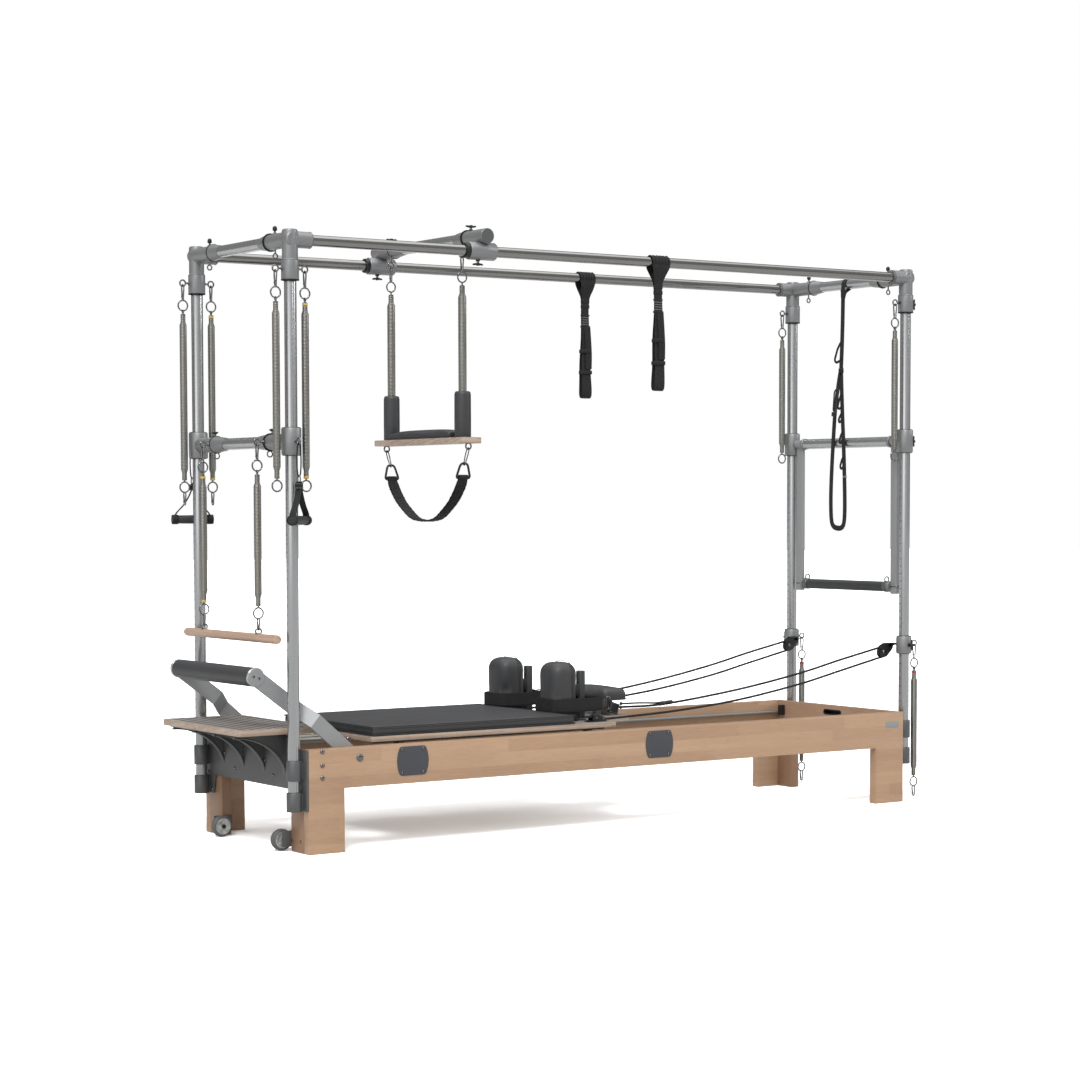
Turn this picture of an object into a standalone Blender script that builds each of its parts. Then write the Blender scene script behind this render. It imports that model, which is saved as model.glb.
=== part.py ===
# Pilates reformer with a tower frame.
# Metres.  X runs from the foot end to the head end, Y across, Z up.  The origin is on the
# floor under the middle of the whole length.  "near" pieces are on -Y, "far" ones on +Y.

import math

import bmesh
import bpy
from mathutils import Matrix, Vector

# Clearances
GAP = 0.0003
TURN_GAP = 0.0006
SLIDE_GAP = 0.003

# Wooden frame
FRAME_LENGTH = 2.70
FRAME_WIDTH = 0.776
RAIL_TOP = 0.360
RAIL_HEIGHT = 0.139
BOARD = 0.038
FOOT_LEG = 0.140
HEAD_LEG = 0.143
LEG_RETURN = 0.129
SLOT_LENGTH = 0.112
SLOT_HEIGHT = 0.023
SLOT_DROP = 0.027

# Carriage tracks
TRACK_START = 0.270
TRACK_HEIGHT = 0.044
TRACK_WALL = 0.004
TRACK_LEDGE = 0.040

# Foot end plate and platform
PLATE = 0.008
PLATE_WIDTH = 0.600
PLATE_HEIGHT = 0.192
WING_DROP = 0.067
GUSSETS = 4
GUSSET_SPACING = 0.155
GUSSET_THICKNESS = 0.008
GUSSET_REACH = 0.195
SPRING_BAR_RADIUS = 0.010
SPRING_BAR_X = 0.030
SPRING_BAR_HALF = 0.205
PLATFORM_REACH = 0.215
PLATFORM_INNER = 0.100
PLATFORM_WIDTH = 0.594
PLATFORM_TOP = 0.430
PLATFORM_THICKNESS = 0.022

# Tower tubes
POST_RADIUS = 0.021
POST_Y = 0.349
POST_OFFSET = 0.036
POST_BOTTOM = 0.148
CROSS_Z = 2.083
CROSS_RADIUS = 0.0205
TOP_RAIL_RADIUS = 0.019
SOCKET_DEPTH = 0.045

# Cast fittings
COLLAR_RADIUS = 0.0303
CASTING_RADIUS = 0.027
HEADER_COLLAR_DROP = 0.138
HEADER_COLLAR_HEIGHT = 0.070
HEADER_CAP = 0.034
POST_SEAT = 0.080
RAIL_SOCKET_REACH = 0.077
RAIL_SOCKET_RADIUS = 0.028
HEADER_STUB = 0.135
WASHER_RADIUS = 0.0315
WASHER = 0.004
CUP_LENGTH = 0.060
SLEEVE_RADIUS = 0.0265
SLEEVE_LOWER_TOP = 0.213
SLEEVE_UPPER_BOTTOM = 0.253
SLEEVE_UPPER_TOP = 0.322

# Eyes, rings and springs
EYE_REACH = 0.056
EYE_RADIUS = 0.011
EYE_WIRE = 0.0035
EYE_CLEARANCE = 0.0015
EYE_STEPS = 12
HEADER_EYE_DROP = 0.099
RING_RADIUS = 0.0185
RING_WIRE = 0.0022
CLIP_DROP = 0.080
CLIP_HALF_WIDTH = 0.0085
SPRING_RADIUS = 0.013
NECK_RADIUS = 0.0088
NECK_LENGTH = 0.036
RING_TO_NECK = 0.030
FOOT_SPRING_BODY = 0.523
HEAD_SPRING_BODY = 0.400
LOW_SPRING_BODY = 0.352
ROLL_SPRING_BODY = 0.378
HOOK_LENGTH = 0.046
TRAPEZE_SPRING_BODY = 0.470
TRAPEZE_SLEEVE_RADIUS = 0.030
TRAPEZE_SLEEVE = 0.164

# Foot crossbar, roll bar and handles
BAR_COLLAR_RADIUS = 0.034
FOOT_BAR_Z = 1.405
FOOT_BAR_COLLAR = 0.092
FOOT_BAR_STUB = 0.145
FOOT_BAR_CUP = 0.080
ROLL_EYE_X = 0.055
ROLL_EYE_Y = 0.205
ROLL_BAR_RADIUS = 0.0155
ROLL_BAR_HALF = 0.344
ROLL_BAR_Z = 0.736
HANDLE_EYE_REACH = 0.052
GRIP_DROP = 0.266
GRIP_RADIUS = 0.0155
GRIP_HALF = 0.0725
HANDLE_STRAP_TOP = 0.165
HANDLE_HOOK_DROP = 0.0009
WEBBING = 0.003

# Head crossbar and push-through bar
HEAD_BAR_Z = 1.437
HEAD_BAR_COLLAR = 0.090
HEAD_COLLAR_RADIUS = 0.032
PUSH_ARM_Y = 0.293
PUSH_ARM_WIDTH = 0.038
PUSH_ARM_THICKNESS = 0.016
PUSH_HUB_RADIUS = 0.018
PUSH_PIN_RADIUS = 0.009
PUSH_GRIP_Z = 0.855
PUSH_GRIP_RADIUS = 0.0205
PUSH_ARM_LENGTH = 0.611

# Pulleys
PULLEY_COLLAR_Z = 0.591
PULLEY_COLLAR = 0.068
PULLEY_COLLAR_RADIUS = 0.031
PULLEY_X = 0.066
PULLEY_Y = 0.294
PULLEY_Z = 0.596
SHEAVE_RADIUS = 0.0235
SHEAVE_GROOVE = 0.0205
SHEAVE_WIDTH = 0.013
CHEEK = 0.003
ROPE_RADIUS = 0.00325
ROPE_Y = 0.280
ROPE_STEP = 0.060

# Carriage
CARRIAGE_FRONT = 0.280
CARRIAGE_LENGTH = 1.050
CARRIAGE_TO_RAIL = 0.017
DECK = 0.018
DECK_LIFT = 0.007
PAD_LENGTH = 0.868
PAD_HEIGHT = 0.035
PAD_CROWN = 0.010
TONGUE_LENGTH = 0.215
TONGUE_HALF = 0.120
WHEEL_RADIUS = 0.022
WHEEL_WIDTH = 0.014
WHEEL_TO_RAIL = 0.024
WHEEL_INSET = 0.120
AXLE_RADIUS = 0.005
REST_Y = 0.176
REST_INSET = 0.144
REST_LENGTH = 0.146
REST_WIDTH = 0.150
REST_TOP = 0.610
REST_PEG_RADIUS = 0.017
REST_PEG_TOP = 0.570
REST_PIN_RADIUS = 0.010
LOOP_TAIL_Y = 0.232
HEADREST_REACH = 0.147
HEADREST_LENGTH = 0.114
HEADREST_HALF = 0.140
HEADREST_BOTTOM = 0.446
HEADREST_THICKNESS = 0.049
HINGE_PIN_RADIUS = 0.005
HINGE_EAR = 0.009
CARRIAGE_SPRINGS = 4
CARRIAGE_SPRING_SPACING = 0.100
CARRIAGE_SPRING_RADIUS = 0.011
CARRIAGE_SPRING_Z = 0.368

# Footbar
FOOTBAR_PIVOT_X = 0.200
FOOTBAR_PIVOT_Z = 0.323
FOOTBAR_PIN_RADIUS = 0.008
PIVOT_HEAD_RADIUS = 0.0135
FOOTBAR_LOWER_FOLD = (0.023, 0.4597)
FOOTBAR_UPPER_FOLD = (-0.065, 0.5615)
FOOTBAR_PAD_X = -0.150
FOOTBAR_PAD_Z = 0.608
FOOTBAR_PAD_RADIUS = 0.033
FOOTBAR_HALF = 0.285
ARM_WIDTH = 0.056
ARM = 0.010

# Transport wheels
CASTER_X = -0.020
CASTER_RADIUS = 0.038
CASTER_WIDTH = 0.028
CASTER_INSET = 0.0205
CASTER_BRACKET = 0.005

# Trapeze
SLIDER_X = 0.728
SLIDER_LENGTH = 0.110
SLIDER_RADIUS = 0.0315
SLIDER_LIP = 0.025
SLIDER_CROSS_RISE = 0.052
SLIDER_STUB_OUTER = 0.385
SLIDER_STUB_INNER = 0.255
SLIDER_CUP = 0.070
TRAPEZE_X = 0.714
TRAPEZE_EYE_Y = 0.247
TRAPEZE_EYE_DROP = 0.056
PLANK_DROP = 0.660
PLANK = 0.022
PLANK_WIDTH = 0.082
PLANK_HALF = 0.311
TRAPEZE_PAD_HALF = 0.248
TRAPEZE_PAD_RISE = 0.032
UNDER_EYE_Y = 0.284
SLING_TOP_Y = 0.255
SLING_TOP_DROP = 0.119
SLING_BOTTOM_DROP = 0.288
SLING_FOLDS = ((0.205, 0.127), (0.120, 0.062), (0.045, 0.010))
SLING_WIDTH = 0.050
TRI_RING_WIRE = 0.003

# Straps that hang from the tower
LOOP_NEAR_X = 1.508
LOOP_FAR_X = 1.669
LOOP_DROP = 0.476
LOOP_GATHER_DROP = 0.098
LOOP_GATHER = 0.110
LOOP_STEM = 0.052
LOOP_FOOT = 0.066
LONG_STRAP_Y = 0.0
LONG_LOOP_Y = 0.017
LONG_STRAP = 0.024
LONG_STEM_DROP = 0.371
LONG_STRAP_DROP = 1.003
LONG_STRAP_HALF = 0.053
SHORT_LOOPS = ((0.026, 0.283, 0.022), (-0.034, 0.468, 0.022), (-0.046, 0.583, 0.016), (-0.048, 0.678, 0.016))

# How finely round pieces are divided
TUBE_SIDES = 12
WHEEL_SIDES = 16
SMALL_SIDES = 8
STEM_SIDES = 6
RING_STEPS = 8
WIRE_SIDES = 3
FLAT = math.radians(0.05)

# Places that several pieces share
HEAD_REACH = POST_OFFSET + EYE_REACH + RING_RADIUS + RING_WIRE
FOOT_X = -(FRAME_LENGTH + HEAD_REACH - PLATFORM_REACH) / 2
HEAD_X = FOOT_X + FRAME_LENGTH
FOOT_POST_X = FOOT_X - POST_OFFSET
HEAD_POST_X = HEAD_X + POST_OFFSET
HEADER_COLLAR_BOTTOM = CROSS_Z - HEADER_COLLAR_DROP
HEADER_TOP = CROSS_Z + HEADER_CAP
HEADER_EYE_Z = CROSS_Z - HEADER_EYE_DROP
RAIL_OUTER = FRAME_WIDTH / 2
RAIL_INNER = RAIL_OUTER - BOARD
WHEEL_Y = RAIL_INNER - WHEEL_TO_RAIL
CARRIAGE_HALF = RAIL_INNER - CARRIAGE_TO_RAIL
RAIL_BOTTOM = RAIL_TOP - RAIL_HEIGHT
PLATFORM_BOTTOM = PLATFORM_TOP - PLATFORM_THICKNESS
DECK_BOTTOM = RAIL_TOP + DECK_LIFT
DECK_TOP = DECK_BOTTOM + DECK
DECK_START = FOOT_X + CARRIAGE_FRONT
DECK_END = DECK_START + CARRIAGE_LENGTH
PAD_TOP = DECK_TOP + PAD_HEIGHT
TRACK_TOP = DECK_BOTTOM - 0.007 - WHEEL_RADIUS * 2 + 0.002
PIVOT = Vector((FOOT_X + FOOTBAR_PIVOT_X, 0, FOOTBAR_PIVOT_Z))
FOOTBAR_LOWER_Y = RAIL_INNER - SLIDE_GAP - ARM
SLIDER_CENTRE = FOOT_X + SLIDER_X
SLIDER_CROSS_Z = CROSS_Z + SLIDER_CROSS_RISE
TRAPEZE_EYE_Z = SLIDER_CROSS_Z - TRAPEZE_EYE_DROP
PLANK_Z = TRAPEZE_EYE_Z - PLANK_DROP
SLING_TOP = PLANK_Z - SLING_TOP_DROP
SLING_BOTTOM = PLANK_Z - SLING_BOTTOM_DROP
LOOP_BOTTOM = CROSS_Z - LOOP_DROP
LOOP_STEM_Z = CROSS_Z - LOOP_GATHER_DROP
LONG_STRAP_STEM = CROSS_Z - LONG_STEM_DROP
LONG_STRAP_BOTTOM = CROSS_Z - LONG_STRAP_DROP
TRAPEZE_PIVOT = Vector((FOOT_X + TRAPEZE_X, 0, TRAPEZE_EYE_Z))
ROLL_PIVOT = Vector((FOOT_POST_X - ROLL_EYE_X, 0, FOOT_BAR_Z))
PULLEY_CENTRE_X = HEAD_POST_X - PULLEY_X
REST_CENTRE_X = DECK_END - REST_INSET
HEADREST_START = DECK_END + HEADREST_REACH - HEADREST_LENGTH / 2
PEG_X = REST_CENTRE_X + REST_LENGTH / 2 + REST_PEG_RADIUS
SLEEVES = ((POST_BOTTOM, SLEEVE_LOWER_TOP), (SLEEVE_UPPER_BOTTOM, SLEEVE_UPPER_TOP))


# Collections, materials and joint empties

def clear_scene():
    for old in list(bpy.data.objects):
        bpy.data.objects.remove(old)


def collection(name):
    made = bpy.data.collections.new(name)
    bpy.context.scene.collection.children.link(made)
    return made


def material(name, colour, roughness, metallic=0.0):
    made = bpy.data.materials.new(name)
    made.use_nodes = True
    shader = made.node_tree.nodes["Principled BSDF"]
    shader.inputs["Base Color"].default_value = (*colour, 1)
    shader.inputs["Roughness"].default_value = roughness
    shader.inputs["Metallic"].default_value = metallic
    made.diffuse_color = (*colour, 1)
    return made


def joint(name, place, parent=None):
    empty = bpy.data.objects.new(name, None)
    PARTS.objects.link(empty)
    empty.empty_display_size = 0.05
    empty.location = Vector(place)
    if parent:
        empty.parent = parent
        empty.location = Vector(place) - JOINT_AT[parent.name]
    JOINT_AT[empty.name] = Vector(place)
    return empty


# Shapes.  Each is made where it stands and joined to others before it is named.

def work_object(mesh):
    shape = bpy.data.objects.new("shape", mesh)
    CUTTERS.objects.link(shape)
    shape.hide_render = True
    shape.display_type = "WIRE"
    return shape


def mesh_shape(bm):
    mesh = bpy.data.meshes.new("shape")
    bm.to_mesh(mesh)
    bm.free()
    return work_object(mesh)


def baked(shape):
    """The shape as one welded mesh, with its modifiers or its curve worked out."""
    bpy.context.view_layer.update()
    graph = bpy.context.evaluated_depsgraph_get()
    mesh = bpy.data.meshes.new_from_object(shape.evaluated_get(graph))
    mesh.transform(shape.matrix_world)
    bm = bmesh.new()
    bm.from_mesh(mesh)
    bmesh.ops.remove_doubles(bm, verts=bm.verts, dist=0.000001)
    bmesh.ops.dissolve_limit(bm, angle_limit=FLAT, verts=bm.verts, edges=bm.edges)
    bm.to_mesh(mesh)
    bm.free()
    made = work_object(mesh)
    bpy.data.objects.remove(shape)
    return made


def block(x_range, y_range, z_range):
    ranges = [sorted(pair) for pair in (x_range, y_range, z_range)]
    bm = bmesh.new()
    bmesh.ops.create_cube(bm, size=1)
    size = Matrix.Diagonal([high - low for low, high in ranges] + [1])
    centre = Matrix.Translation([(low + high) / 2 for low, high in ranges])
    bm.transform(centre @ size)
    return mesh_shape(bm)


def rod(radius, start, end, sides=TUBE_SIDES, end_radius=None):
    start, end = Vector(start), Vector(end)
    along = end - start
    bm = bmesh.new()
    bmesh.ops.create_cone(
        bm,
        cap_ends=True,
        segments=sides,
        radius1=radius,
        radius2=radius if end_radius is None else end_radius,
        depth=along.length,
    )
    turn = along.to_track_quat("Z", "Y").to_matrix().to_4x4()
    bm.transform(Matrix.Translation((start + end) / 2) @ turn)
    return mesh_shape(bm)


def ring(radius, wire, centre, normal="Y", steps=RING_STEPS):
    turns = {"X": (0, math.pi / 2, 0), "Y": (math.pi / 2, 0, 0), "Z": (0, 0, 0)}
    bpy.ops.mesh.primitive_torus_add(
        major_radius=radius,
        minor_radius=wire,
        major_segments=steps,
        minor_segments=WIRE_SIDES,
        location=centre,
        rotation=turns[normal],
    )
    made = bpy.context.object
    return baked(made)


def turned(profile, centre, steps=TUBE_SIDES, axis="Z"):
    """A solid of revolution from (radius, height) points, the top one first."""
    bm = bmesh.new()
    points = [bm.verts.new((radius, 0, height)) for radius, height in profile]
    for upper, lower in zip(points, points[1:]):
        bm.edges.new((upper, lower))
    shape = mesh_shape(bm)
    screw = shape.modifiers.new("Turn", "SCREW")
    screw.steps = steps
    screw.render_steps = steps
    screw.use_merge_vertices = True
    screw.merge_threshold = 0.00001
    turns = {"X": (0, math.pi / 2, 0), "Y": (math.pi / 2, 0, 0), "Z": (0, 0, 0)}
    shape.rotation_euler = turns[axis]
    shape.location = centre
    return baked(shape)


def wire(points, radius, closed=False, resolution=0):
    curve = bpy.data.curves.new("wire", "CURVE")
    curve.dimensions = "3D"
    spline = curve.splines.new("POLY")
    spline.points.add(len(points) - 1)
    for slot, point in zip(spline.points, points):
        slot.co = (*point, 1)
    spline.use_cyclic_u = closed
    curve.bevel_depth = radius
    curve.bevel_resolution = resolution
    curve.use_fill_caps = not closed
    return baked(work_object(curve))


def outline(corners, radius=0.0, steps=3):
    """Corner points in order, each rounded by the radius."""
    if not radius:
        return corners
    points = []
    for i, corner in enumerate(corners):
        here = Vector(corner)
        before = Vector(corners[i - 1]) - here
        after = Vector(corners[(i + 1) % len(corners)]) - here
        reach = min(radius, before.length * 0.49, after.length * 0.49)
        first = here + before.normalized() * reach
        last = here + after.normalized() * reach
        for k in range(steps + 1):
            t = k / steps
            point = first * (1 - t) ** 2 + here * 2 * t * (1 - t) + last * t * t
            points.append(tuple(point))
    return points


def plate(outlines, thickness, plane, middle):
    """A flat outline, with any holes after it, extruded to both sides of its middle."""
    curve = bpy.data.curves.new("plate", "CURVE")
    curve.dimensions = "2D"
    curve.fill_mode = "BOTH"
    curve.extrude = thickness / 2
    for points in outlines:
        spline = curve.splines.new("POLY")
        spline.points.add(len(points) - 1)
        for slot, point in zip(spline.points, points):
            slot.co = (*point, 0, 1)
        spline.use_cyclic_u = True
    shape = work_object(curve)
    turns = {
        "XY": Matrix(((1, 0, 0), (0, 1, 0), (0, 0, 1))),
        "XZ": Matrix(((1, 0, 0), (0, 0, -1), (0, 1, 0))),
        "YZ": Matrix(((0, 0, 1), (1, 0, 0), (0, 1, 0))),
    }
    normal = {"XY": (0, 0, 1), "XZ": (0, 1, 0), "YZ": (1, 0, 0)}[plane]
    place = Matrix.Translation(Vector(normal) * middle)
    shape.matrix_world = place @ turns[plane].to_4x4()
    return baked(shape)


def band(stations, across, thickness, closed=False):
    """A strip of webbing or plate through (point, width) stations, its width along across."""
    across = Vector(across).normalized()
    bm = bmesh.new()
    edges = [
        [bm.verts.new(Vector(point) + across * width * side) for side in (-0.5, 0.5)]
        for point, width in stations
    ]
    pairs = list(zip(edges, edges[1:]))
    if closed:
        pairs.append((edges[-1], edges[0]))
    for (a, b), (c, d) in pairs:
        bm.faces.new((a, b, d, c))
    bmesh.ops.recalc_face_normals(bm, faces=bm.faces)
    shape = mesh_shape(bm)
    thick = shape.modifiers.new("Thickness", "SOLIDIFY")
    thick.thickness = thickness
    thick.offset = 0
    thick.use_even_offset = True
    return baked(shape)


def changed(body, tools, operation):
    for tool in tools:
        change = body.modifiers.new(operation.title(), "BOOLEAN")
        change.operation = operation
        change.solver = "EXACT"
        change.object = tool
    made = baked(body)
    for tool in tools:
        bpy.data.objects.remove(tool)
    return made


def joined(shapes):
    return changed(shapes[0], shapes[1:], "UNION")


def cut(body, *tools):
    return changed(body, tools, "DIFFERENCE")


def mirrored(shape):
    """A copy on the other side of the XZ plane."""
    bm = bmesh.new()
    bm.from_mesh(shape.data)
    bm.transform(Matrix.Diagonal((1, -1, 1, 1)))
    bmesh.ops.reverse_faces(bm, faces=bm.faces)
    return mesh_shape(bm)


def finish(name, shape, look, parent=None, origin=None):
    """Name a shape, set its look, and put its origin on its joint."""
    if origin is None:
        origin = JOINT_AT[parent.name] if parent else (0, 0, 0)
    origin = Vector(origin)
    mesh = shape.data
    mesh.transform(Matrix.Translation(-origin))
    mesh.materials.clear()
    mesh.materials.append(look)
    mesh.shade_smooth()
    mesh.set_sharp_from_angle(angle=math.radians(32))
    part = bpy.data.objects.new(name, mesh)
    mesh.name = name
    PARTS.objects.link(part)
    part.location = origin
    if parent:
        part.parent = parent
        part.location = origin - JOINT_AT[parent.name]
    bpy.data.objects.remove(shape)
    return part


def arc(centre, radius, start, end, steps, height=None):
    """Points round part of an ellipse in a plane, angles in degrees."""
    height = radius if height is None else height
    points = []
    for k in range(steps + 1):
        angle = math.radians(start + (end - start) * k / steps)
        points.append(
            (centre[0] + radius * math.cos(angle), centre[1] + height * math.sin(angle))
        )
    return points


# Fittings that repeat

def eye(centre, stem_from, normal="Y", steps=RING_STEPS):
    """An eye for a snap hook, on a stem from the casting that carries it."""
    centre, stem_from = Vector(centre), Vector(stem_from)
    reach = (stem_from - centre).normalized() * EYE_RADIUS
    return [
        ring(EYE_RADIUS, EYE_WIRE, centre, normal, steps),
        rod(EYE_WIRE, stem_from, centre + reach, STEM_SIDES),
    ]


def wing_knob(root, direction, across):
    """A clamp screw with two wings; root is on the casting's surface."""
    root, direction, across = Vector(root), Vector(direction), Vector(across)
    wing = root + direction * 0.016
    return [
        rod(0.005, root - direction * 0.006, root + direction * 0.020, STEM_SIDES),
        rod(0.0044, wing - across * 0.022, wing + across * 0.022, STEM_SIDES),
    ]


def cap_nut(root):
    """A clamp screw with a round head on top of a casting."""
    root = Vector(root)
    up = Vector((0, 0, 1))
    return [
        rod(0.0045, root - up * 0.006, root + up * 0.014, STEM_SIDES),
        rod(0.0115, root + up * 0.012, root + up * 0.032, SMALL_SIDES, 0.007),
    ]


def cross_member(x, z, outer, inner, cup, casting=CASTING_RADIUS):
    """A tube across the frame in a casting at each side: socket, washer and tapered cup."""
    half = [
        (0, outer),
        (casting, outer),
        (casting, inner),
        (WASHER_RADIUS, inner),
        (WASHER_RADIUS, inner - WASHER),
        (CROSS_RADIUS + 0.001, inner - cup),
        (CROSS_RADIUS, inner - cup),
    ]
    profile = half + [(radius, -y) for radius, y in reversed(half)]
    return turned(profile, (x, 0, z), TUBE_SIDES, "Y")


def clamp_collar(x, y, bottom, height, radius):
    """A collar round a post, and the bore to cut through it."""
    top = bottom + height
    bore = rod(POST_RADIUS + GAP, (x, y, bottom - 0.01), (x, y, top + 0.01))
    return [rod(radius, (x, y, bottom), (x, y, top))], bore


def snap_hook(x, y, top, bottom):
    """A closed oval of wire that lies across the eye it holds."""
    half = CLIP_HALF_WIDTH
    points = []
    for centre, start in ((top - half, 0), (bottom + half, 180)):
        for angle in (start + 15, start + 90, start + 165):
            turn = math.radians(angle)
            points.append((x, y + half * math.cos(turn), centre + half * math.sin(turn)))
    return wire(points, RING_WIRE, closed=True)


def hook_top(eye_z):
    """Height of a hook's wire where it hangs in an eye, just clear of it."""
    return eye_z - EYE_RADIUS + EYE_WIRE + RING_WIRE + EYE_CLEARANCE


def hung_spring(eye_at, body, body_radius=SPRING_RADIUS, hook=0.0):
    """A close-wound spring with tapered ends, a ring at each end and a snap hook in its eye."""
    x, y, z = eye_at
    ring_z = z - CLIP_DROP
    neck = ring_z - RING_TO_NECK
    top = neck - NECK_LENGTH
    bottom = top - body
    end = bottom - NECK_LENGTH
    profile = [
        (0, neck),
        (NECK_RADIUS, neck),
        (body_radius, top),
        (body_radius, bottom),
        (NECK_RADIUS, end),
        (0, end),
    ]
    low_ring = end - RING_TO_NECK + 0.006
    shapes = [
        turned(profile, (x, y, 0), SMALL_SIDES),
        snap_hook(x, y, hook_top(z), ring_z + RING_RADIUS - RING_WIRE / 2),
        ring(RING_RADIUS, RING_WIRE, (x, y, ring_z)),
        rod(0.003, (x, y, ring_z - RING_RADIUS), (x, y, neck - 0.003), 6),
        ring(RING_RADIUS, RING_WIRE, (x, y, low_ring)),
        rod(0.003, (x, y, end + 0.003), (x, y, low_ring + RING_RADIUS), 6),
    ]
    if hook:
        foot = low_ring - RING_RADIUS + RING_WIRE / 2
        shapes.append(snap_hook(x, y, foot, foot - hook))
    return shapes, low_ring


# Wooden frame

def pivot_rod(radius, start, end, end_radius=None):
    """Part of the footbar's pivot bolt, between two distances from the middle."""
    places = [PIVOT + Vector((0, y, 0)) for y in (start, end)]
    return rod(radius, *places, end_radius=end_radius)


def side_frame():
    """The far side: rail and legs in one board outline, returns, track, pivot and axle."""
    legs = [
        (FOOT_X, 0),
        (FOOT_X + FOOT_LEG, 0),
        (FOOT_X + FOOT_LEG, RAIL_BOTTOM),
        (HEAD_X - HEAD_LEG, RAIL_BOTTOM),
        (HEAD_X - HEAD_LEG, 0),
        (HEAD_X, 0),
        (HEAD_X, RAIL_TOP),
        (FOOT_X, RAIL_TOP),
    ]
    return_y = (RAIL_OUTER - LEG_RETURN, RAIL_INNER + 0.005)
    track_end = HEAD_X - BOARD - GAP
    caster_y = RAIL_OUTER - LEG_RETURN
    pivot_y = FOOTBAR_LOWER_Y - GAP
    caster = (FOOT_X + CASTER_X, CASTER_RADIUS + 0.0005)
    shapes = [
        plate([legs], BOARD, "XZ", (RAIL_OUTER + RAIL_INNER) / 2),
        block((FOOT_X, FOOT_X + BOARD), return_y, (0, RAIL_BOTTOM)),
        block((HEAD_X - BOARD, HEAD_X), return_y, (0, RAIL_BOTTOM)),
        block(
            (FOOT_X + TRACK_START, track_end),
            (RAIL_INNER - TRACK_WALL, RAIL_INNER + 0.002),
            (TRACK_TOP - TRACK_WALL, TRACK_TOP - TRACK_WALL + TRACK_HEIGHT),
        ),
        block(
            (FOOT_X + TRACK_START, track_end),
            (RAIL_INNER - TRACK_LEDGE, RAIL_INNER - 0.001),
            (TRACK_TOP - TRACK_WALL, TRACK_TOP),
        ),
        pivot_rod(FOOTBAR_PIN_RADIUS, RAIL_INNER + 0.01, pivot_y - 0.003),
        pivot_rod(PIVOT_HEAD_RADIUS, pivot_y, pivot_y - 0.006),
        pivot_rod(PIVOT_HEAD_RADIUS, RAIL_OUTER - 0.003, RAIL_OUTER + 0.006, 0.009),
        block(
            (FOOT_X + CASTER_X - 0.014, FOOT_X + BOARD),
            (caster_y + 0.001, caster_y - CASTER_BRACKET),
            (caster[1] - 0.022, caster[1] + 0.034),
        ),
        rod(
            AXLE_RADIUS,
            (caster[0], caster_y - CASTER_BRACKET / 2, caster[1]),
            (caster[0], caster_y - CASTER_INSET - CASTER_WIDTH - 0.004, caster[1]),
        ),
    ]
    return joined(shapes)


def make_side_frames():
    far = side_frame()
    finish("side_frame_near", mirrored(far), WOOD)
    finish("side_frame_far", far, WOOD)


def make_head_end_board():
    half = RAIL_INNER - GAP
    board = block((HEAD_X - BOARD, HEAD_X), (-half, half), (RAIL_BOTTOM + GAP, RAIL_TOP))
    slot_z = RAIL_TOP - SLOT_DROP
    corners = [
        (-SLOT_LENGTH / 2, slot_z - SLOT_HEIGHT / 2),
        (SLOT_LENGTH / 2, slot_z - SLOT_HEIGHT / 2),
        (SLOT_LENGTH / 2, slot_z + SLOT_HEIGHT / 2),
        (-SLOT_LENGTH / 2, slot_z + SLOT_HEIGHT / 2),
    ]
    slot = plate([outline(corners, SLOT_HEIGHT / 2)], BOARD * 1.5, "YZ", HEAD_X - BOARD / 2)
    finish("head_end_board", cut(board, slot), WOOD)


# Foot end plate, platform and transport wheels

def gusset(y):
    """A web under the platform with a concave quarter ellipse for its free edge."""
    face = FOOT_X - GAP - PLATE / 2
    tip = FOOT_X - GAP - PLATE - GUSSET_REACH
    top = PLATFORM_BOTTOM - GAP
    low = RAIL_BOTTOM + 0.018
    curve = arc((tip, low), face - tip, 0, 90, 7, top - 0.010 - low)
    return plate([curve + [(tip, top), (face, top)]], GUSSET_THICKNESS, "XZ", y)


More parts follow.
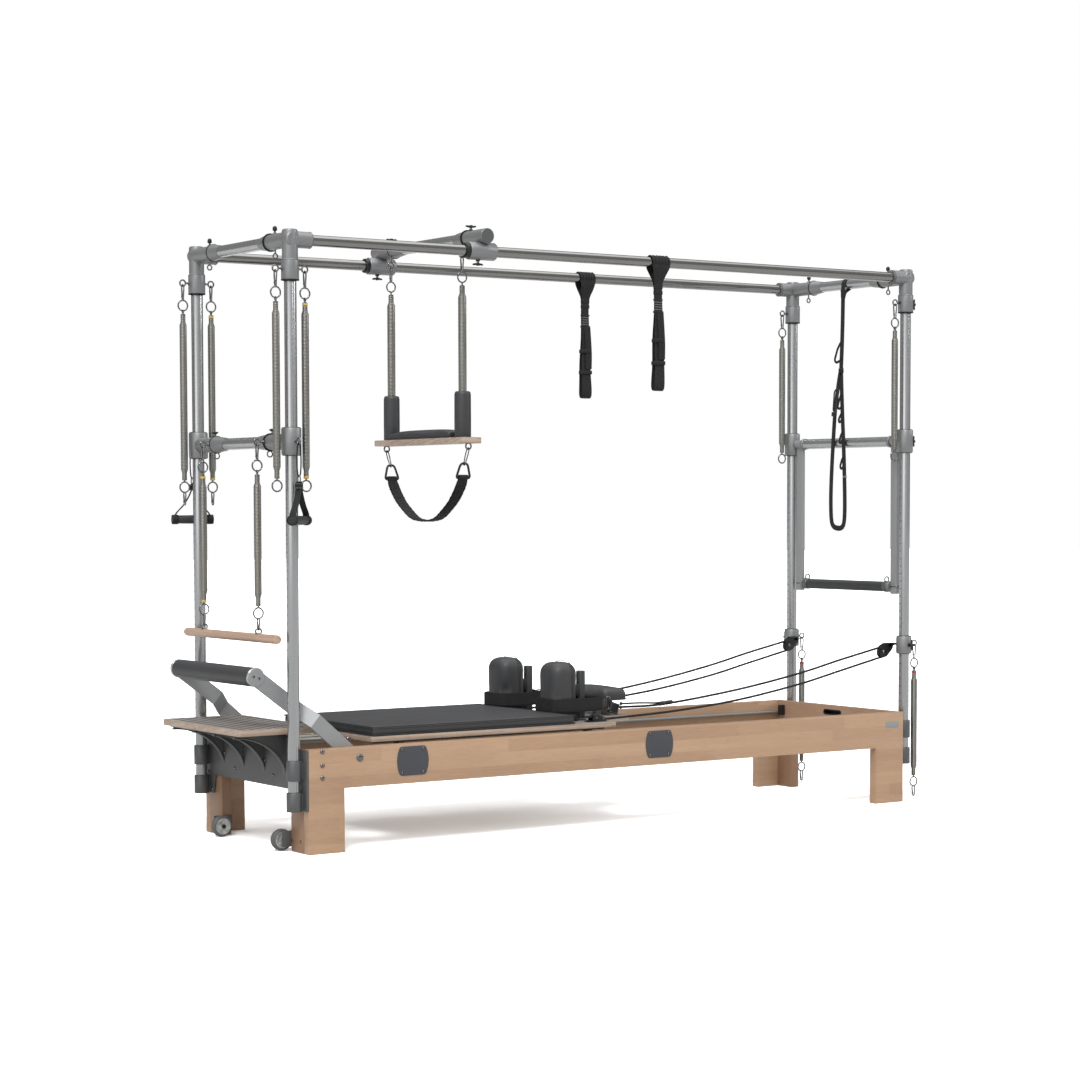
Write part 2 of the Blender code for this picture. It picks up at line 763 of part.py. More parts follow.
def make_foot_end_plate():
    middle = FOOT_X - GAP - PLATE / 2
    top = PLATFORM_BOTTOM - GAP
    low = top - PLATE_HEIGHT
    half = PLATE_WIDTH / 2
    wing = low - WING_DROP
    right = [
        (half * 0.99, low),
        (half + 0.010, wing),
        (RAIL_OUTER, wing),
        (RAIL_OUTER, RAIL_TOP - 0.002),
        (half + 0.010, RAIL_TOP - 0.002),
        (half, top),
    ]
    left = [(-y, z) for y, z in reversed(right)]
    shapes = [plate([outline(right + left, 0.004, 1)], PLATE, "YZ", middle)]
    first = -(GUSSETS - 1) / 2
    shapes += [gusset((first + k) * GUSSET_SPACING) for k in range(GUSSETS)]
    flange = (FOOT_X - GAP - PLATE - GUSSET_REACH, middle)
    shapes.append(block(flange, (-half * 0.86, half * 0.86), (top - 0.004, top)))
    bar_x = FOOT_X + SPRING_BAR_X
    for side in (1, -1):
        y = side * SPRING_BAR_HALF
        arm_z = (CARRIAGE_SPRING_Z - 0.014, CARRIAGE_SPRING_Z + 0.014)
        shapes.append(block((middle, bar_x + 0.006), (y - 0.005, y + 0.005), arm_z))
        for bottom, height in SLEEVES:
            post = (FOOT_POST_X, side * POST_Y)
            shapes.append(rod(SLEEVE_RADIUS, (*post, bottom), (*post, height)))
            shapes.append(
                block(
                    (FOOT_POST_X + POST_RADIUS, middle),
                    (side * POST_Y - 0.014, side * POST_Y + 0.014),
                    (bottom + 0.004, height - 0.004),
                )
            )
    ends = (-SPRING_BAR_HALF - 0.004, SPRING_BAR_HALF + 0.004)
    shapes.append(rod(SPRING_BAR_RADIUS, *[(bar_x, y, CARRIAGE_SPRING_Z) for y in ends]))
    bores = [
        rod(
            POST_RADIUS + GAP,
            (FOOT_POST_X, side * POST_Y, POST_BOTTOM - 0.02),
            (FOOT_POST_X, side * POST_Y, RAIL_TOP),
        )
        for side in (1, -1)
    ]
    finish("foot_end_plate", cut(joined(shapes), *bores), DARK_STEEL)


def make_foot_platform():
    x0, x1 = FOOT_X - PLATFORM_REACH, FOOT_X + PLATFORM_INNER
    half = PLATFORM_WIDTH / 2
    corners = [(x0, -half), (x1, -half), (x1, half), (x0, half)]
    board = plate(
        [outline(corners, 0.012)], PLATFORM_THICKNESS, "XY", PLATFORM_TOP - PLATFORM_THICKNESS / 2
    )
    finish("foot_platform", board, PLYWOOD)


def make_transport_wheels():
    outer = RAIL_OUTER - LEG_RETURN - CASTER_INSET
    x, z = FOOT_X + CASTER_X, CASTER_RADIUS + 0.0005
    for name, side in (("near", -1), ("far", 1)):
        start, end = side * outer, side * (outer - CASTER_WIDTH)
        middle = (start + end) / 2
        tyre = [
            rod(CASTER_RADIUS, (x, middle - 0.010, z), (x, middle + 0.010, z), WHEEL_SIDES),
            rod(CASTER_RADIUS - 0.005, (x, start, z), (x, end, z), WHEEL_SIDES),
        ]
        bore = rod(AXLE_RADIUS + TURN_GAP, (x, start + side * 0.01, z), (x, end - side * 0.01, z))
        hinge = joint(f"transport_wheel_{name}_axis", (x, middle, z))
        finish(f"transport_wheel_{name}", cut(joined(tyre), bore), BLACK_PLASTIC, hinge)


# Tower

def make_posts():
    foot_top = HEADER_TOP - POST_SEAT
    for name, side in (("near", -1), ("far", 1)):
        y = side * POST_Y
        post = rod(POST_RADIUS, (FOOT_POST_X, y, POST_BOTTOM), (FOOT_POST_X, y, foot_top))
        finish(f"post_foot_{name}", post, STEEL)
        plate_x = (HEAD_X + GAP, HEAD_X + GAP + 0.006)
        shapes = [
            rod(POST_RADIUS, (HEAD_POST_X, y, POST_BOTTOM), (HEAD_POST_X, y, foot_top)),
            block(plate_x, (y - 0.032, y + 0.032), (POST_BOTTOM - 0.008, SLEEVE_UPPER_TOP)),
        ]
        for low, high in SLEEVES:
            web_x, web_z = (plate_x[0] + 0.002, HEAD_POST_X), (low + 0.004, high - 0.004)
            shapes.append(rod(SLEEVE_RADIUS, (HEAD_POST_X, y, low), (HEAD_POST_X, y, high)))
            shapes.append(block(web_x, (y - 0.014, y + 0.014), web_z))
        finish(f"post_head_{name}", joined(shapes), STEEL)


def corner_casting(post_x, toward, side, reaches):
    """A three-way corner: collar on the post, socket for the top rail, and eyes."""
    y = side * POST_Y
    collar_top = HEADER_COLLAR_BOTTOM + HEADER_COLLAR_HEIGHT
    profile = [
        (0, HEADER_TOP),
        (CASTING_RADIUS - 0.003, HEADER_TOP),
        (CASTING_RADIUS, HEADER_TOP - 0.003),
        (CASTING_RADIUS, collar_top),
        (COLLAR_RADIUS, collar_top - 0.003),
        (COLLAR_RADIUS, HEADER_COLLAR_BOTTOM),
        (0, HEADER_COLLAR_BOTTOM),
    ]
    socket_end = post_x + toward * RAIL_SOCKET_REACH
    inner = POST_Y - HEADER_STUB
    shapes = [
        turned(profile, (post_x, y, 0)),
        rod(RAIL_SOCKET_RADIUS, (post_x - toward * 0.004, y, CROSS_Z), (socket_end, y, CROSS_Z)),
        *cap_nut((post_x, side * (inner + 0.030), CROSS_Z + CASTING_RADIUS)),
    ]
    for reach in reaches:
        centre = (post_x + reach * EYE_REACH, y, HEADER_EYE_Z)
        shapes += eye(centre, (post_x + reach * (COLLAR_RADIUS - 0.006), y, HEADER_EYE_Z))
    return shapes


def header(name, post_x, toward, reaches):
    inner = POST_Y - HEADER_STUB
    shapes = [cross_member(post_x, CROSS_Z, POST_Y, inner, CUP_LENGTH)]
    bores = []
    for side in (1, -1):
        shapes += corner_casting(post_x, toward, side, reaches)
        y = side * POST_Y
        end = post_x + toward * (RAIL_SOCKET_REACH + 0.01)
        start = post_x + toward * (RAIL_SOCKET_REACH - SOCKET_DEPTH)
        bores.append(rod(TOP_RAIL_RADIUS + GAP, (start, y, CROSS_Z), (end, y, CROSS_Z)))
        top = HEADER_TOP - POST_SEAT
        bores.append(rod(POST_RADIUS + GAP, (post_x, y, HEADER_COLLAR_BOTTOM - 0.01), (post_x, y, top + GAP)))
    finish(name, cut(joined(shapes), *bores), STEEL)


def make_top_rails():
    start = FOOT_POST_X + RAIL_SOCKET_REACH - SOCKET_DEPTH + GAP
    end = HEAD_POST_X - RAIL_SOCKET_REACH + SOCKET_DEPTH - GAP
    for name, side in (("near", -1), ("far", 1)):
        y = side * POST_Y
        rail = rod(TOP_RAIL_RADIUS, (start, y, CROSS_Z), (end, y, CROSS_Z))
        finish(f"top_rail_{name}", rail, DARK_STEEL)


def make_hanging_springs():
    rows = (
        ("spring_foot_%s_outer", FOOT_POST_X - EYE_REACH, FOOT_SPRING_BODY),
        ("spring_foot_%s_inner", FOOT_POST_X + EYE_REACH, FOOT_SPRING_BODY),
        ("spring_head_%s_upper", HEAD_POST_X - EYE_REACH, HEAD_SPRING_BODY),
    )
    for name, side in (("near", -1), ("far", 1)):
        for pattern, x, body in rows:
            place = (x, side * POST_Y, HEADER_EYE_Z)
            far_hook = HOOK_LENGTH if side > 0 and body == FOOT_SPRING_BODY else 0
            shapes, _ = hung_spring(place, body, hook=far_hook)
            hinge = joint((pattern + "_eye") % name, place)
            finish(pattern % name, joined(shapes), STEEL, hinge)


# Foot crossbar with the roll bar and the handles

def make_foot_crossbar():
    shapes, bores = [], []
    inner = POST_Y - FOOT_BAR_STUB
    bottom = FOOT_BAR_Z - FOOT_BAR_COLLAR / 2
    for side in (1, -1):
        y = side * POST_Y
        collar, bore = clamp_collar(FOOT_POST_X, y, bottom, FOOT_BAR_COLLAR, BAR_COLLAR_RADIUS)
        bores.append(bore)
        shapes += collar
        root = (FOOT_POST_X, side * (inner + 0.012), FOOT_BAR_Z + CASTING_RADIUS)
        shapes += wing_knob(root, (0, 0, 1), (0, 1, 0))
        roll_eye = Vector((ROLL_PIVOT.x, side * ROLL_EYE_Y, FOOT_BAR_Z))
        shapes += eye(roll_eye, (FOOT_POST_X - WASHER_RADIUS + 0.004, side * ROLL_EYE_Y, FOOT_BAR_Z))
        handle_eye = (FOOT_POST_X, side * (POST_Y + HANDLE_EYE_REACH), FOOT_BAR_Z)
        stem = (FOOT_POST_X, side * (POST_Y + BAR_COLLAR_RADIUS - 0.006), FOOT_BAR_Z)
        shapes += eye(handle_eye, stem, "X", EYE_STEPS)
    shapes.append(cross_member(FOOT_POST_X, FOOT_BAR_Z, POST_Y, inner, FOOT_BAR_CUP))
    slide = joint("foot_crossbar_slide", (FOOT_POST_X, 0, FOOT_BAR_Z))
    finish("foot_crossbar", cut(joined(shapes), *bores), STEEL, slide)
    return slide


def make_roll_bar(slide):
    swing = joint("roll_bar_swing", ROLL_PIVOT, slide)
    x = ROLL_PIVOT.x
    bar_eye_z = ROLL_BAR_Z + ROLL_BAR_RADIUS + 0.007
    shapes = [rod(ROLL_BAR_RADIUS, (x, -ROLL_BAR_HALF, ROLL_BAR_Z), (x, ROLL_BAR_HALF, ROLL_BAR_Z))]
    for name, side in (("near", -1), ("far", 1)):
        y = side * ROLL_EYE_Y
        shapes.append(ring(EYE_RADIUS, EYE_WIRE, (x, y, bar_eye_z)))
        spring, low_ring = hung_spring((x, y, FOOT_BAR_Z), ROLL_SPRING_BODY)
        foot = bar_eye_z + EYE_RADIUS - EYE_WIRE - RING_WIRE - EYE_CLEARANCE
        spring.append(snap_hook(x, y, low_ring - RING_RADIUS + RING_WIRE / 2, foot))
        finish(f"roll_spring_{name}", joined(spring), STEEL, swing)
    finish("roll_bar", joined(shapes), DOWEL, swing)


def make_handles(slide):
    """A grip on a V of webbing below a snap hook."""
    for name, side, angle in (("near", -1, 40), ("far", 1, 165)):
        y = side * (POST_Y + HANDLE_EYE_REACH)
        place = (FOOT_POST_X, y, FOOT_BAR_Z)
        grip_z = FOOT_BAR_Z - GRIP_DROP
        apex = grip_z + 0.101
        along = Vector((math.cos(math.radians(angle)), math.sin(math.radians(angle)), 0))
        across = along.cross(Vector((0, 0, 1)))
        centre = Vector((FOOT_POST_X, y, 0))
        low, high = Vector((0, 0, grip_z)), Vector((0, 0, apex))
        reach = along * (GRIP_HALF - 0.008)
        strap = [
            (centre + low - reach, 0.024),
            (centre + high - along * 0.006, 0.024),
            (centre + high + along * 0.006, 0.024),
            (centre + low + reach, 0.024),
        ]
        shapes = [
            rod(GRIP_RADIUS, centre + low - along * GRIP_HALF, centre + low + along * GRIP_HALF, 16),
            band(strap, across, WEBBING),
            block(
                (FOOT_POST_X - 0.010, FOOT_POST_X + 0.010),
                (y - 0.010, y + 0.010),
                (apex - 0.006, FOOT_BAR_Z - HANDLE_STRAP_TOP + 0.036),
            ),
        ]
        top = hook_top(FOOT_BAR_Z) - HANDLE_HOOK_DROP
        points = []
        bottom = FOOT_BAR_Z - HANDLE_STRAP_TOP + 0.033
        for middle, start in ((top - CLIP_HALF_WIDTH, 0), (bottom + CLIP_HALF_WIDTH, 180)):
            for k in range(5):
                turn = math.radians(start + 45 * k)
                points.append(
                    (
                        FOOT_POST_X + CLIP_HALF_WIDTH * math.cos(turn),
                        y,
                        middle + CLIP_HALF_WIDTH * math.sin(turn),
                    )
                )
        shapes.append(wire(points, RING_WIRE, closed=True))
        hinge = joint(f"handle_{name}_eye", place, slide)
        finish(f"handle_{name}", joined(shapes), BLACK_FABRIC, hinge)


# Head crossbar, push-through bar and pulleys

def make_head_crossbar():
    shapes, bores = [], []
    bottom = HEAD_BAR_Z - HEAD_BAR_COLLAR / 2
    half = PUSH_ARM_WIDTH / 2 + GAP
    for side in (1, -1):
        y = side * POST_Y
        collar, bore = clamp_collar(HEAD_POST_X, y, bottom, HEAD_BAR_COLLAR, HEAD_COLLAR_RADIUS)
        bores.append(bore)
        outer, inner = side * (PUSH_ARM_Y + half), side * (PUSH_ARM_Y - half)
        start = (HEAD_POST_X, y - side * POST_RADIUS, HEAD_BAR_Z)
        shapes += collar
        shapes.append(rod(PUSH_HUB_RADIUS, start, (HEAD_POST_X, outer, HEAD_BAR_Z)))
        pin_end = (HEAD_POST_X, inner - side * 0.01, HEAD_BAR_Z)
        shapes.append(rod(PUSH_PIN_RADIUS, start, pin_end))
    inner = PUSH_ARM_Y - half
    shapes.append(rod(CROSS_RADIUS, (HEAD_POST_X, -inner, HEAD_BAR_Z), (HEAD_POST_X, inner, HEAD_BAR_Z)))
    root = (HEAD_POST_X + HEAD_COLLAR_RADIUS, -POST_Y, HEAD_BAR_Z)
    shapes += wing_knob(root, (1, 0, 0), (0, 0, 1))
    slide = joint("head_crossbar_slide", (HEAD_POST_X, 0, HEAD_BAR_Z))
    finish("head_crossbar", cut(joined(shapes), *bores), STEEL, slide)
    return slide


def make_push_bar(slide):
    x = HEAD_POST_X
    shapes, bores = [], []
    grip_half = PUSH_ARM_Y - PUSH_ARM_WIDTH / 2 + 0.004
    for side in (1, -1):
        y0, y1 = side * (PUSH_ARM_Y - PUSH_ARM_WIDTH / 2), side * (PUSH_ARM_Y + PUSH_ARM_WIDTH / 2)
        shapes += [
            block(
                (x - PUSH_ARM_THICKNESS / 2, x + PUSH_ARM_THICKNESS / 2),
                (y0, y1),
                (HEAD_BAR_Z - PUSH_ARM_LENGTH, HEAD_BAR_Z),
            ),
            rod(PUSH_HUB_RADIUS, (x, y0, HEAD_BAR_Z), (x, y1, HEAD_BAR_Z)),
        ]
        eye_at = Vector((x, side * 0.246, PUSH_GRIP_Z + PUSH_GRIP_RADIUS + 0.008))
        shapes.append(ring(EYE_RADIUS, EYE_WIRE, eye_at))
        bore_ends = [(x, y0 - side * 0.01, HEAD_BAR_Z), (x, y1 + side * 0.01, HEAD_BAR_Z)]
        bores.append(rod(PUSH_PIN_RADIUS + TURN_GAP, *bore_ends))
    shapes.append(rod(PUSH_GRIP_RADIUS, (x, -grip_half, PUSH_GRIP_Z), (x, grip_half, PUSH_GRIP_Z)))
    swing = joint("push_bar_swing", (x, 0, HEAD_BAR_Z), slide)
    finish("push_bar", cut(joined(shapes), *bores), STEEL, swing)


def make_pulleys():
    x, z = PULLEY_CENTRE_X, PULLEY_Z
    for name, side in (("near", -1), ("far", 1)):
        post_y, y = side * POST_Y, side * PULLEY_Y
        collar, bore = clamp_collar(HEAD_POST_X, post_y, PULLEY_COLLAR_Z, PULLEY_COLLAR, PULLEY_COLLAR_RADIUS)
        middle = PULLEY_COLLAR_Z + PULLEY_COLLAR / 2
        spring_eye = (HEAD_POST_X + EYE_REACH, post_y, middle + 0.005)
        collar += eye(spring_eye, (HEAD_POST_X + PULLEY_COLLAR_RADIUS - 0.006, post_y, middle + 0.005))
        collar += wing_knob(
            (HEAD_POST_X, post_y + side * (PULLEY_COLLAR_RADIUS), middle), (0, side, 0), (0, 0, 1)
        )
        cheek_y = SHEAVE_WIDTH / 2 + TURN_GAP + CHEEK / 2
        top = z + SHEAVE_RADIUS + 0.012
        corners = [
            (x - 0.014, z - 0.017),
            (x + 0.014, z - 0.017),
            (x + 0.017, top),
            (x - 0.017, top),
        ]
        for step in (1, -1):
            collar.append(plate([outline(corners, 0.010, 2)], CHEEK, "XZ", y + step * cheek_y))
        bridge = cheek_y + CHEEK / 2
        collar.append(block((x - 0.012, x + 0.015), (y - bridge, y + bridge), (top - 0.006, top)))
        arm_z = (top - 0.008, top)
        collar.append(block((x + 0.004, HEAD_POST_X - 0.010), (y - side * 0.004, y + side * 0.009), arm_z))
        collar.append(block((HEAD_POST_X - 0.022, HEAD_POST_X - 0.006), (y, post_y - side * 0.024), arm_z))
        collar.append(rod(AXLE_RADIUS, (x, y - bridge, z), (x, y + bridge, z)))
        slide = joint(f"pulley_slide_{name}", (HEAD_POST_X, post_y, middle))
        finish(f"pulley_collar_{name}", cut(joined(collar), bore), STEEL, slide)
        half = SHEAVE_WIDTH / 2
        floor = SHEAVE_GROOVE - ROPE_RADIUS - GAP
        wall = ROPE_RADIUS + GAP
        profile = [
            (AXLE_RADIUS + TURN_GAP, half),
            (SHEAVE_RADIUS, half),
            (SHEAVE_RADIUS, wall + 0.0015),
            (floor, wall),
            (floor, -wall),
            (SHEAVE_RADIUS, -wall - 0.0015),
            (SHEAVE_RADIUS, -half),
            (AXLE_RADIUS + TURN_GAP, -half),
            (AXLE_RADIUS + TURN_GAP, half),
        ]
        spin = joint(f"pulley_spin_{name}", (x, y, z), slide)
        finish(f"pulley_sheave_{name}", turned(profile, (x, y, z), WHEEL_SIDES, "Y"), BLACK_PLASTIC, spin)
        shapes, _ = hung_spring(spring_eye, LOW_SPRING_BODY)
        hinge = joint(f"spring_head_{name}_lower_eye", spring_eye, slide)
        finish(f"spring_head_{name}_lower", joined(shapes), STEEL, hinge)


def smooth_route(points, spacing):
    """Evenly spaced points on a Catmull-Rom curve through the route's own points."""
    points = [Vector(p) for p in points]
    padded = [points[0] * 2 - points[1], *points, points[-1] * 2 - points[-2]]
    fine = []
    for a, b, c, d in zip(padded, padded[1:], padded[2:], padded[3:]):
        for k in range(24):
            t = k / 24
            fine.append(
                0.5
                * (
                    2 * b
                    + (c - a) * t
                    + (2 * a - 5 * b + 4 * c - d) * t * t
                    + (3 * b - a - 3 * c + d) * t ** 3
                )
            )
    fine.append(points[-1])
    kept = [fine[0]]
    for point in fine:
        if (point - kept[-1]).length >= spacing:
            kept.append(point)
    if (kept[-1] - fine[-1]).length > spacing * 0.4:
        kept.append(fine[-1])
    return kept


def rope_route(side):
    """From the cleat on the deck, round the sheave, and back to the loop's ring."""
    y = side * PULLEY_Y
    step = 22
    reach = SHEAVE_GROOVE / math.cos(math.radians(step / 2))
    wrap = []
    for angle in range(-6, 194, step):
        turn = math.radians(angle)
        wrap.append(
            Vector((PULLEY_CENTRE_X + reach * math.sin(turn), y, PULLEY_Z - reach * math.cos(turn)))
        )
    lower = [
        (FOOT_X + 1.300, side * 0.281, 0.3960),
        (FOOT_X + 1.345, side * 0.281, 0.3945),
        (FOOT_X + 1.640, side * 0.284, 0.4080),
        (FOOT_X + 1.939, side * 0.287, 0.4360),
        (FOOT_X + 2.238, side * 0.290, 0.4830),
        (FOOT_X + 2.444, side * 0.292, 0.5270),
    ]
    upper = [
        (FOOT_X + 2.443, side * 0.292, 0.5700),
        (FOOT_X + 2.238, side * 0.288, 0.5250),
        (FOOT_X + 1.939, side * 0.276, 0.4740),
        (FOOT_X + 1.606, side * 0.258, 0.4340),
        (FOOT_X + 1.410, side * 0.245, 0.4300),
    ]
    out = smooth_route(lower + wrap[:1], ROPE_STEP)
    back = smooth_route(wrap[-1:] + upper, ROPE_STEP)
    return out[:-1] + wrap + back[1:]


def make_ropes():
    for name, side in (("near", -1), ("far", 1)):
        finish(f"rope_{name}", wire(rope_route(side), ROPE_RADIUS, resolution=2), BLACK_FABRIC)


# Carriage

def make_carriage():
    slide = joint("carriage_slide", (DECK_START, 0, DECK_BOTTOM))
    half = CARRIAGE_HALF
    corners = [(DECK_START, -half), (DECK_END, -half), (DECK_END, -TONGUE_HALF)]
    corners += [(DECK_END + TONGUE_LENGTH, -TONGUE_HALF), (DECK_END + TONGUE_LENGTH, TONGUE_HALF)]
    corners += [(DECK_END, TONGUE_HALF), (DECK_END, half), (DECK_START, half)]
    shapes = [plate([outline(corners, 0.008, 1)], DECK, "XY", (DECK_TOP + DECK_BOTTOM) / 2)]
    axle_z = TRACK_TOP + WHEEL_RADIUS + GAP
    hanger = WHEEL_Y - WHEEL_WIDTH / 2 - 0.003
    for side in (1, -1):
        for x in (DECK_START + WHEEL_INSET, DECK_END - WHEEL_INSET):
            shapes.append(
                block(
                    (x - 0.020, x + 0.020),
                    (side * hanger, side * (hanger - 0.004)),
                    (TRACK_TOP + 0.004, DECK_BOTTOM + 0.002),
                )
            )
            shapes.append(
                rod(
                    AXLE_RADIUS,
                    (x, side * (hanger - 0.003), axle_z),
                    (x, side * (WHEEL_Y + WHEEL_WIDTH / 2 + 0.002), axle_z),
                    SMALL_SIDES,
                )
            )
        cleat = (DECK_END - 0.055, side * ROPE_Y)
        cleat_x, cleat_y = (cleat[0] - 0.030, cleat[0] + 0.024), (cleat[1] - 0.010, cleat[1] + 0.010)
        shapes.append(block(cleat_x, cleat_y, (DECK_TOP - 0.002, DECK_TOP + 0.016)))
    hinge_z = HEADREST_BOTTOM - 0.010
    hinge_x = HEADREST_START + 0.014
    for side in (1, -1):
        y = side * 0.070
        ear_x, ear_y = (hinge_x - HINGE_EAR, hinge_x + HINGE_EAR), (y - 0.004, y + 0.004)
        shapes.append(block(ear_x, ear_y, (DECK_TOP - 0.002, hinge_z)))
        shapes.append(rod(HINGE_EAR, *[(hinge_x, place, hinge_z) for place in ear_y], TUBE_SIDES))
    shapes.append(rod(HINGE_PIN_RADIUS, (hinge_x, -0.074, hinge_z), (hinge_x, 0.074, hinge_z), SMALL_SIDES))
    through = (DECK_BOTTOM - 0.01, DECK_TOP + 0.01)
    holes = [
        rod(REST_PIN_RADIUS + GAP, *[(PEG_X, side * REST_Y, z) for z in through])
        for side in (1, -1)
    ]
    finish("carriage_deck", cut(joined(shapes), *holes), PLYWOOD, slide)
    make_carriage_pad(slide)
    for name, x in (("foot", DECK_START + WHEEL_INSET), ("head", DECK_END - WHEEL_INSET)):
        for place, side in (("near", -1), ("far", 1)):
            make_carriage_wheel(f"carriage_wheel_{name}_{place}", (x, side * WHEEL_Y, axle_z), slide)
    for place, side in (("near", -1), ("far", 1)):
        make_shoulder_rest(place, side, slide)
        make_strap_loop(place, side, slide)
    make_headrest(slide, hinge_x, hinge_z)


def cushion(x_range, y_range, z_range, crown, edge, cuts=2, inset=0.004):
    """A stuffed pad: a coarse cage with a crowned top and drawn-in sides, subdivided."""
    (x0, x1), (y0, y1), (z0, z1) = x_range, y_range, z_range
    bm = bmesh.new()
    bmesh.ops.create_cube(bm, size=1)
    middle = Matrix.Translation(((x0 + x1) / 2, (y0 + y1) / 2, (z0 + z1) / 2))
    bm.transform(middle @ Matrix.Diagonal((x1 - x0, y1 - y0, z1 - z0, 1)))
    for axis, (low, high) in ((0, x_range), (1, y_range)):
        for k in range(cuts):
            share = (k + 0.5) / cuts if k not in (0, cuts - 1) else None
            place = low + edge if k == 0 else high - edge if k == cuts - 1 else low + (high - low) * share
            point, normal = Vector(), Vector()
            point[axis], normal[axis] = place, 1
            faces = bm.verts[:] + bm.edges[:] + bm.faces[:]
            bmesh.ops.bisect_plane(bm, geom=faces, plane_co=point, plane_no=normal)
    point, normal = Vector((0, 0, (z0 + z1) / 2)), Vector((0, 0, 1))
    bmesh.ops.bisect_plane(bm, geom=bm.verts[:] + bm.edges[:] + bm.faces[:], plane_co=point, plane_no=normal)
    for vert in bm.verts:
        u = abs(vert.co.x - (x0 + x1) / 2) / ((x1 - x0) / 2)
        v = abs(vert.co.y - (y0 + y1) / 2) / ((y1 - y0) / 2)
        if vert.co.z > z1 - 0.0001:
            vert.co.z += crown * (1 - u ** 4) * (1 - v ** 4) - 0.003 * max(u ** 8, v ** 8)
        pull = inset if abs(vert.co.z - (z0 + z1) / 2) > 0.001 else 0
        vert.co.x -= math.copysign(pull * (u > 0.999), vert.co.x - (x0 + x1) / 2)
        vert.co.y -= math.copysign(pull * (v > 0.999), vert.co.y - (y0 + y1) / 2)
    shape = mesh_shape(bm)
    soft = shape.modifiers.new("Soft", "SUBSURF")
    soft.levels = 1
    soft.render_levels = 1
    return baked(shape)


def make_carriage_pad(slide):
    pad = cushion(
        (DECK_START + 0.004, DECK_START + 0.004 + PAD_LENGTH),
        (-CARRIAGE_HALF, CARRIAGE_HALF),
        (DECK_TOP + GAP, PAD_TOP),
        PAD_CROWN,
        0.020,
        4,
    )
    finish("carriage_pad", pad, BLACK_VINYL, slide)


def make_carriage_wheel(name, centre, slide):
    x, y, z = centre
    half = WHEEL_WIDTH / 2
    wheel = rod(WHEEL_RADIUS, (x, y - half, z), (x, y + half, z), TUBE_SIDES)
    bore = rod(AXLE_RADIUS + TURN_GAP, (x, y - half - 0.01, z), (x, y + half + 0.01, z))
    spin = joint(name + "_axis", centre, slide)
    finish(name, cut(wheel, bore), BLACK_PLASTIC, spin)


def make_shoulder_rest(name, side, slide):
    """A stuffed block on a peg that drops into the deck."""
    y = side * REST_Y
    bottom = PAD_TOP + PAD_CROWN + 0.002
    x0 = REST_CENTRE_X - REST_LENGTH / 2
    bracket_x = (PEG_X - REST_PEG_RADIUS - 0.012, PEG_X)
    rest = cushion(
        (x0, x0 + REST_LENGTH),
        (y - REST_WIDTH / 2, y + REST_WIDTH / 2),
        (bottom, REST_TOP - 0.004),
        0.006,
        0.030,
    )
    shapes = [
        rest,
        rod(REST_PEG_RADIUS, (PEG_X, y, DECK_TOP + GAP), (PEG_X, y, REST_PEG_TOP), 16),
        rod(REST_PIN_RADIUS, (PEG_X, y, DECK_BOTTOM + 0.001), (PEG_X, y, DECK_TOP + 0.01)),
        block(bracket_x, (y - 0.012, y + 0.012), (bottom + 0.060, bottom + 0.100)),
    ]
    lift = joint(f"shoulder_rest_{name}_peg", (PEG_X, y, DECK_TOP), slide)
    finish(f"shoulder_rest_{name}", joined(shapes), BLACK_VINYL, lift)


def make_strap_loop(name, side, slide):
    """A webbing loop laid round the shoulder rest, with its ring and rope end toward the head."""
    y = side * REST_Y
    low, high = PAD_TOP + PAD_CROWN + 0.002, PAD_TOP + PAD_CROWN + 0.050
    clear, snug = 0.008, 0.0008
    x0 = REST_CENTRE_X - REST_LENGTH / 2 - snug
    x1 = PEG_X + REST_PEG_RADIUS + clear
    y0, y1 = y - REST_WIDTH / 2 - clear, y + REST_WIDTH / 2 + clear
    tail_y = side * LOOP_TAIL_Y
    neck_x = DECK_END + 0.005
    corners = [(x0, y0), (x1, y0), (neck_x, tail_y - 0.006), (neck_x, tail_y + 0.006), (x1, y1), (x0, y1)]
    path = outline(corners, 0.030, 2)
    stations = [((px, py, (low + high) / 2), high - low) for px, py in path]
    loop = band(stations, (0, 0, 1), WEBBING, closed=True)
    ring_x = DECK_END + 0.032
    middle = (low + high) / 2
    tail_x = (neck_x - 0.004, ring_x + 0.010)
    buckle_x = (ring_x, ring_x + 0.030)
    shapes = [
        loop,
        block(tail_x, (tail_y - 0.004, tail_y + 0.004), (middle - 0.018, middle + 0.018)),
        block(buckle_x, (tail_y - 0.006, tail_y + 0.006), (low - 0.006, high - 0.014)),
    ]
    finish(f"strap_loop_{name}", joined(shapes), BLACK_FABRIC, slide)


def make_headrest(slide, hinge_x, hinge_z):
    x0 = HEADREST_START
    pad = cushion(
        (x0, x0 + HEADREST_LENGTH),
        (-HEADREST_HALF, HEADREST_HALF),
        (HEADREST_BOTTOM, HEADREST_BOTTOM + HEADREST_THICKNESS - 0.004),
        0.006,
        0.024,
    )
    shapes = [pad]
    for side in (1, -1):
        y = side * 0.055
        shapes.append(
            block(
                (hinge_x - 0.010, hinge_x + 0.024),
                (y - 0.006, y + 0.006),
                (hinge_z - 0.010, HEADREST_BOTTOM + 0.008),
            )
        )
    shapes.append(
        block(
            (x0 + HEADREST_LENGTH - 0.030, x0 + HEADREST_LENGTH - 0.018),
            (-0.060, 0.060),
            (DECK_TOP + GAP, HEADREST_BOTTOM + 0.008),
        )
    )
    bore = rod(HINGE_PIN_RADIUS + TURN_GAP, (hinge_x, -0.08, hinge_z), (hinge_x, 0.08, hinge_z), SMALL_SIDES)
    hinge = joint("headrest_hinge", (hinge_x, 0, hinge_z), slide)
    finish("headrest", cut(joined(shapes), bore), BLACK_VINYL, hinge)


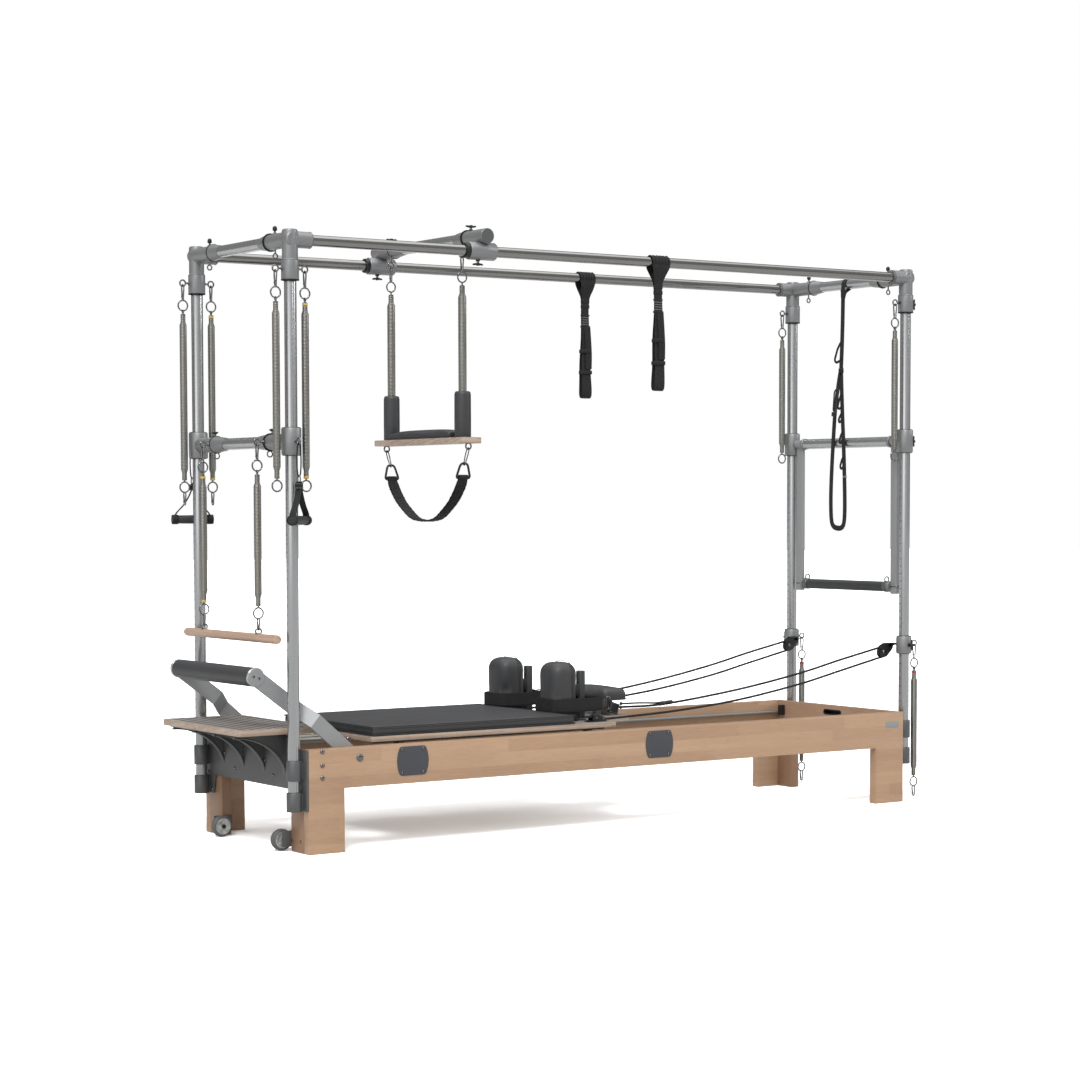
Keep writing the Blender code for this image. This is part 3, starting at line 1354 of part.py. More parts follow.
def make_carriage_springs():
    """Springs side by side from the fixed bar to a bar at the deck's foot end."""
    bar = 0.008
    bar_x = DECK_START - GAP - bar
    fixed_x = FOOT_X + SPRING_BAR_X
    z = CARRIAGE_SPRING_Z
    loop = SPRING_BAR_RADIUS + GAP * 2 + 0.0030
    start, end = fixed_x + loop, bar_x - 0.014
    profile = [
        (0, end),
        (0.006, end),
        (CARRIAGE_SPRING_RADIUS, end - 0.020),
        (CARRIAGE_SPRING_RADIUS, start + 0.020),
        (0.006, start),
        (0, start),
    ]
    first = -(CARRIAGE_SPRINGS - 1) / 2
    shapes = []
    for k in range(CARRIAGE_SPRINGS):
        y = (first + k) * CARRIAGE_SPRING_SPACING
        shapes += [
            turned(profile, (0, y, z), SMALL_SIDES, "X"),
            ring(loop, 0.0023, (fixed_x, y, z)),
            rod(0.003, (end - 0.004, y, z), (bar_x, y, z), STEM_SIDES),
        ]
    reach = -first * CARRIAGE_SPRING_SPACING + 0.040
    shapes.append(rod(bar, (bar_x, -reach, z), (bar_x, reach, z), SMALL_SIDES))
    finish("carriage_springs", joined(shapes), DARK_STEEL)


# Footbar

def footbar_arm():
    """The far arm: flat bar from the pivot, stepped inward between its two folds."""
    pivot = Vector((FOOTBAR_PIVOT_X, FOOTBAR_PIVOT_Z))
    lower, upper = Vector(FOOTBAR_LOWER_FOLD), Vector(FOOTBAR_UPPER_FOLD)
    pad = Vector((FOOTBAR_PAD_X, FOOTBAR_PAD_Z))
    out_y, in_y = FOOTBAR_LOWER_Y + ARM / 2, FOOTBAR_HALF + ARM / 2
    stations = [(pivot, out_y), (lower, out_y), (upper, in_y), (pad, in_y)]
    points = [place for place, _ in stations]
    bm = bmesh.new()
    edges = []
    for k, (place, y) in enumerate(stations):
        before = points[max(k - 1, 0)]
        after = points[min(k + 1, len(points) - 1)]
        along = (after - before).normalized()
        side = Vector((-along.y, along.x)) * ARM_WIDTH / 2
        edges.append(
            [bm.verts.new((FOOT_X + p.x, y, p.y)) for p in (place - side, place + side)]
        )
    for (a, b), (c, d) in zip(edges, edges[1:]):
        bm.faces.new((a, b, d, c))
    shape = mesh_shape(bm)
    thick = shape.modifiers.new("Thickness", "SOLIDIFY")
    thick.thickness = ARM
    thick.offset = 0
    shapes = [baked(shape)]
    for place, y, radius in ((pivot, out_y, ARM_WIDTH / 2), (pad, in_y, FOOTBAR_PAD_RADIUS)):
        x, z = FOOT_X + place.x, place.y
        shapes.append(rod(radius, (x, y - ARM / 2, z), (x, y + ARM / 2, z), WHEEL_SIDES))
    return joined(shapes)


def make_footbar():
    tilt = joint("footbar_tilt", PIVOT)
    far = footbar_arm()
    near = mirrored(far)
    x, z = FOOT_X + FOOTBAR_PAD_X, FOOTBAR_PAD_Z
    tube = 0.016
    reach = FOOTBAR_HALF + ARM / 2
    core = rod(tube, (x, -reach, z), (x, reach, z))
    bores = [
        rod(
            FOOTBAR_PIN_RADIUS + TURN_GAP,
            PIVOT + Vector((0, side * (FOOTBAR_LOWER_Y - 0.01), 0)),
            PIVOT + Vector((0, side * (FOOTBAR_LOWER_Y + ARM + 0.01), 0)),
        )
        for side in (1, -1)
    ]
    finish("footbar_frame", cut(joined([far, near, core]), *bores), STEEL, tilt)
    half = FOOTBAR_HALF - GAP
    pad = rod(FOOTBAR_PAD_RADIUS, (x, -half, z), (x, half, z), WHEEL_SIDES)
    bore = rod(tube + GAP, (x, -half - 0.01, z), (x, half + 0.01, z))
    finish("footbar_pad", cut(pad, bore), BLACK_VINYL, tilt)


# Trapeze

def make_trapeze_slider():
    x, z = SLIDER_CENTRE, SLIDER_CROSS_Z
    start, end = x - SLIDER_LENGTH / 2, x + SLIDER_LENGTH / 2
    shapes, bores = [], []
    for side in (1, -1):
        y = side * POST_Y
        shapes += [
            rod(SLIDER_RADIUS, (start, y, CROSS_Z), (end, y, CROSS_Z)),
            rod(SLIDER_RADIUS - 0.004, (start - SLIDER_LIP, y, CROSS_Z), (start + 0.001, y, CROSS_Z)),
            *wing_knob((x - 0.013, y, CROSS_Z - SLIDER_RADIUS), (0, 0, -1), (1, 0, 0)),
        ]
        knob = (x + 0.006, side * (SLIDER_STUB_INNER + 0.020), z + CASTING_RADIUS)
        shapes += wing_knob(knob, (0, 0, 1), (1, 0, 0))
        eye_at = TRAPEZE_PIVOT + Vector((0, side * TRAPEZE_EYE_Y, 0))
        stem = Vector((eye_at.x, eye_at.y, z - CROSS_RADIUS))
        shapes += eye(eye_at, stem)
        bores.append(
            rod(
                TOP_RAIL_RADIUS + GAP,
                (start - SLIDER_LIP - 0.01, y, CROSS_Z),
                (end + 0.01, y, CROSS_Z),
            )
        )
    shapes.append(cross_member(x + 0.006, z, SLIDER_STUB_OUTER, SLIDER_STUB_INNER, SLIDER_CUP))
    slide = joint("trapeze_slide", (x, 0, CROSS_Z))
    finish("trapeze_slider", cut(joined(shapes), *bores), STEEL, slide)
    return slide


def make_trapeze(slide):
    swing = joint("trapeze_swing", TRAPEZE_PIVOT, slide)
    x = TRAPEZE_PIVOT.x
    corners = [(-PLANK_HALF, x - PLANK_WIDTH / 2), (PLANK_HALF, x - PLANK_WIDTH / 2)]
    corners += [(PLANK_HALF, x + PLANK_WIDTH / 2), (-PLANK_HALF, x + PLANK_WIDTH / 2)]
    flat = [(b, a) for a, b in reversed(corners)]
    shapes = [plate([outline(flat, 0.010, 3)], PLANK, "XY", PLANK_Z)]
    bottom = PLANK_Z - PLANK / 2
    for side in (1, -1):
        eye_at = (x, side * UNDER_EYE_Y, bottom - 0.010)
        shapes += eye(eye_at, (x, side * UNDER_EYE_Y, bottom + 0.004))
    sleeve_bottom = PLANK_Z + PLANK / 2 + GAP
    finish("trapeze_plank", joined(shapes), PLYWOOD, swing)
    pad = cushion(
        (x - PLANK_WIDTH / 2, x + PLANK_WIDTH / 2),
        (-TRAPEZE_PAD_HALF + TRAPEZE_SLEEVE_RADIUS + 0.002, TRAPEZE_PAD_HALF - TRAPEZE_SLEEVE_RADIUS - 0.002),
        (sleeve_bottom, sleeve_bottom + TRAPEZE_PAD_RISE - 0.004),
        0.004,
        0.016,
    )
    finish("trapeze_pad", pad, BLACK_VINYL, swing)
    for name, side in (("near", -1), ("far", 1)):
        y = side * TRAPEZE_EYE_Y
        ring_z = TRAPEZE_EYE_Z - CLIP_DROP
        neck = ring_z - RING_TO_NECK
        top = neck - NECK_LENGTH
        sleeve_top = sleeve_bottom + TRAPEZE_SLEEVE
        profile = [
            (0, neck),
            (NECK_RADIUS, neck),
            (SPRING_RADIUS + 0.002, top),
            (SPRING_RADIUS + 0.002, sleeve_top + 0.016),
            (TRAPEZE_SLEEVE_RADIUS - 0.006, sleeve_top),
            (TRAPEZE_SLEEVE_RADIUS, sleeve_top - 0.008),
            (TRAPEZE_SLEEVE_RADIUS, sleeve_bottom),
            (0, sleeve_bottom),
        ]
        shapes = [
            turned(profile, (x, y, 0), 14),
            snap_hook(x, y, hook_top(TRAPEZE_EYE_Z), ring_z + RING_RADIUS - RING_WIRE / 2),
            ring(RING_RADIUS, RING_WIRE, (x, y, ring_z)),
            rod(0.003, (x, y, ring_z - RING_RADIUS), (x, y, neck - 0.003), 6),
        ]
        finish(f"trapeze_spring_{name}", joined(shapes), STEEL, swing)
    make_sling(x, bottom, swing)


def make_sling(x, plank_bottom, swing):
    """Webbing seat hung in a V from two ring and hook pairs."""
    top = Vector((x, SLING_TOP_Y, SLING_TOP))
    half = [
        (Vector((x, SLING_TOP_Y - 0.006, SLING_TOP - 0.004)), SLING_WIDTH * 0.8),
    ]
    half += [(Vector((x, y, SLING_BOTTOM + rise)), SLING_WIDTH) for y, rise in SLING_FOLDS]
    bend = [(Vector((x, 0, SLING_BOTTOM)), SLING_WIDTH)]
    other = [(Vector((p.x, -p.y, p.z)), w) for p, w in reversed(half)]
    shapes = [band(half + bend + other, (1, 0, 0), 0.005)]
    eye_z = plank_bottom - 0.010
    for side in (1, -1):
        y = side * SLING_TOP_Y
        hang = hook_top(eye_z)
        top_at = Vector((x, side * UNDER_EYE_Y, hang))
        low = Vector((x, y, top.z + 0.030))
        link = [
            top_at + Vector((0, side * CLIP_HALF_WIDTH, -0.010)),
            top_at + Vector((0, side * CLIP_HALF_WIDTH / 2, -0.002)),
            top_at,
            top_at + Vector((0, -side * CLIP_HALF_WIDTH / 2, -0.002)),
            top_at + Vector((0, -side * CLIP_HALF_WIDTH, -0.010)),
            low + Vector((0, -side * CLIP_HALF_WIDTH, 0.006)),
            low + Vector((0, -side * CLIP_HALF_WIDTH / 2, 0)),
            low + Vector((0, side * CLIP_HALF_WIDTH / 2, 0)),
            low + Vector((0, side * CLIP_HALF_WIDTH, 0.006)),
        ]
        shapes.append(wire(link, RING_WIRE, closed=True))
        triangle = [
            (x, y, top.z + 0.031),
            (x - SLING_WIDTH * 0.45, y - side * 0.006, top.z - 0.004),
            (x + SLING_WIDTH * 0.45, y - side * 0.006, top.z - 0.004),
        ]
        shapes.append(wire(triangle, TRI_RING_WIRE, closed=True, resolution=1))
    finish("trapeze_sling", joined(shapes), BLACK_FABRIC, swing)


# Straps that hang from the tower

def make_loop_straps():
    """A long loop of webbing gathered over the rail, pinched below it and hanging flat."""
    step = 30
    wrap = (TOP_RAIL_RADIUS + GAP) / math.cos(math.radians(step / 2)) + WEBBING / 2
    for name, side, x in (("near", -1, LOOP_NEAR_X), ("far", 1, LOOP_FAR_X)):
        y, cx = side * POST_Y, FOOT_X + x
        right = [
            (0.0035, LOOP_BOTTOM + 0.004, LOOP_FOOT),
            (0.0110, LOOP_BOTTOM + 0.030, LOOP_FOOT),
            (0.0080, (LOOP_BOTTOM + LOOP_STEM_Z) / 2, (LOOP_FOOT + LOOP_STEM) / 2),
            (0.0035, LOOP_STEM_Z, LOOP_STEM),
            (wrap * 0.75, CROSS_Z - 0.035, LOOP_GATHER * 0.75),
        ]
        over = [
            (wrap * math.cos(math.radians(a)), CROSS_Z + wrap * math.sin(math.radians(a)), LOOP_GATHER)
            for a in range(-step // 2, 90, step)
        ]
        path = right + over
        stations = [((cx, y + dy, z), w) for dy, z, w in path]
        stations += [((cx, y - dy, z), w) for dy, z, w in reversed(path)]
        loop = band(stations, (1, 0, 0), WEBBING, closed=True)
        finish(f"loop_strap_{name}", loop, BLACK_FABRIC)


def make_long_strap():
    """A strap round the cross tube, ending in a long open loop with short ones beside it."""
    tube_x = HEAD_POST_X
    step = 36
    wrap = (CROSS_RADIUS + GAP) / math.cos(math.radians(step / 2)) + WEBBING / 2
    drop_x = tube_x - CROSS_RADIUS - 0.004
    around = [
        (tube_x + wrap * math.cos(math.radians(a)), CROSS_Z + wrap * math.sin(math.radians(a)))
        for a in range(-step, 190, step)
    ]
    around += [(drop_x, CROSS_Z - 0.040), (drop_x + 0.003, CROSS_Z - 0.055)]
    stations = [((px, LONG_STRAP_Y, pz), LONG_STRAP) for px, pz in around]
    shapes = [band(stations, (0, 1, 0), WEBBING, closed=True)]
    stem = [
        ((drop_x, LONG_STRAP_Y, CROSS_Z - 0.035), LONG_STRAP),
        ((drop_x, LONG_LOOP_Y, LONG_STRAP_STEM - 0.012), LONG_STRAP),
    ]
    shapes.append(band(stem, (0, 1, 0), WEBBING))
    middle = (LONG_STRAP_STEM + LONG_STRAP_BOTTOM) / 2
    height = (LONG_STRAP_STEM - LONG_STRAP_BOTTOM) / 2
    centre = (LONG_LOOP_Y, middle)
    outer = arc(centre, LONG_STRAP_HALF, -90, 270, 16, height)[:-1]
    strip = LONG_STRAP * 0.7
    inner = arc(centre, LONG_STRAP_HALF - strip, -90, 270, 16, height - strip)[:-1]
    shapes.append(plate([outer, inner], WEBBING * 1.3, "YZ", drop_x))
    for y, drop, radius in SHORT_LOOPS:
        z = CROSS_Z - drop
        loops = [arc((y, z), size, 0, 315, 7) for size in (radius, radius * 0.72)]
        shapes.append(plate(loops, WEBBING * 0.7, "YZ", drop_x))
    finish("long_strap", joined(shapes), BLACK_FABRIC)


clear_scene()
PARTS = collection("pilates reformer with tower")
CUTTERS = collection("construction shapes")
JOINT_AT = {}

WOOD = material("wood", (0.62, 0.43, 0.29), 0.45)
PLYWOOD = material("plywood", (0.66, 0.52, 0.38), 0.5)
DOWEL = material("dowel", (0.72, 0.56, 0.40), 0.4)
STEEL = material("steel", (0.55, 0.55, 0.56), 0.3, 0.9)
DARK_STEEL = material("dark steel", (0.22, 0.22, 0.21), 0.4, 0.8)
BLACK_VINYL = material("black vinyl", (0.035, 0.037, 0.04), 0.5)
BLACK_PLASTIC = material("black plastic", (0.02, 0.02, 0.02), 0.4)
BLACK_FABRIC = material("black webbing", (0.02, 0.02, 0.02), 0.8)

make_side_frames()
make_head_end_board()
make_foot_end_plate()
make_foot_platform()
make_transport_wheels()
make_posts()
header("header_foot", FOOT_POST_X, 1, (-1, 1))
header("header_head", HEAD_POST_X, -1, (-1,))
make_top_rails()
make_hanging_springs()
FOOT_SLIDE = make_foot_crossbar()
make_roll_bar(FOOT_SLIDE)
make_handles(FOOT_SLIDE)
HEAD_SLIDE = make_head_crossbar()
make_push_bar(HEAD_SLIDE)
make_pulleys()
make_ropes()
make_carriage()
make_carriage_springs()
make_footbar()
TRAPEZE_SLIDE = make_trapeze_slider()
make_trapeze(TRAPEZE_SLIDE)
make_loop_straps()
make_long_strap()
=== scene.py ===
import math

import bmesh
import bpy
import numpy as np
from mathutils import Matrix, Vector


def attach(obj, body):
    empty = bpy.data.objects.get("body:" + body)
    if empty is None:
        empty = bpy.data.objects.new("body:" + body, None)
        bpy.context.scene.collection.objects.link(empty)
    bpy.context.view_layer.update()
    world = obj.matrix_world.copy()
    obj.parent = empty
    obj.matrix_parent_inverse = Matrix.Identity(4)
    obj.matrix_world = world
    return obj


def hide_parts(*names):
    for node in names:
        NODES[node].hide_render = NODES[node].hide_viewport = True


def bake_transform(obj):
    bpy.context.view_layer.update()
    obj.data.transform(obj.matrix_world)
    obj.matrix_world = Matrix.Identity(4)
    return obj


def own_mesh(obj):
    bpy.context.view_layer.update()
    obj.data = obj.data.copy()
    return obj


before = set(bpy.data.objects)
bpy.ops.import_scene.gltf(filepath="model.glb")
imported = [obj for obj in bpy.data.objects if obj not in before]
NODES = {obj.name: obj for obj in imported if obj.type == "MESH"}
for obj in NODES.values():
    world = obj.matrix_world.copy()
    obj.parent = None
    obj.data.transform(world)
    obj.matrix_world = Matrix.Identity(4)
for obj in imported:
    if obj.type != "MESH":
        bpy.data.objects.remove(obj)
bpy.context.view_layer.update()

SIDES = (("near", -1), ("far", 1))

# Places in metres, the same as the solids'.
FOOT_X, HEAD_X = -1.29885, 1.40115
FOOT_POST, HEAD_POST = FOOT_X - 0.036, HEAD_X + 0.036
RAIL_OUT, RAIL_IN, RAIL_TOP, RAIL_LOW = 0.388, 0.35, 0.36, 0.221
POST_Y, POST_R = 0.349, 0.021
CROSS_Z, TUBE_R, RAIL_R = 2.083, 0.0205, 0.019
FOOT_BAR_Z, HEAD_BAR_Z = 1.405, 1.437
EYE_R, EYE_WIRE, EYE_X, EYE_Z = 0.011, 0.0035, 0.056, 1.984
DECK_LOW, DECK_TOP = 0.367, 0.385
DECK_START, DECK_END = FOOT_X + 0.28, FOOT_X + 1.33
PULLEY = Vector((HEAD_POST - 0.066, 0.294, 0.596))
PLANK_Z = 1.419
TRAPEZE_X, TRAPEZE_Z = -0.58485, 2.079
HEADREST_X, HINGE_Z = FOOT_X + 1.477 - 0.057, 0.436
SLIDE_GAP = 0.0003
RING_R, RING_WIRE, SPRING_NECK = 0.0185, 0.0028, 0.024
CLOTH_FRAMES = 20


# Shader groups and materials

FLOAT, COLOUR, VECTOR, MATERIAL = (
    "NodeSocketFloat", "NodeSocketColor", "NodeSocketVector", "NodeSocketMaterial")


def node_group(kind, name, inputs, outputs):
    """A node group with its sockets; gives it with its given values and its results."""
    tree = bpy.data.node_groups.new(name, kind)
    for label, socket_type, value in inputs:
        socket = tree.interface.new_socket(label, in_out="INPUT", socket_type=socket_type)
        if value is not None:
            socket.default_value = value
    for label, socket_type in outputs:
        tree.interface.new_socket(label, in_out="OUTPUT", socket_type=socket_type)
    return tree, tree.nodes.new("NodeGroupInput").outputs, tree.nodes.new("NodeGroupOutput").inputs


def surface_group(name, inputs):
    """A shader group from a place on a surface to its colour, roughness and height."""
    return node_group("ShaderNodeTree", name, [("Vector", VECTOR, None), *inputs],
                      [("Colour", COLOUR), ("Roughness", FLOAT), ("Height", FLOAT)])


def add(tree, kind, inputs=None, **settings):
    """A node with its settings, its inputs set to values or linked from sockets."""
    node = tree.nodes.new(kind)
    for key, value in settings.items():
        setattr(node, key, value)
    for key, value in (inputs or {}).items():
        if isinstance(value, bpy.types.NodeSocket):
            tree.links.new(value, node.inputs[key])
        else:
            node.inputs[key].default_value = value
    return node


def maths(tree, operation, a, b=0.0, clamp=False):
    return add(tree, "ShaderNodeMath", {0: a, 1: b}, operation=operation, use_clamp=clamp).outputs[0]


def times(tree, a, b, clamp=False):
    return maths(tree, "MULTIPLY", a, b, clamp)


def plus(tree, a, b, clamp=False):
    return maths(tree, "ADD", a, b, clamp)


def minus(tree, a, b, clamp=False):
    return maths(tree, "SUBTRACT", a, b, clamp)


def spread(tree, value, size, base, clamp=False):
    """A value between 0 and 1 stretched to a size above a base."""
    return plus(tree, times(tree, value, size), base, clamp)


def swing(tree, value, size):
    """A value between 0 and 1 turned to one about zero, as wide as the size."""
    return times(tree, minus(tree, value, 0.5), size)


def noise(tree, place, scale, detail, **more):
    values = {"Vector": place, "Scale": scale, "Detail": detail, **more}
    return add(tree, "ShaderNodeTexNoise", values).outputs[0]


def mix_colour(tree, share, a, b, blend="MIX"):
    values = {"Factor": share, 6: a, 7: b}
    return add(tree, "ShaderNodeMix", values, data_type="RGBA", blend_type=blend).outputs[2]


def shaded(tree, tint, level):
    """The tint made lighter or darker by an even grey."""
    grey = add(tree, "ShaderNodeCombineColor", {0: level, 1: level, 2: level})
    return mix_colour(tree, 1.0, tint, grey.outputs[0], "MULTIPLY")


def gives(tree, out, colour, roughness, height):
    for label, value in (("Colour", colour), ("Roughness", roughness), ("Height", height)):
        tree.links.new(value, out[label])
    return tree


def grain_group():
    """Board grain along X: pores, growth bands and a change of tone from strip to strip."""
    tree, given, out = surface_group("wood grain", [
        ("Light", COLOUR, (0.6, 0.4, 0.25, 1)), ("Dark", COLOUR, (0.4, 0.25, 0.15, 1)),
        ("Strip", FLOAT, 0.046), ("Strength", FLOAT, 1.0)])
    place = given["Vector"]
    stretch = add(tree, "ShaderNodeMapping", {"Vector": place, "Scale": (5.0, 90.0, 90.0)})
    pores = noise(tree, stretch.outputs[0], 5.0, 6.0, Roughness=0.65)
    broad = add(tree, "ShaderNodeMapping", {"Vector": place, "Scale": (0.7, 9.0, 9.0)})
    bands = noise(tree, broad.outputs[0], 3.2, 4.0, Distortion=0.6)
    x, y, z = add(tree, "ShaderNodeSeparateXYZ", {0: place}).outputs
    strip = maths(tree, "DIVIDE", plus(tree, z, times(tree, y, 0.2)), given["Strip"])
    strip = maths(tree, "FLOOR", strip)
    slip = add(tree, "ShaderNodeTexWhiteNoise", {"W": strip}, noise_dimensions="1D")
    length = plus(tree, times(tree, x, 1.9), times(tree, slip.outputs[0], 9.0))
    block = plus(tree, times(tree, maths(tree, "FLOOR", length), 7.3), strip)
    tone = add(tree, "ShaderNodeTexWhiteNoise", {"W": block}, noise_dimensions="1D")
    share = times(tree, minus(tree, pores, 0.42), 1.1, True)
    share = plus(tree, share, times(tree, bands, 0.55))
    share = plus(tree, share, swing(tree, tone.outputs[0], 0.45))
    share = times(tree, share, given["Strength"], True)
    colour = mix_colour(tree, share, given["Light"], given["Dark"])
    return gives(tree, out, colour, spread(tree, pores, 0.22, 0.33), pores)


def brushed_group():
    """Fine lines and faint patches on metal: changes of tone and of gloss."""
    tree, given, out = surface_group("brushed metal", [
        ("Tint", COLOUR, (0.5, 0.5, 0.5, 1)), ("Gloss", FLOAT, 0.3), ("Patch", FLOAT, 0.12),
        ("Patch size", FLOAT, 7.0)])
    fine = noise(tree, given["Vector"], 260.0, 3.0)
    patch = noise(tree, given["Vector"], given["Patch size"], 5.0)
    colour = shaded(tree, given["Tint"], plus(tree, 1.0, swing(tree, patch, given["Patch"])))
    rough = plus(tree, given["Gloss"], swing(tree, fine, 0.03))
    rough = plus(tree, rough, swing(tree, patch, 0.06), True)
    return gives(tree, out, colour, rough, fine)


def leather_group():
    """Fine pebble grain with creases on upholstery vinyl."""
    tree, given, out = surface_group("vinyl grain", [
        ("Tint", COLOUR, (0.05, 0.05, 0.05, 1)), ("Size", FLOAT, 900.0)])
    cells = add(tree, "ShaderNodeTexVoronoi", {"Vector": given["Vector"], "Scale": given["Size"]})
    folds = noise(tree, given["Vector"], 14.0, 5.0)
    # The colour darkens where the folds sink into creases: painted crease shade.
    colour = shaded(tree, given["Tint"], spread(tree, folds, 0.28, 0.86))
    height = plus(tree, times(tree, cells.outputs[0], 0.5), times(tree, folds, 0.8))
    return gives(tree, out, colour, spread(tree, folds, 0.18, 0.4), height)


def weave_group():
    """A twill of crossing yarns, from a flat position in metres."""
    tree, given, out = surface_group("webbing weave", [
        ("Tint", COLOUR, (0.02, 0.02, 0.02, 1)), ("Yarn", FLOAT, 0.0016)])
    x, y, _ = add(tree, "ShaderNodeSeparateXYZ", {0: given["Vector"]}).outputs
    rate = maths(tree, "DIVIDE", 6.2832, given["Yarn"])
    across = maths(tree, "SINE", times(tree, plus(tree, x, y), rate))
    along = maths(tree, "SINE", times(tree, minus(tree, x, y), rate))
    yarn = spread(tree, times(tree, across, along), 0.5, 0.5)
    fuzz = noise(tree, given["Vector"], 120.0, 4.0)
    # The colour is lighter on the yarns' crests and darker in the hollows between them: painted highlight and
    # shade; the fuzz adds a random tone.
    level = plus(tree, spread(tree, yarn, 0.6, 0.55), times(tree, fuzz, 0.35))
    colour = shaded(tree, given["Tint"], level)
    return gives(tree, out, colour, spread(tree, fuzz, 0.2, 0.66), yarn)


GRAIN, BRUSHED, LEATHER, WEAVE = grain_group(), brushed_group(), leather_group(), weave_group()


def finish_of(name, group, values, bump, metallic=0.0, turn=(0, 0, 0), source="Object", **plain):
    """A material: one group's colour, roughness and height on a Principled shader."""
    made = bpy.data.materials.new(name)
    made.use_nodes = True
    tree = made.node_tree
    shader = tree.nodes["Principled BSDF"]
    coords = add(tree, "ShaderNodeTexCoord")
    place = add(tree, "ShaderNodeMapping", {"Vector": coords.outputs[source], "Rotation": turn})
    looks = tree.nodes.new("ShaderNodeGroup")
    looks.node_tree = group
    tree.links.new(place.outputs[0], looks.inputs["Vector"])
    for key, value in values.items():
        looks.inputs[key].default_value = value
    tree.links.new(looks.outputs["Colour"], shader.inputs["Base Color"])
    tree.links.new(looks.outputs["Roughness"], shader.inputs["Roughness"])
    relief = add(tree, "ShaderNodeBump", {"Strength": bump, "Distance": 0.0004,
        "Height": looks.outputs["Height"]})
    tree.links.new(relief.outputs[0], shader.inputs["Normal"])
    shader.inputs["Metallic"].default_value = metallic
    for key, value in plain.items():
        shader.inputs[key.replace("_", " ")].default_value = value
    return made


def wood(name, light, dark, turn=(0, 0, 0), strip=0.046, **more):
    return finish_of(name, GRAIN, {"Light": (*light, 1), "Dark": (*dark, 1), "Strip": strip, **more}, 0.25,
        0.0, turn, Coat_Weight=0.12)


def metal(name, tint, gloss, metallic=1.0, patch=0.12, bump=0.02, patch_size=7.0):
    values = {"Tint": (*tint, 1), "Gloss": gloss, "Patch": patch, "Patch size": patch_size}
    return finish_of(name, BRUSHED, values, bump, metallic)


def vinyl(name, tint, size=900.0):
    return finish_of(name, LEATHER, {"Tint": (*tint, 1), "Size": size}, 0.35)


def webbing(name, tint, yarn=0.0016):
    return finish_of(name, WEAVE, {"Tint": (*tint, 1), "Yarn": yarn}, 0.8, 0.0, (0, 0, 0), "UV")


UPRIGHT = (0, math.radians(90), 0)
BEECH = wood("beech rail", (0.475, 0.31, 0.195), (0.31, 0.182, 0.108))
BEECH_END = wood("beech end board", (0.4, 0.255, 0.165), (0.26, 0.155, 0.095), (0, 0, math.radians(90)))
BEECH_LEG = wood("beech leg return", (0.3, 0.175, 0.105), (0.2, 0.11, 0.062), UPRIGHT)
PLYWOOD = wood("plywood face", (0.4, 0.365, 0.335), (0.21, 0.185, 0.165))
PLY_EDGE = wood("plywood edge", (0.52, 0.41, 0.32), (0.2, 0.135, 0.1), (0, 0, 0), 0.0022, Strength=1.15)
DOWEL = wood("turned dowel", (0.55, 0.385, 0.28), (0.33, 0.205, 0.14), (0, 0, math.radians(90)))
POST_METAL = metal("post aluminium", (0.42, 0.425, 0.43), 0.26, 0.9, 0.06, 0.0)
CASTING = metal("cast fitting", (0.235, 0.238, 0.242), 0.42, 0.5, 0.2, 0.2)
CASTING_DARK = metal("dark cast fitting", (0.115, 0.117, 0.12), 0.45, 0.45, 0.2, 0.2)
RAIL_METAL = metal("polished rail", (0.255, 0.252, 0.245), 0.15, 1.0)
ARM_METAL = metal("arm aluminium", (0.3, 0.308, 0.312), 0.5, 0.35)
CHROME = metal("chrome ring", (0.19, 0.19, 0.19), 0.16, 1.0, 0.06)
SPRING_METAL = metal("spring wire", (0.25, 0.243, 0.22), 0.35, 1.0, 0.03, 0.0)
PLATE_METAL = metal("dark coated plate", (0.105, 0.107, 0.106), 0.48, 0.35, 0.3, 0.25)
BADGE_METAL = metal("bare badge plate", (0.072, 0.076, 0.086), 0.5, 0.4, 0.2, 0.2)
BLACK_METAL = metal("black fitting", (0.012, 0.012, 0.013), 0.36, 0.2, 0.3)
VINYL = vinyl("black upholstery", (0.036, 0.037, 0.039))
VINYL_SIDE = vinyl("black upholstery border", (0.016, 0.016, 0.018))
FOAM = vinyl("foam grip", (0.028, 0.03, 0.032), 1500.0)
RUBBER = vinyl("moulded rubber", (0.012, 0.012, 0.013), 2200.0)
GREY_WHEEL = vinyl("grey wheel", (0.105, 0.108, 0.105), 2600.0)
WHEEL_FACE = metal("mottled wheel face", (0.5, 0.51, 0.49), 0.34, 0.5, 1.9, 0.6, 60.0)
STRIP = vinyl("grip strip", (0.06, 0.055, 0.052), 3000.0)
WEBBING = webbing("black webbing", (0.0055, 0.0055, 0.0062))
WEBBING_FINE = webbing("fine black webbing", (0.0042, 0.0042, 0.0048), 0.0011)
STITCH = webbing("pale stitches", (0.2, 0.2, 0.2), 0.0008)
ROPE = webbing("braided rope", (0.004, 0.004, 0.005), 0.0022)
YELLOW = vinyl("yellow cap", (0.6, 0.4, 0.06), 1800.0)
RED = vinyl("red cap", (0.42, 0.03, 0.03), 1800.0)
# Painted shade: a near-black finish for the floors of holes and drive recesses and inside the hand slot,
# standing for the shade in them.
HOLE_SHADE = vinyl("painted hole shade", (0.008, 0.008, 0.008), 1500.0)


# Shapes: each is a list of points and a list of faces, and cloth has its own flat map.

def basis(axis):
    along = Vector(axis).normalized()
    side = along.orthogonal().normalized() if abs(along.z) < 0.99 else Vector((1, 0, 0))
    side = (side - along * side.dot(along)).normalized()
    return along, side, along.cross(side)


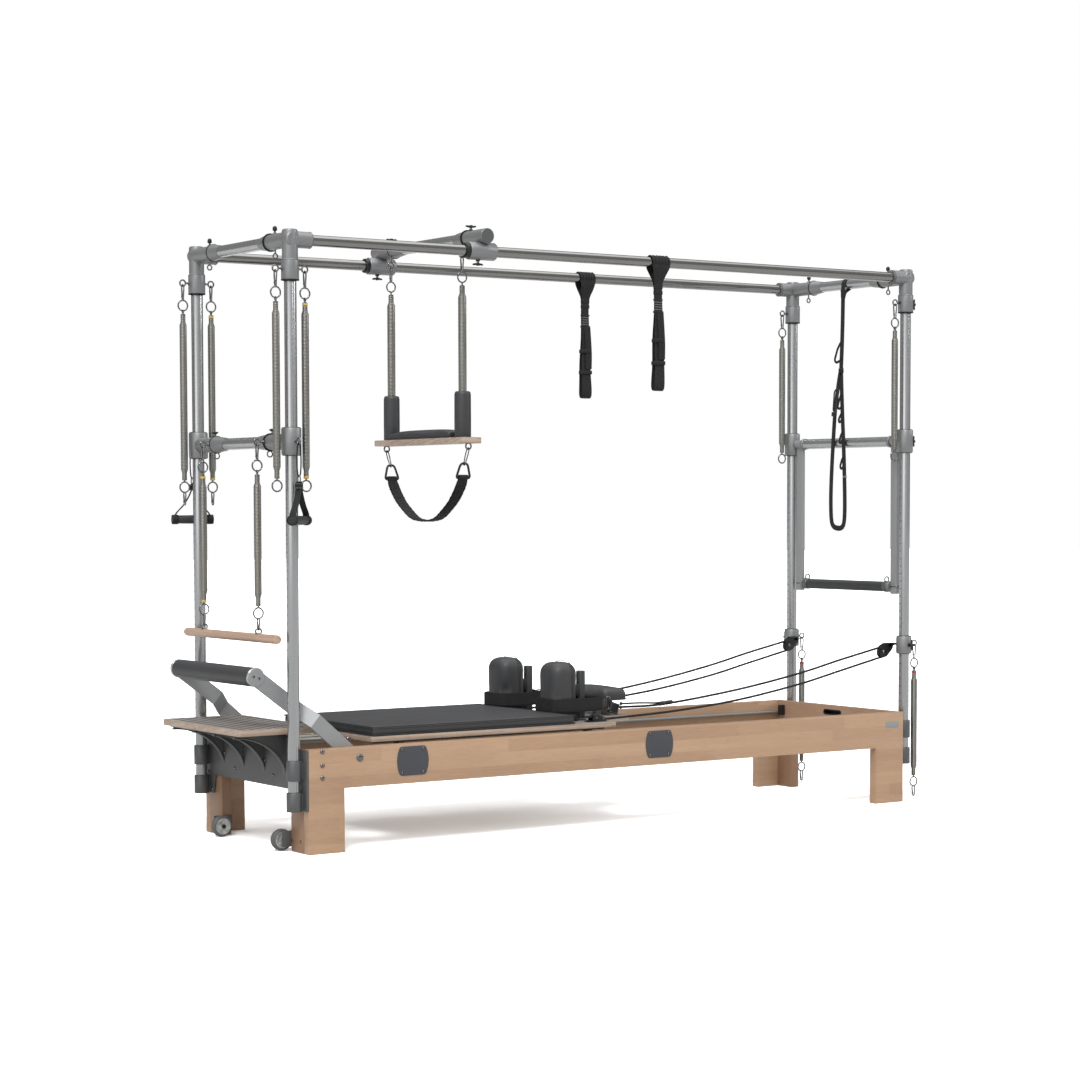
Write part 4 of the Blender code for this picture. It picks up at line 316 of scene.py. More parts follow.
def lathe(profile, at=(0, 0, 0), axis=(0, 0, 1), steps=40):
    """A turned shape from (radius, height) pairs along an axis, from its foot up."""
    along, u, v = basis(axis)
    at = Vector(at)
    points, faces, rings = [], [], []
    for radius, height in profile:
        base = at + along * height
        if radius < 1e-7:
            rings.append([len(points)] * steps)
            points.append(tuple(base))
            continue
        rings.append(list(range(len(points), len(points) + steps)))
        for k in range(steps):
            turn = math.tau * k / steps
            points.append(tuple(base + (u * math.cos(turn) + v * math.sin(turn)) * radius))
    for low, high in zip(rings, rings[1:]):
        for k in range(steps):
            face = [low[k], low[(k + 1) % steps], high[(k + 1) % steps], high[k]]
            kept = [p for i, p in enumerate(face) if p not in face[:i]]
            if len(kept) > 2:
                faces.append(tuple(kept))
    return points, faces, None


def bar(radius, start, end, edge=0.001, steps=40, bore=0.0):
    """A round bar, or a tube with a bore, with softened ends."""
    start, end = Vector(start), Vector(end)
    length = (end - start).length
    outside = [(radius - edge, 0), (radius, edge), (radius, length - edge), (radius - edge, length)]
    if bore:
        profile = [(bore, 0)] + outside + [(bore, length), (bore, 0)]
    else:
        profile = [(0, 0)] + outside + [(0, length)]
    return lathe(profile, start, end - start, steps)


def tube(path, radius, sides=10, closed=False):
    """Round wire along a path; radius is one value or one a point."""
    path = [Vector(p) for p in path]
    count = len(path)
    radii = [radius] * count if isinstance(radius, (int, float)) else radius
    if closed:
        ahead = [(path[(i + 1) % count] - path[i - 1]).normalized() for i in range(count)]
    else:
        ahead = [(path[min(i + 1, count - 1)] - path[max(i - 1, 0)]).normalized() for i in range(count)]
    side = ahead[0].orthogonal().normalized()
    points, faces, flat = [], [], []
    travelled = [0.0]
    for a, b in zip(path, path[1:]):
        travelled.append(travelled[-1] + (b - a).length)
    for place, way, size in zip(path, ahead, radii):
        side = (side - way * side.dot(way)).normalized()
        up = way.cross(side)
        for k in range(sides):
            turn = math.tau * k / sides
            points.append(tuple(place + (side * math.cos(turn) + up * math.sin(turn)) * size))
    last = count if closed else count - 1
    around = math.tau * max(radii)
    shift = 0
    if closed:
        first, end = Vector(points[0]), [Vector(p) for p in points[-sides:]]
        shift = min(range(sides), key=lambda k: (end[k] - first).length)
    for i in range(last):
        nxt = (i + 1) % count
        turn = shift if closed and nxt == 0 else 0
        for k in range(sides):
            a, b = i * sides + (k + turn) % sides, i * sides + (k + 1 + turn) % sides
            c, d = nxt * sides + (k + 1) % sides, nxt * sides + k
            faces.append((a, b, c, d))
            low, high = travelled[i], travelled[i] + (path[nxt] - path[i]).length
            u0, u1 = around * k / sides, around * (k + 1) / sides
            flat.append([(u0, low), (u1, low), (u1, high), (u0, high)])
    if not closed:
        faces.append(tuple(reversed(range(sides))))
        faces.append(tuple(range((count - 1) * sides, count * sides)))
        flat += [[(0, 0)] * sides] * 2
    return points, faces, flat


def hoop(radius, wire, centre, normal="Y", steps=32, sides=10, height=None):
    """A ring of wire, round or oval, in a plane across the named axis."""
    height = height or radius
    centre = Vector(centre)
    u, v = {"X": ((0, 1, 0), (0, 0, 1)), "Y": ((1, 0, 0), (0, 0, 1)), "Z": ((1, 0, 0), (0, 1, 0))}[normal]
    path = [
        centre + Vector(u) * radius * math.cos(math.tau * k / steps) + Vector(v) * height * math.sin(math.tau * k / steps)
        for k in range(steps)
    ]
    return tube(path, wire, sides, True)


def from_bmesh(bm):
    bm.verts.index_update()
    shape = ([tuple(v.co) for v in bm.verts], [tuple(v.index for v in f.verts) for f in bm.faces], None)
    bm.free()
    return shape


def brick(x, y, z, edge=0.0015, segments=2):
    """A block with rounded edges between two places on each axis."""
    ranges = [sorted(pair) for pair in (x, y, z)]
    bm = bmesh.new()
    bmesh.ops.create_cube(bm, size=1)
    size = Matrix.Diagonal([b - a for a, b in ranges] + [1])
    bm.transform(Matrix.Translation([(a + b) / 2 for a, b in ranges]) @ size)
    if edge:
        bmesh.ops.bevel(bm, geom=bm.edges[:], offset=edge, segments=segments, affect="EDGES", profile=0.5)
    return from_bmesh(bm)


def centred(at, half, edge=0.0015, segments=2):
    """A block with rounded edges about a place, from its half sizes."""
    return brick(*((place - size, place + size) for place, size in zip(at, half)), edge, segments)


def slab(corners, low, high, plane="XY", edge=0.0015):
    """An outline given thickness, with a rounded rim on both faces."""
    low, high = sorted((low, high))
    area = sum(a[0] * b[1] - b[0] * a[1] for a, b in zip(corners, corners[1:] + corners[:1]))
    corners = corners if area > 0 else corners[::-1]
    bm = bmesh.new()
    bottom = bm.faces.new([bm.verts.new((a, b, low)) for a, b in corners])
    grown = bmesh.ops.extrude_face_region(bm, geom=[bottom])
    bmesh.ops.translate(bm, vec=(0, 0, high - low), verts=[g for g in grown["geom"]
        if isinstance(g, bmesh.types.BMVert)])
    bmesh.ops.recalc_face_normals(bm, faces=bm.faces)
    if edge:
        rim = [e for e in bm.edges if abs(e.verts[0].co.z - e.verts[1].co.z) < 1e-7]
        bmesh.ops.bevel(bm, geom=rim, offset=edge, segments=2, affect="EDGES", profile=0.5)
    turn = {"XY": Matrix.Identity(4), "XZ": Matrix(((1, 0, 0, 0), (0, 0, 1, 0), (0, 1, 0, 0), (0, 0, 0, 1))),
            "YZ": Matrix(((0, 0, 1, 0), (1, 0, 0, 0), (0, 1, 0, 0), (0, 0, 0, 1)))}[plane]
    bm.transform(turn)
    if plane == "XZ":
        bmesh.ops.reverse_faces(bm, faces=bm.faces)
    return from_bmesh(bm)


def rounded(corners, radius, steps=5):
    points = []
    for i, corner in enumerate(corners):
        here = Vector(corner)
        before, after = Vector(corners[i - 1]) - here, Vector(corners[(i + 1) % len(corners)]) - here
        reach = min(radius, before.length * 0.49, after.length * 0.49)
        first, last = here + before.normalized() * reach, here + after.normalized() * reach
        for k in range(steps + 1):
            t = k / steps
            points.append(tuple(first * (1 - t) ** 2 + here * 2 * t * (1 - t) + last * t * t))
    return points


def oblong(a0, a1, b0, b1, radius, steps=5):
    """A rectangle's outline with rounded corners."""
    return rounded([(a0, b0), (a1, b0), (a1, b1), (a0, b1)], radius, steps)


def both_ends(half, middle=()):
    """A turned profile from its lower half, what lies between, and the same half upside down."""
    return half + list(middle) + [(radius, -height) for radius, height in reversed(half)]


def sleeve(bore, radius, low, high, inset=0.002, rise=0.003):
    """The closed profile of a ring that slides on a tube, with softened rims."""
    bore += SLIDE_GAP
    return [(bore, low), (radius - inset, low), (radius, low + rise), (radius, high - rise),
            (radius - inset, high), (bore, high), (bore, low)]


def ribbon(stations, across, thickness, closed=False, cross=6):
    """Webbing through (point, width) stations, with rounded selvedges and a flat map in metres."""
    places = [Vector(p) for p, _ in stations]
    widths = [w for _, w in stations]
    count = len(places)
    flatways = Vector(across).normalized()
    points, faces, flat = [], [], []
    travelled = [0.0]
    for a, b in zip(places, places[1:] + places[:1]):
        travelled.append(travelled[-1] + (b - a).length)
    ring = []
    for k in range(cross + 1):
        t = -1 + 2 * k / cross
        ring.append((t * 0.5, 0.5 * (1 - 0.7 * abs(t) ** 8)))
    ring += [(t, -h) for t, h in reversed(ring)]
    for i, (place, width) in enumerate(zip(places, widths)):
        if closed:
            way = (places[(i + 1) % count] - places[i - 1]).normalized()
        else:
            way = (places[min(i + 1, count - 1)] - places[max(i - 1, 0)]).normalized()
        out = way.cross(flatways).normalized()
        for t, h in ring:
            points.append(tuple(place + flatways * t * width + out * h * thickness))
    size = len(ring)
    for i in range(count if closed else count - 1):
        j = (i + 1) % count
        for k in range(size):
            m = (k + 1) % size
            faces.append((i * size + k, i * size + m, j * size + m, j * size + k))
            u0, u1 = ring[k][0] * widths[i], ring[m][0] * widths[i]
            flat.append([(u0, travelled[i]), (u1, travelled[i]), (u1, travelled[i + 1]),
                (u0, travelled[i + 1])])
    if not closed:
        faces.append(tuple(reversed(range(size))))
        faces.append(tuple(range((count - 1) * size, count * size)))
        flat += [[(0, 0)] * size] * 2
    return points, faces, flat


def smooth_path(points, step, closed=False):
    """Even points on a Catmull-Rom curve."""
    points = [Vector(p) for p in points]
    if closed:
        padded = [points[-1], *points, points[0], points[1]]
    else:
        padded = [points[0] * 2 - points[1], *points, points[-1] * 2 - points[-2]]
    fine = []
    for a, b, c, d in zip(padded, padded[1:], padded[2:], padded[3:]):
        for k in range(20):
            t = k / 20
            fine.append(0.5 * (2 * b + (c - a) * t + (2 * a - 5 * b + 4 * c - d) * t * t + (3 * b - a - 3 * c + d) * t ** 3))
    if not closed:
        fine.append(points[-1])
    kept = [fine[0]]
    for point in fine[1:]:
        if (point - kept[-1]).length >= step:
            kept.append(point)
    if not closed and (kept[-1] - fine[-1]).length > step * 0.3:
        kept.append(fine[-1])
    return kept


def arc(centre, radius, start, end, steps, height=None):
    height = height or radius
    turns = [math.radians(start + (end - start) * k / steps) for k in range(steps + 1)]
    return [(centre[0] + radius * math.cos(a), centre[1] + height * math.sin(a)) for a in turns]


def moved(shape, matrix):
    points, faces, flat = shape
    return [tuple(matrix @ Vector(p)) for p in points], faces, flat


# Pieces

def piece(name, body, shapes, replaces=(), angle=38):
    """One object from (shape, material) pairs; it rides on a body and may stand for nodes."""
    points, faces, flat, marks, looks = [], [], [], [], []
    for (verts, polygons, uv), look in shapes:
        base = len(points)
        points += verts
        faces += [tuple(base + i for i in polygon) for polygon in polygons]
        flat += uv if uv else [[(0, 0)] * len(polygon) for polygon in polygons]
        if look not in looks:
            looks.append(look)
        marks += [looks.index(look)] * len(polygons)
    mesh = bpy.data.meshes.new(name)
    mesh.from_pydata(points, [], faces)
    layer = mesh.uv_layers.new(name="UVMap")
    layer.data.foreach_set("uv", [value for polygon in flat for pair in polygon for value in pair])
    for look in looks:
        mesh.materials.append(look)
    mesh.polygons.foreach_set("material_index", marks)
    bm = bmesh.new()
    bm.from_mesh(mesh)
    bmesh.ops.recalc_face_normals(bm, faces=bm.faces)
    bm.to_mesh(mesh)
    bm.free()
    mesh.shade_smooth()
    mesh.set_sharp_from_angle(angle=math.radians(angle))
    mesh.validate()
    made = bpy.data.objects.new(name, mesh)
    bpy.context.scene.collection.objects.link(made)
    if replaces:
        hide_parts(*replaces)
    if body:
        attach(made, body)
    return made


# Repeats made by geometry nodes

def shape_tree(name, inputs):
    return node_group("GeometryNodeTree", name, inputs, [("Geometry", "NodeSocketGeometry")])


def made_real(tree, out, shape, look):
    """The end of a shape's tree: real geometry that wears its finish."""
    real = add(tree, "GeometryNodeRealizeInstances", {"Geometry": shape.outputs[0]})
    final = add(tree, "GeometryNodeSetMaterial", {"Geometry": real.outputs[0], "Material": look})
    tree.links.new(final.outputs[0], out[0])
    return tree


def winding_tree():
    """A close winding of wire along Z, drawn in towards both ends."""
    tree, given, out = shape_tree("close winding", [
        ("Turns", FLOAT, 100.0), ("Radius", FLOAT, 0.013), ("End share", FLOAT, 0.6), ("Height", FLOAT, 0.5),
        ("Taper", FLOAT, 0.012), ("Neck", FLOAT, 0.02), ("Wire", FLOAT, 0.0012), ("Finish", MATERIAL, None)])
    spiral = add(tree, "GeometryNodeCurveSpiral", {
        "Resolution": 14, "Rotations": given["Turns"], "Start Radius": given["Radius"],
        "End Radius": given["Radius"], "Height": given["Height"]})
    place = add(tree, "GeometryNodeInputPosition")
    x, y, z = add(tree, "ShaderNodeSeparateXYZ", {0: place.outputs[0]}).outputs
    nearest = maths(tree, "MINIMUM", z, minus(tree, given["Height"], z))
    past_neck = minus(tree, nearest, given["Neck"])
    share = maths(tree, "DIVIDE", past_neck, given["Taper"], True)
    scale = plus(tree, given["End share"], times(tree, share, minus(tree, 1.0, given["End share"])))
    drawn = add(tree, "ShaderNodeCombineXYZ", {0: times(tree, x, scale), 1: times(tree, y, scale), 2: z})
    shaped = add(tree, "GeometryNodeSetPosition", {"Geometry": spiral.outputs[0],
        "Position": drawn.outputs[0]})
    round_wire = add(tree, "GeometryNodeCurvePrimitiveCircle", {"Resolution": 6, "Radius": given["Wire"]})
    body = add(tree, "GeometryNodeCurveToMesh", {
        "Curve": shaped.outputs[0], "Profile Curve": round_wire.outputs[0], "Fill Caps": True})
    return made_real(tree, out, body, given["Finish"])


def row_tree():
    """Small turned studs, or dark discs of painted shade on the floors of holes, evenly spaced along a line.
    """
    tree, given, out = shape_tree("even row", [
        ("Start", VECTOR, None), ("End", VECTOR, None), ("Count", "NodeSocketInt", 10),
        ("Radius", FLOAT, 0.003),
        ("Depth", FLOAT, 0.001), ("Turn", VECTOR, None), ("Finish", MATERIAL, None)])
    line = add(tree, "GeometryNodeMeshLine", {"Count": given["Count"], "Start Location": given["Start"]},
               mode="END_POINTS", count_mode="TOTAL")
    tree.links.new(given["End"], line.inputs["Offset"])
    stud = add(tree, "GeometryNodeMeshCylinder", {
        "Vertices": 12, "Radius": given["Radius"], "Depth": given["Depth"]})
    turned = add(tree, "GeometryNodeTransform", {"Geometry": stud.outputs[0], "Rotation": given["Turn"]})
    copies = add(tree, "GeometryNodeInstanceOnPoints", {"Points": line.outputs[0],
        "Instance": turned.outputs[0]})
    return made_real(tree, out, copies, given["Finish"])


WINDING, ROW = winding_tree(), row_tree()


def mesh_object(points=(), faces=()):
    mesh = bpy.data.meshes.new("shape")
    mesh.from_pydata(points, [], faces)
    made = bpy.data.objects.new("shape", mesh)
    bpy.context.scene.collection.objects.link(made)
    return made


def taken(holder):
    """A holder's evaluated mesh as a shape; the holder goes."""
    bpy.context.view_layer.update()
    graph = bpy.context.evaluated_depsgraph_get()
    mesh = bpy.data.meshes.new_from_object(holder.evaluated_get(graph))
    points = np.empty(len(mesh.vertices) * 3)
    mesh.vertices.foreach_get("co", points)
    faces = [tuple(polygon.vertices) for polygon in mesh.polygons]
    bpy.data.objects.remove(holder)
    bpy.data.meshes.remove(mesh)
    return [tuple(p) for p in points.reshape(-1, 3).tolist()], faces, None


def made_by(tree, values):
    """The plain points and faces that a tree gives with these values."""
    holder = mesh_object()
    change = holder.modifiers.new("Shape", "NODES")
    change.node_group = tree
    for item in tree.interface.items_tree:
        if item.in_out == "INPUT" and item.name in values:
            change[item.identifier] = values[item.name]
    return taken(holder)


def winding(bottom, top, radius, wire=0.0012, end_share=0.66, taper=0.012, at=(0, 0)):
    """A winding between two heights over a place, with its core of the same wire metal."""
    coil = made_by(WINDING, {
        "Turns": (top - bottom) / (wire * 2.06), "Radius": radius - wire, "End share": end_share,
        "Height": top - bottom, "Taper": taper, "Neck": SPRING_NECK, "Wire": wire, "Finish": SPRING_METAL})
    coil = moved(coil, Matrix.Translation((at[0], at[1], bottom)))
    thin, inner = radius * end_share - wire * 0.3, radius - wire * 0.3
    low, high = bottom + SPRING_NECK, top - SPRING_NECK
    profile = [(0, bottom), (thin, bottom), (thin, low), (inner, low + taper), (inner, high - taper),
               (thin, high), (thin, top), (0, top)]
    return [(coil, SPRING_METAL), (lathe(profile, (*at, 0), steps=18), SPRING_METAL)]


# Fittings

def eye(centre, stem_from, normal="Y"):
    """A ring on a stem that comes out of a hexagonal foot."""
    centre, stem_from = Vector(centre), Vector(stem_from)
    reach = centre - stem_from
    way = (stem_from - centre).normalized()
    foot = bar(EYE_WIRE * 1.9, stem_from + reach * 0.05, stem_from - way * 0.002 + reach * 0.16, 0.0006, 6)
    return [(hoop(EYE_R, EYE_WIRE * 0.86, centre, normal), CHROME),
            (bar(EYE_WIRE, stem_from, centre + way * EYE_R, 0.0004, 12), CHROME), (foot, CHROME)]


def snap_hook(x, y, top, bottom):
    """A long snap hook: a bowed body, a gate and its pin."""
    length, half, wire = top - bottom, 0.0085, 0.0026
    bow = ((0.0, 0.0), (0.04, 0.5), (0.12, 0.9), (0.3, 1.0), (0.55, 0.78), (0.75, 0.62), (0.9, 0.62),
           (0.97, 0.42), (1.0, 0.0))
    outline = [(w * half, top - t * length) for t, w in bow]
    outline += [(-w, z) for w, z in reversed(outline[1:-1])]
    body = tube(smooth_path([(x, y + a, z) for a, z in outline], 0.0022, True), wire, 8, True)
    gate = bar(wire * 1.12, (x, y + half * 0.95, top - length * 0.26),
    (x, y + half * 0.66, top - length * 0.72),
               0.0003, 10)
    pin_y, pin_z = y + half * 0.66, top - length * 0.74
    pin = bar(wire * 0.9, (x - 0.0036, pin_y, pin_z), (x + 0.0036, pin_y, pin_z), 0.0003, 10)
    return [(body, CHROME), (gate, CHROME), (pin, CHROME)]


def clamp_knob(root, direction, across):
    """A wing screw: a collar, a threaded stem, and two flared wings."""
    root, direction, across = Vector(root), Vector(direction), Vector(across)
    parts = [
        (bar(0.0075, root - direction * 0.003, root + direction * 0.005, 0.0008, 20), BLACK_METAL),
        (bar(0.0042, root, root + direction * 0.014, 0.0004, 14), CHROME),
        (bar(0.0066, root + direction * 0.01, root + direction * 0.02, 0.0012, 20), BLACK_METAL),
    ]
    for side in (-1, 1):
        inner = root + direction * 0.014 + across * 0.004 * side
        outer = root + direction * 0.0165 + across * 0.021 * side
        parts.append((tube([inner, inner.lerp(outer, 0.5), outer], [0.003, 0.004, 0.0026], 12), BLACK_METAL))
    return parts


def round_knob(root):
    """A domed clamp knob on top of a casting."""
    profile = [(0, -0.005), (0.0032, -0.005), (0.0032, 0.01), (0.0066, 0.011), (0.008, 0.013),
        (0.0076, 0.021), (0.0058, 0.025), (0.0032, 0.0268), (0, 0.0272)]
    return [(lathe(profile, root, (0, 0, 1), 28), BLACK_METAL),
        (bar(0.0075, Vector(root) - Vector((0, 0, 0.002)), Vector(root) + Vector((0, 0, 0.004)), 0.0006, 24),
            CASTING)]


def lip(radius, at, axis, width, look=BLACK_METAL):
    """A dark bush that shows at the mouth of a collar."""
    at, axis = Vector(at), Vector(axis)
    return (bar(radius, at - axis * width / 2, at + axis * width / 2, 0.0008, 40), look)


def dome(at, normal, radius, height):
    """A low cap nut."""
    profile = [(0, -0.0008), (radius, -0.0008), (radius, 0.0006)]
    for a in range(15, 90, 15):
        profile.append((radius * math.cos(math.radians(a)), 0.0006 + height * math.sin(math.radians(a))))
    profile.append((0, height + 0.0006))
    return (lathe(profile, at, normal, 24), CHROME)


def socket_screw(at, normal, radius):
    """A low round screw head with its drive recess, whose floor is a dark disc of painted shade."""
    at, normal = Vector(at), Vector(normal)
    head = [(0, -0.0006), (radius, -0.0006), (radius, radius * 0.35), (radius * 0.8, radius * 0.6),
            (radius * 0.42, radius * 0.66), (radius * 0.38, radius * 0.3), (0, radius * 0.3)]
    recess = bar(radius * 0.39, at + normal * radius * 0.3, at + normal * radius * 0.36, 0.0001, 6)
    return [(lathe(head, at, normal, 20), CHROME), (recess, HOLE_SHADE)]


# Wooden frame

def side_frames():
    leg_foot, leg_head = FOOT_X + 0.14, HEAD_X - 0.143
    outline = [(FOOT_X, 0), (leg_foot, 0), (leg_foot, RAIL_LOW), (leg_head, RAIL_LOW), (leg_head, 0),
        (HEAD_X, 0), (HEAD_X, RAIL_TOP), (FOOT_X, RAIL_TOP)]
    end = HEAD_X - 0.0383
    for name, side in SIDES:
        out = Vector((0, side, 0))
        board = slab(outline, side * RAIL_IN, side * RAIL_OUT, "XZ", 0.0022)
        returns = [brick(x, (side * 0.259, side * 0.3495), (0, RAIL_LOW), 0.0022)
            for x in ((FOOT_X, FOOT_X + 0.038), (HEAD_X - 0.038, HEAD_X))]
        shapes = [(board, BEECH), (returns[0], BEECH_LEG), (returns[1], BEECH_LEG)]
        piece(f"side_frame_{name}_wood", "frame", shapes, [f"side_frame_{name}"])
        wall = brick((FOOT_X + 0.27, end), (side * 0.346, side * 0.3499), (0.314, 0.3205), 0.0006)
        ledge = brick((FOOT_X + 0.27, end), (side * 0.31, side * 0.3495), (0.314, 0.318), 0.0006)
        bead = bar(0.0022, (FOOT_X + 0.272, side * 0.312, 0.3192), (end - 0.002, side * 0.312, 0.3192),
            0.0003, 12)
        piece(f"track_{name}", "frame", [(wall, CASTING), (ledge, CASTING), (bead, ARM_METAL)], ())
        pivot = Vector((FOOT_X + 0.2, 0, 0.323))
        hardware = [
            dome(pivot + out * RAIL_OUT, out, 0.0135, 0.006),
            (bar(0.008, pivot + out * 0.33, pivot + out * 0.355, 0.0004, 24), CHROME),
            (lathe([(0, 0), (0.0125, 0), (0.0135, 0.0015), (0.0125, 0.0055), (0, 0.006)],
                pivot + out * 0.3307, -out, 24), CHROME),
        ]
        for z in (0.352, 0.304, 0.261):
            hardware.append(dome((FOOT_X + 0.0525, side * RAIL_OUT, z), out, 0.0085, 0.0045))
        for y in (0.272, 0.329):
            hardware.append(dome((FOOT_X, side * y, 0.04), (-1, 0, 0), 0.006, 0.003))
        inner = side * 0.259
        hardware.append((brick((FOOT_X - 0.034, FOOT_X + 0.038), (inner, inner - side * 0.005),
            (0.0165, 0.0725), 0.0012), CASTING_DARK))
        hardware.append((bar(0.005, (FOOT_X - 0.02, inner - side * 0.002, 0.0385),
            (FOOT_X - 0.02, inner - side * 0.0525, 0.0385), 0.0006, 20), CHROME))
        hardware.append((lathe([(0, 0), (0.0085, 0), (0.0085, 0.0045), (0.006, 0.006), (0, 0.006)],
            (FOOT_X - 0.02, inner - side * 0.0495, 0.0385), -out, 6), BLACK_METAL))
        piece(f"side_bolts_{name}", "frame", hardware, ())
        plates = []
        for x0, x1, z0, z1 in ((0.348, 0.477, 0.249, 0.351), (1.421, 1.549, 0.248, 0.349)):
            plates += badge(FOOT_X + x0, FOOT_X + x1, z0, z1, side)
        small = oblong(FOOT_X + 2.608, FOOT_X + 2.675, 0.3, 0.325, 0.006)
        plates.append((slab(small, side * RAIL_OUT, side * (RAIL_OUT + 0.0015), "XZ", 0.0004), ARM_METAL))
        piece(f"bare_plates_{name}", "frame", plates, ())


def badge(x0, x1, z0, z1, side):
    """A bare plate whose sides bow outwards, held by four screws in its corners."""
    middle_x, middle_z = (x0 + x1) / 2, (z0 + z1) / 2
    half_x, half_z = (x1 - x0) / 2, (z1 - z0) / 2
    right = [(0.66, 1.0), (0.8, 0.97), (0.87, 0.8), (0.95, 0.5), (1.0, 0.0)]
    right += [(u, -w) for u, w in reversed(right[:-1])]
    outline = right + [(-u, -w) for u, w in right]
    corners = rounded([(middle_x + u * half_x, middle_z + w * half_z) for u, w in outline], 0.007, 4)
    shapes = [(slab(corners, side * RAIL_OUT, side * (RAIL_OUT + 0.0024), "XZ", 0.0008), BADGE_METAL)]
    for u in (-1, 1):
        for w in (-1, 1):
            at = (middle_x + u * half_x * 0.66, side * (RAIL_OUT + 0.0022), middle_z + w * half_z * 0.8)
            shapes += socket_screw(at, (0, side, 0), 0.0055)
    return shapes


def end_board():
    """The board takes its wood; a moulded liner fills the rim of its hand slot, and a dark plate inside the
    slot is painted shade.
    """
    board = NODES["head_end_board"].data.materials
    board.clear()
    board.append(BEECH_END)
    middle = 0.333
    outer, inner = (arc((0.0445, middle), radius, -90, 90, 12) + arc((-0.0445, middle), radius, 90, 270, 12)
                    for radius in (0.0115, 0.0075))
    x0, x1 = HEAD_X - 0.0386, HEAD_X + 0.0006
    points = [(x, a, b) for x, loop in ((x0, outer), (x0, inner), (x1, inner), (x1, outer)) for a, b in loop]
    count = len(outer)
    faces = []
    for band in range(4):
        for k in range(count):
            m = (k + 1) % count
            nxt = (band + 1) % 4
            faces.append((band * count + k, band * count + m, nxt * count + m, nxt * count + k))
    shapes = [((points, faces, None), RUBBER)]
    # A dark plate inside the hand slot: painted shade that closes the view through it.
    shapes.append((slab(inner, HEAD_X - 0.012, HEAD_X - 0.008, "YZ", 0.0), HOLE_SHADE))
    for side in (1, -1):
        x = HEAD_X - 0.038
        shapes.append((brick((x - 0.034, x - 0.0003), (side * 0.302, side * 0.3095), (0.302, 0.345), 0.002),
            BLACK_METAL))
    piece("end_board_fittings", "frame", shapes, ())


# Foot end

def foot_end():
    face = FOOT_X - 0.0003
    back = face - 0.008
    top, low, wing = 0.4077, 0.2157, 0.1487
    half = 0.3
    right = [(half * 0.99, low), (half + 0.01, wing), (RAIL_OUT, wing), (RAIL_OUT, 0.358),
        (half + 0.01, 0.358), (half, top)]
    outline = rounded(right + [(-y, z) for y, z in reversed(right)], 0.005, 3)
    shapes = [(slab(outline, back, face, "YZ", 0.0012), PLATE_METAL)]
    tip = back - 0.195
    base = RAIL_LOW + 0.018
    for k in range(4):
        y = (k - 1.5) * 0.155
        curve = arc((tip, base), face - 0.004 - tip, 0, 90, 20, top - 0.01 - base)
        web = slab(curve + [(tip, top), (face - 0.004, top)], y - 0.004, y + 0.004, "XZ", 0.001)
        shapes.append((web, PLATE_METAL))
        rim = [Vector((x, y, z)) for x, z in curve]
        shapes.append((ribbon([(p, 0.022) for p in rim], (0, 1, 0), 0.005), PLATE_METAL))
    shapes.append((brick((tip, back), (-half * 0.86, half * 0.86), (top - 0.004, top), 0.0008), PLATE_METAL))
    for side in (1, -1):
        y = side * POST_Y
        shapes += post_sleeves(FOOT_POST, y, (FOOT_POST + 0.0215, face - 0.004))
        arm_y = side * 0.205
        shapes.append((brick((face - 0.004, FOOT_X + 0.036), (arm_y - 0.005, arm_y + 0.005), (0.354, 0.382),
            0.0015), PLATE_METAL))
    shapes.append((bar(0.01, (FOOT_X + 0.03, -0.209, 0.368), (FOOT_X + 0.03, 0.209, 0.368), 0.001, 28),
        CHROME))
    for y, z in ((0.142, 0.254), (-0.086, 0.301), (-0.221, 0.302), (-0.147, 0.254), (0.343, 0.226),
            (0.316, 0.164), (0.221, 0.302), (-0.316, 0.164)):
        shapes.append(dome((back, y, z), (-1, 0, 0), 0.0062, 0.004))
    piece("foot_end_plate_cast", "frame", shapes, ["foot_end_plate"])
    x0, x1, half = FOOT_X - 0.215, FOOT_X + 0.1, 0.297
    corners = oblong(x0, x1, -half, half, 0.012)
    shapes = [(slab(corners, 0.4082, 0.4294, "XY", 0.0012), PLY_EDGE)]
    inset = oblong(x0 + 0.0016, x1 - 0.0016, -half + 0.0016, half - 0.0016, 0.012)
    shapes.append((slab(inset, 0.428, 0.43, "XY", 0.0003), PLYWOOD))
    for k in range(9):
        x = x0 + 0.022 + k * 0.032
        shapes.append((brick((x, x + 0.011), (-half + 0.012, half - 0.012), (0.4296, 0.4308), 0.0004, 1),
            STRIP))
    piece("foot_platform_board", "frame", shapes, ["foot_platform"])


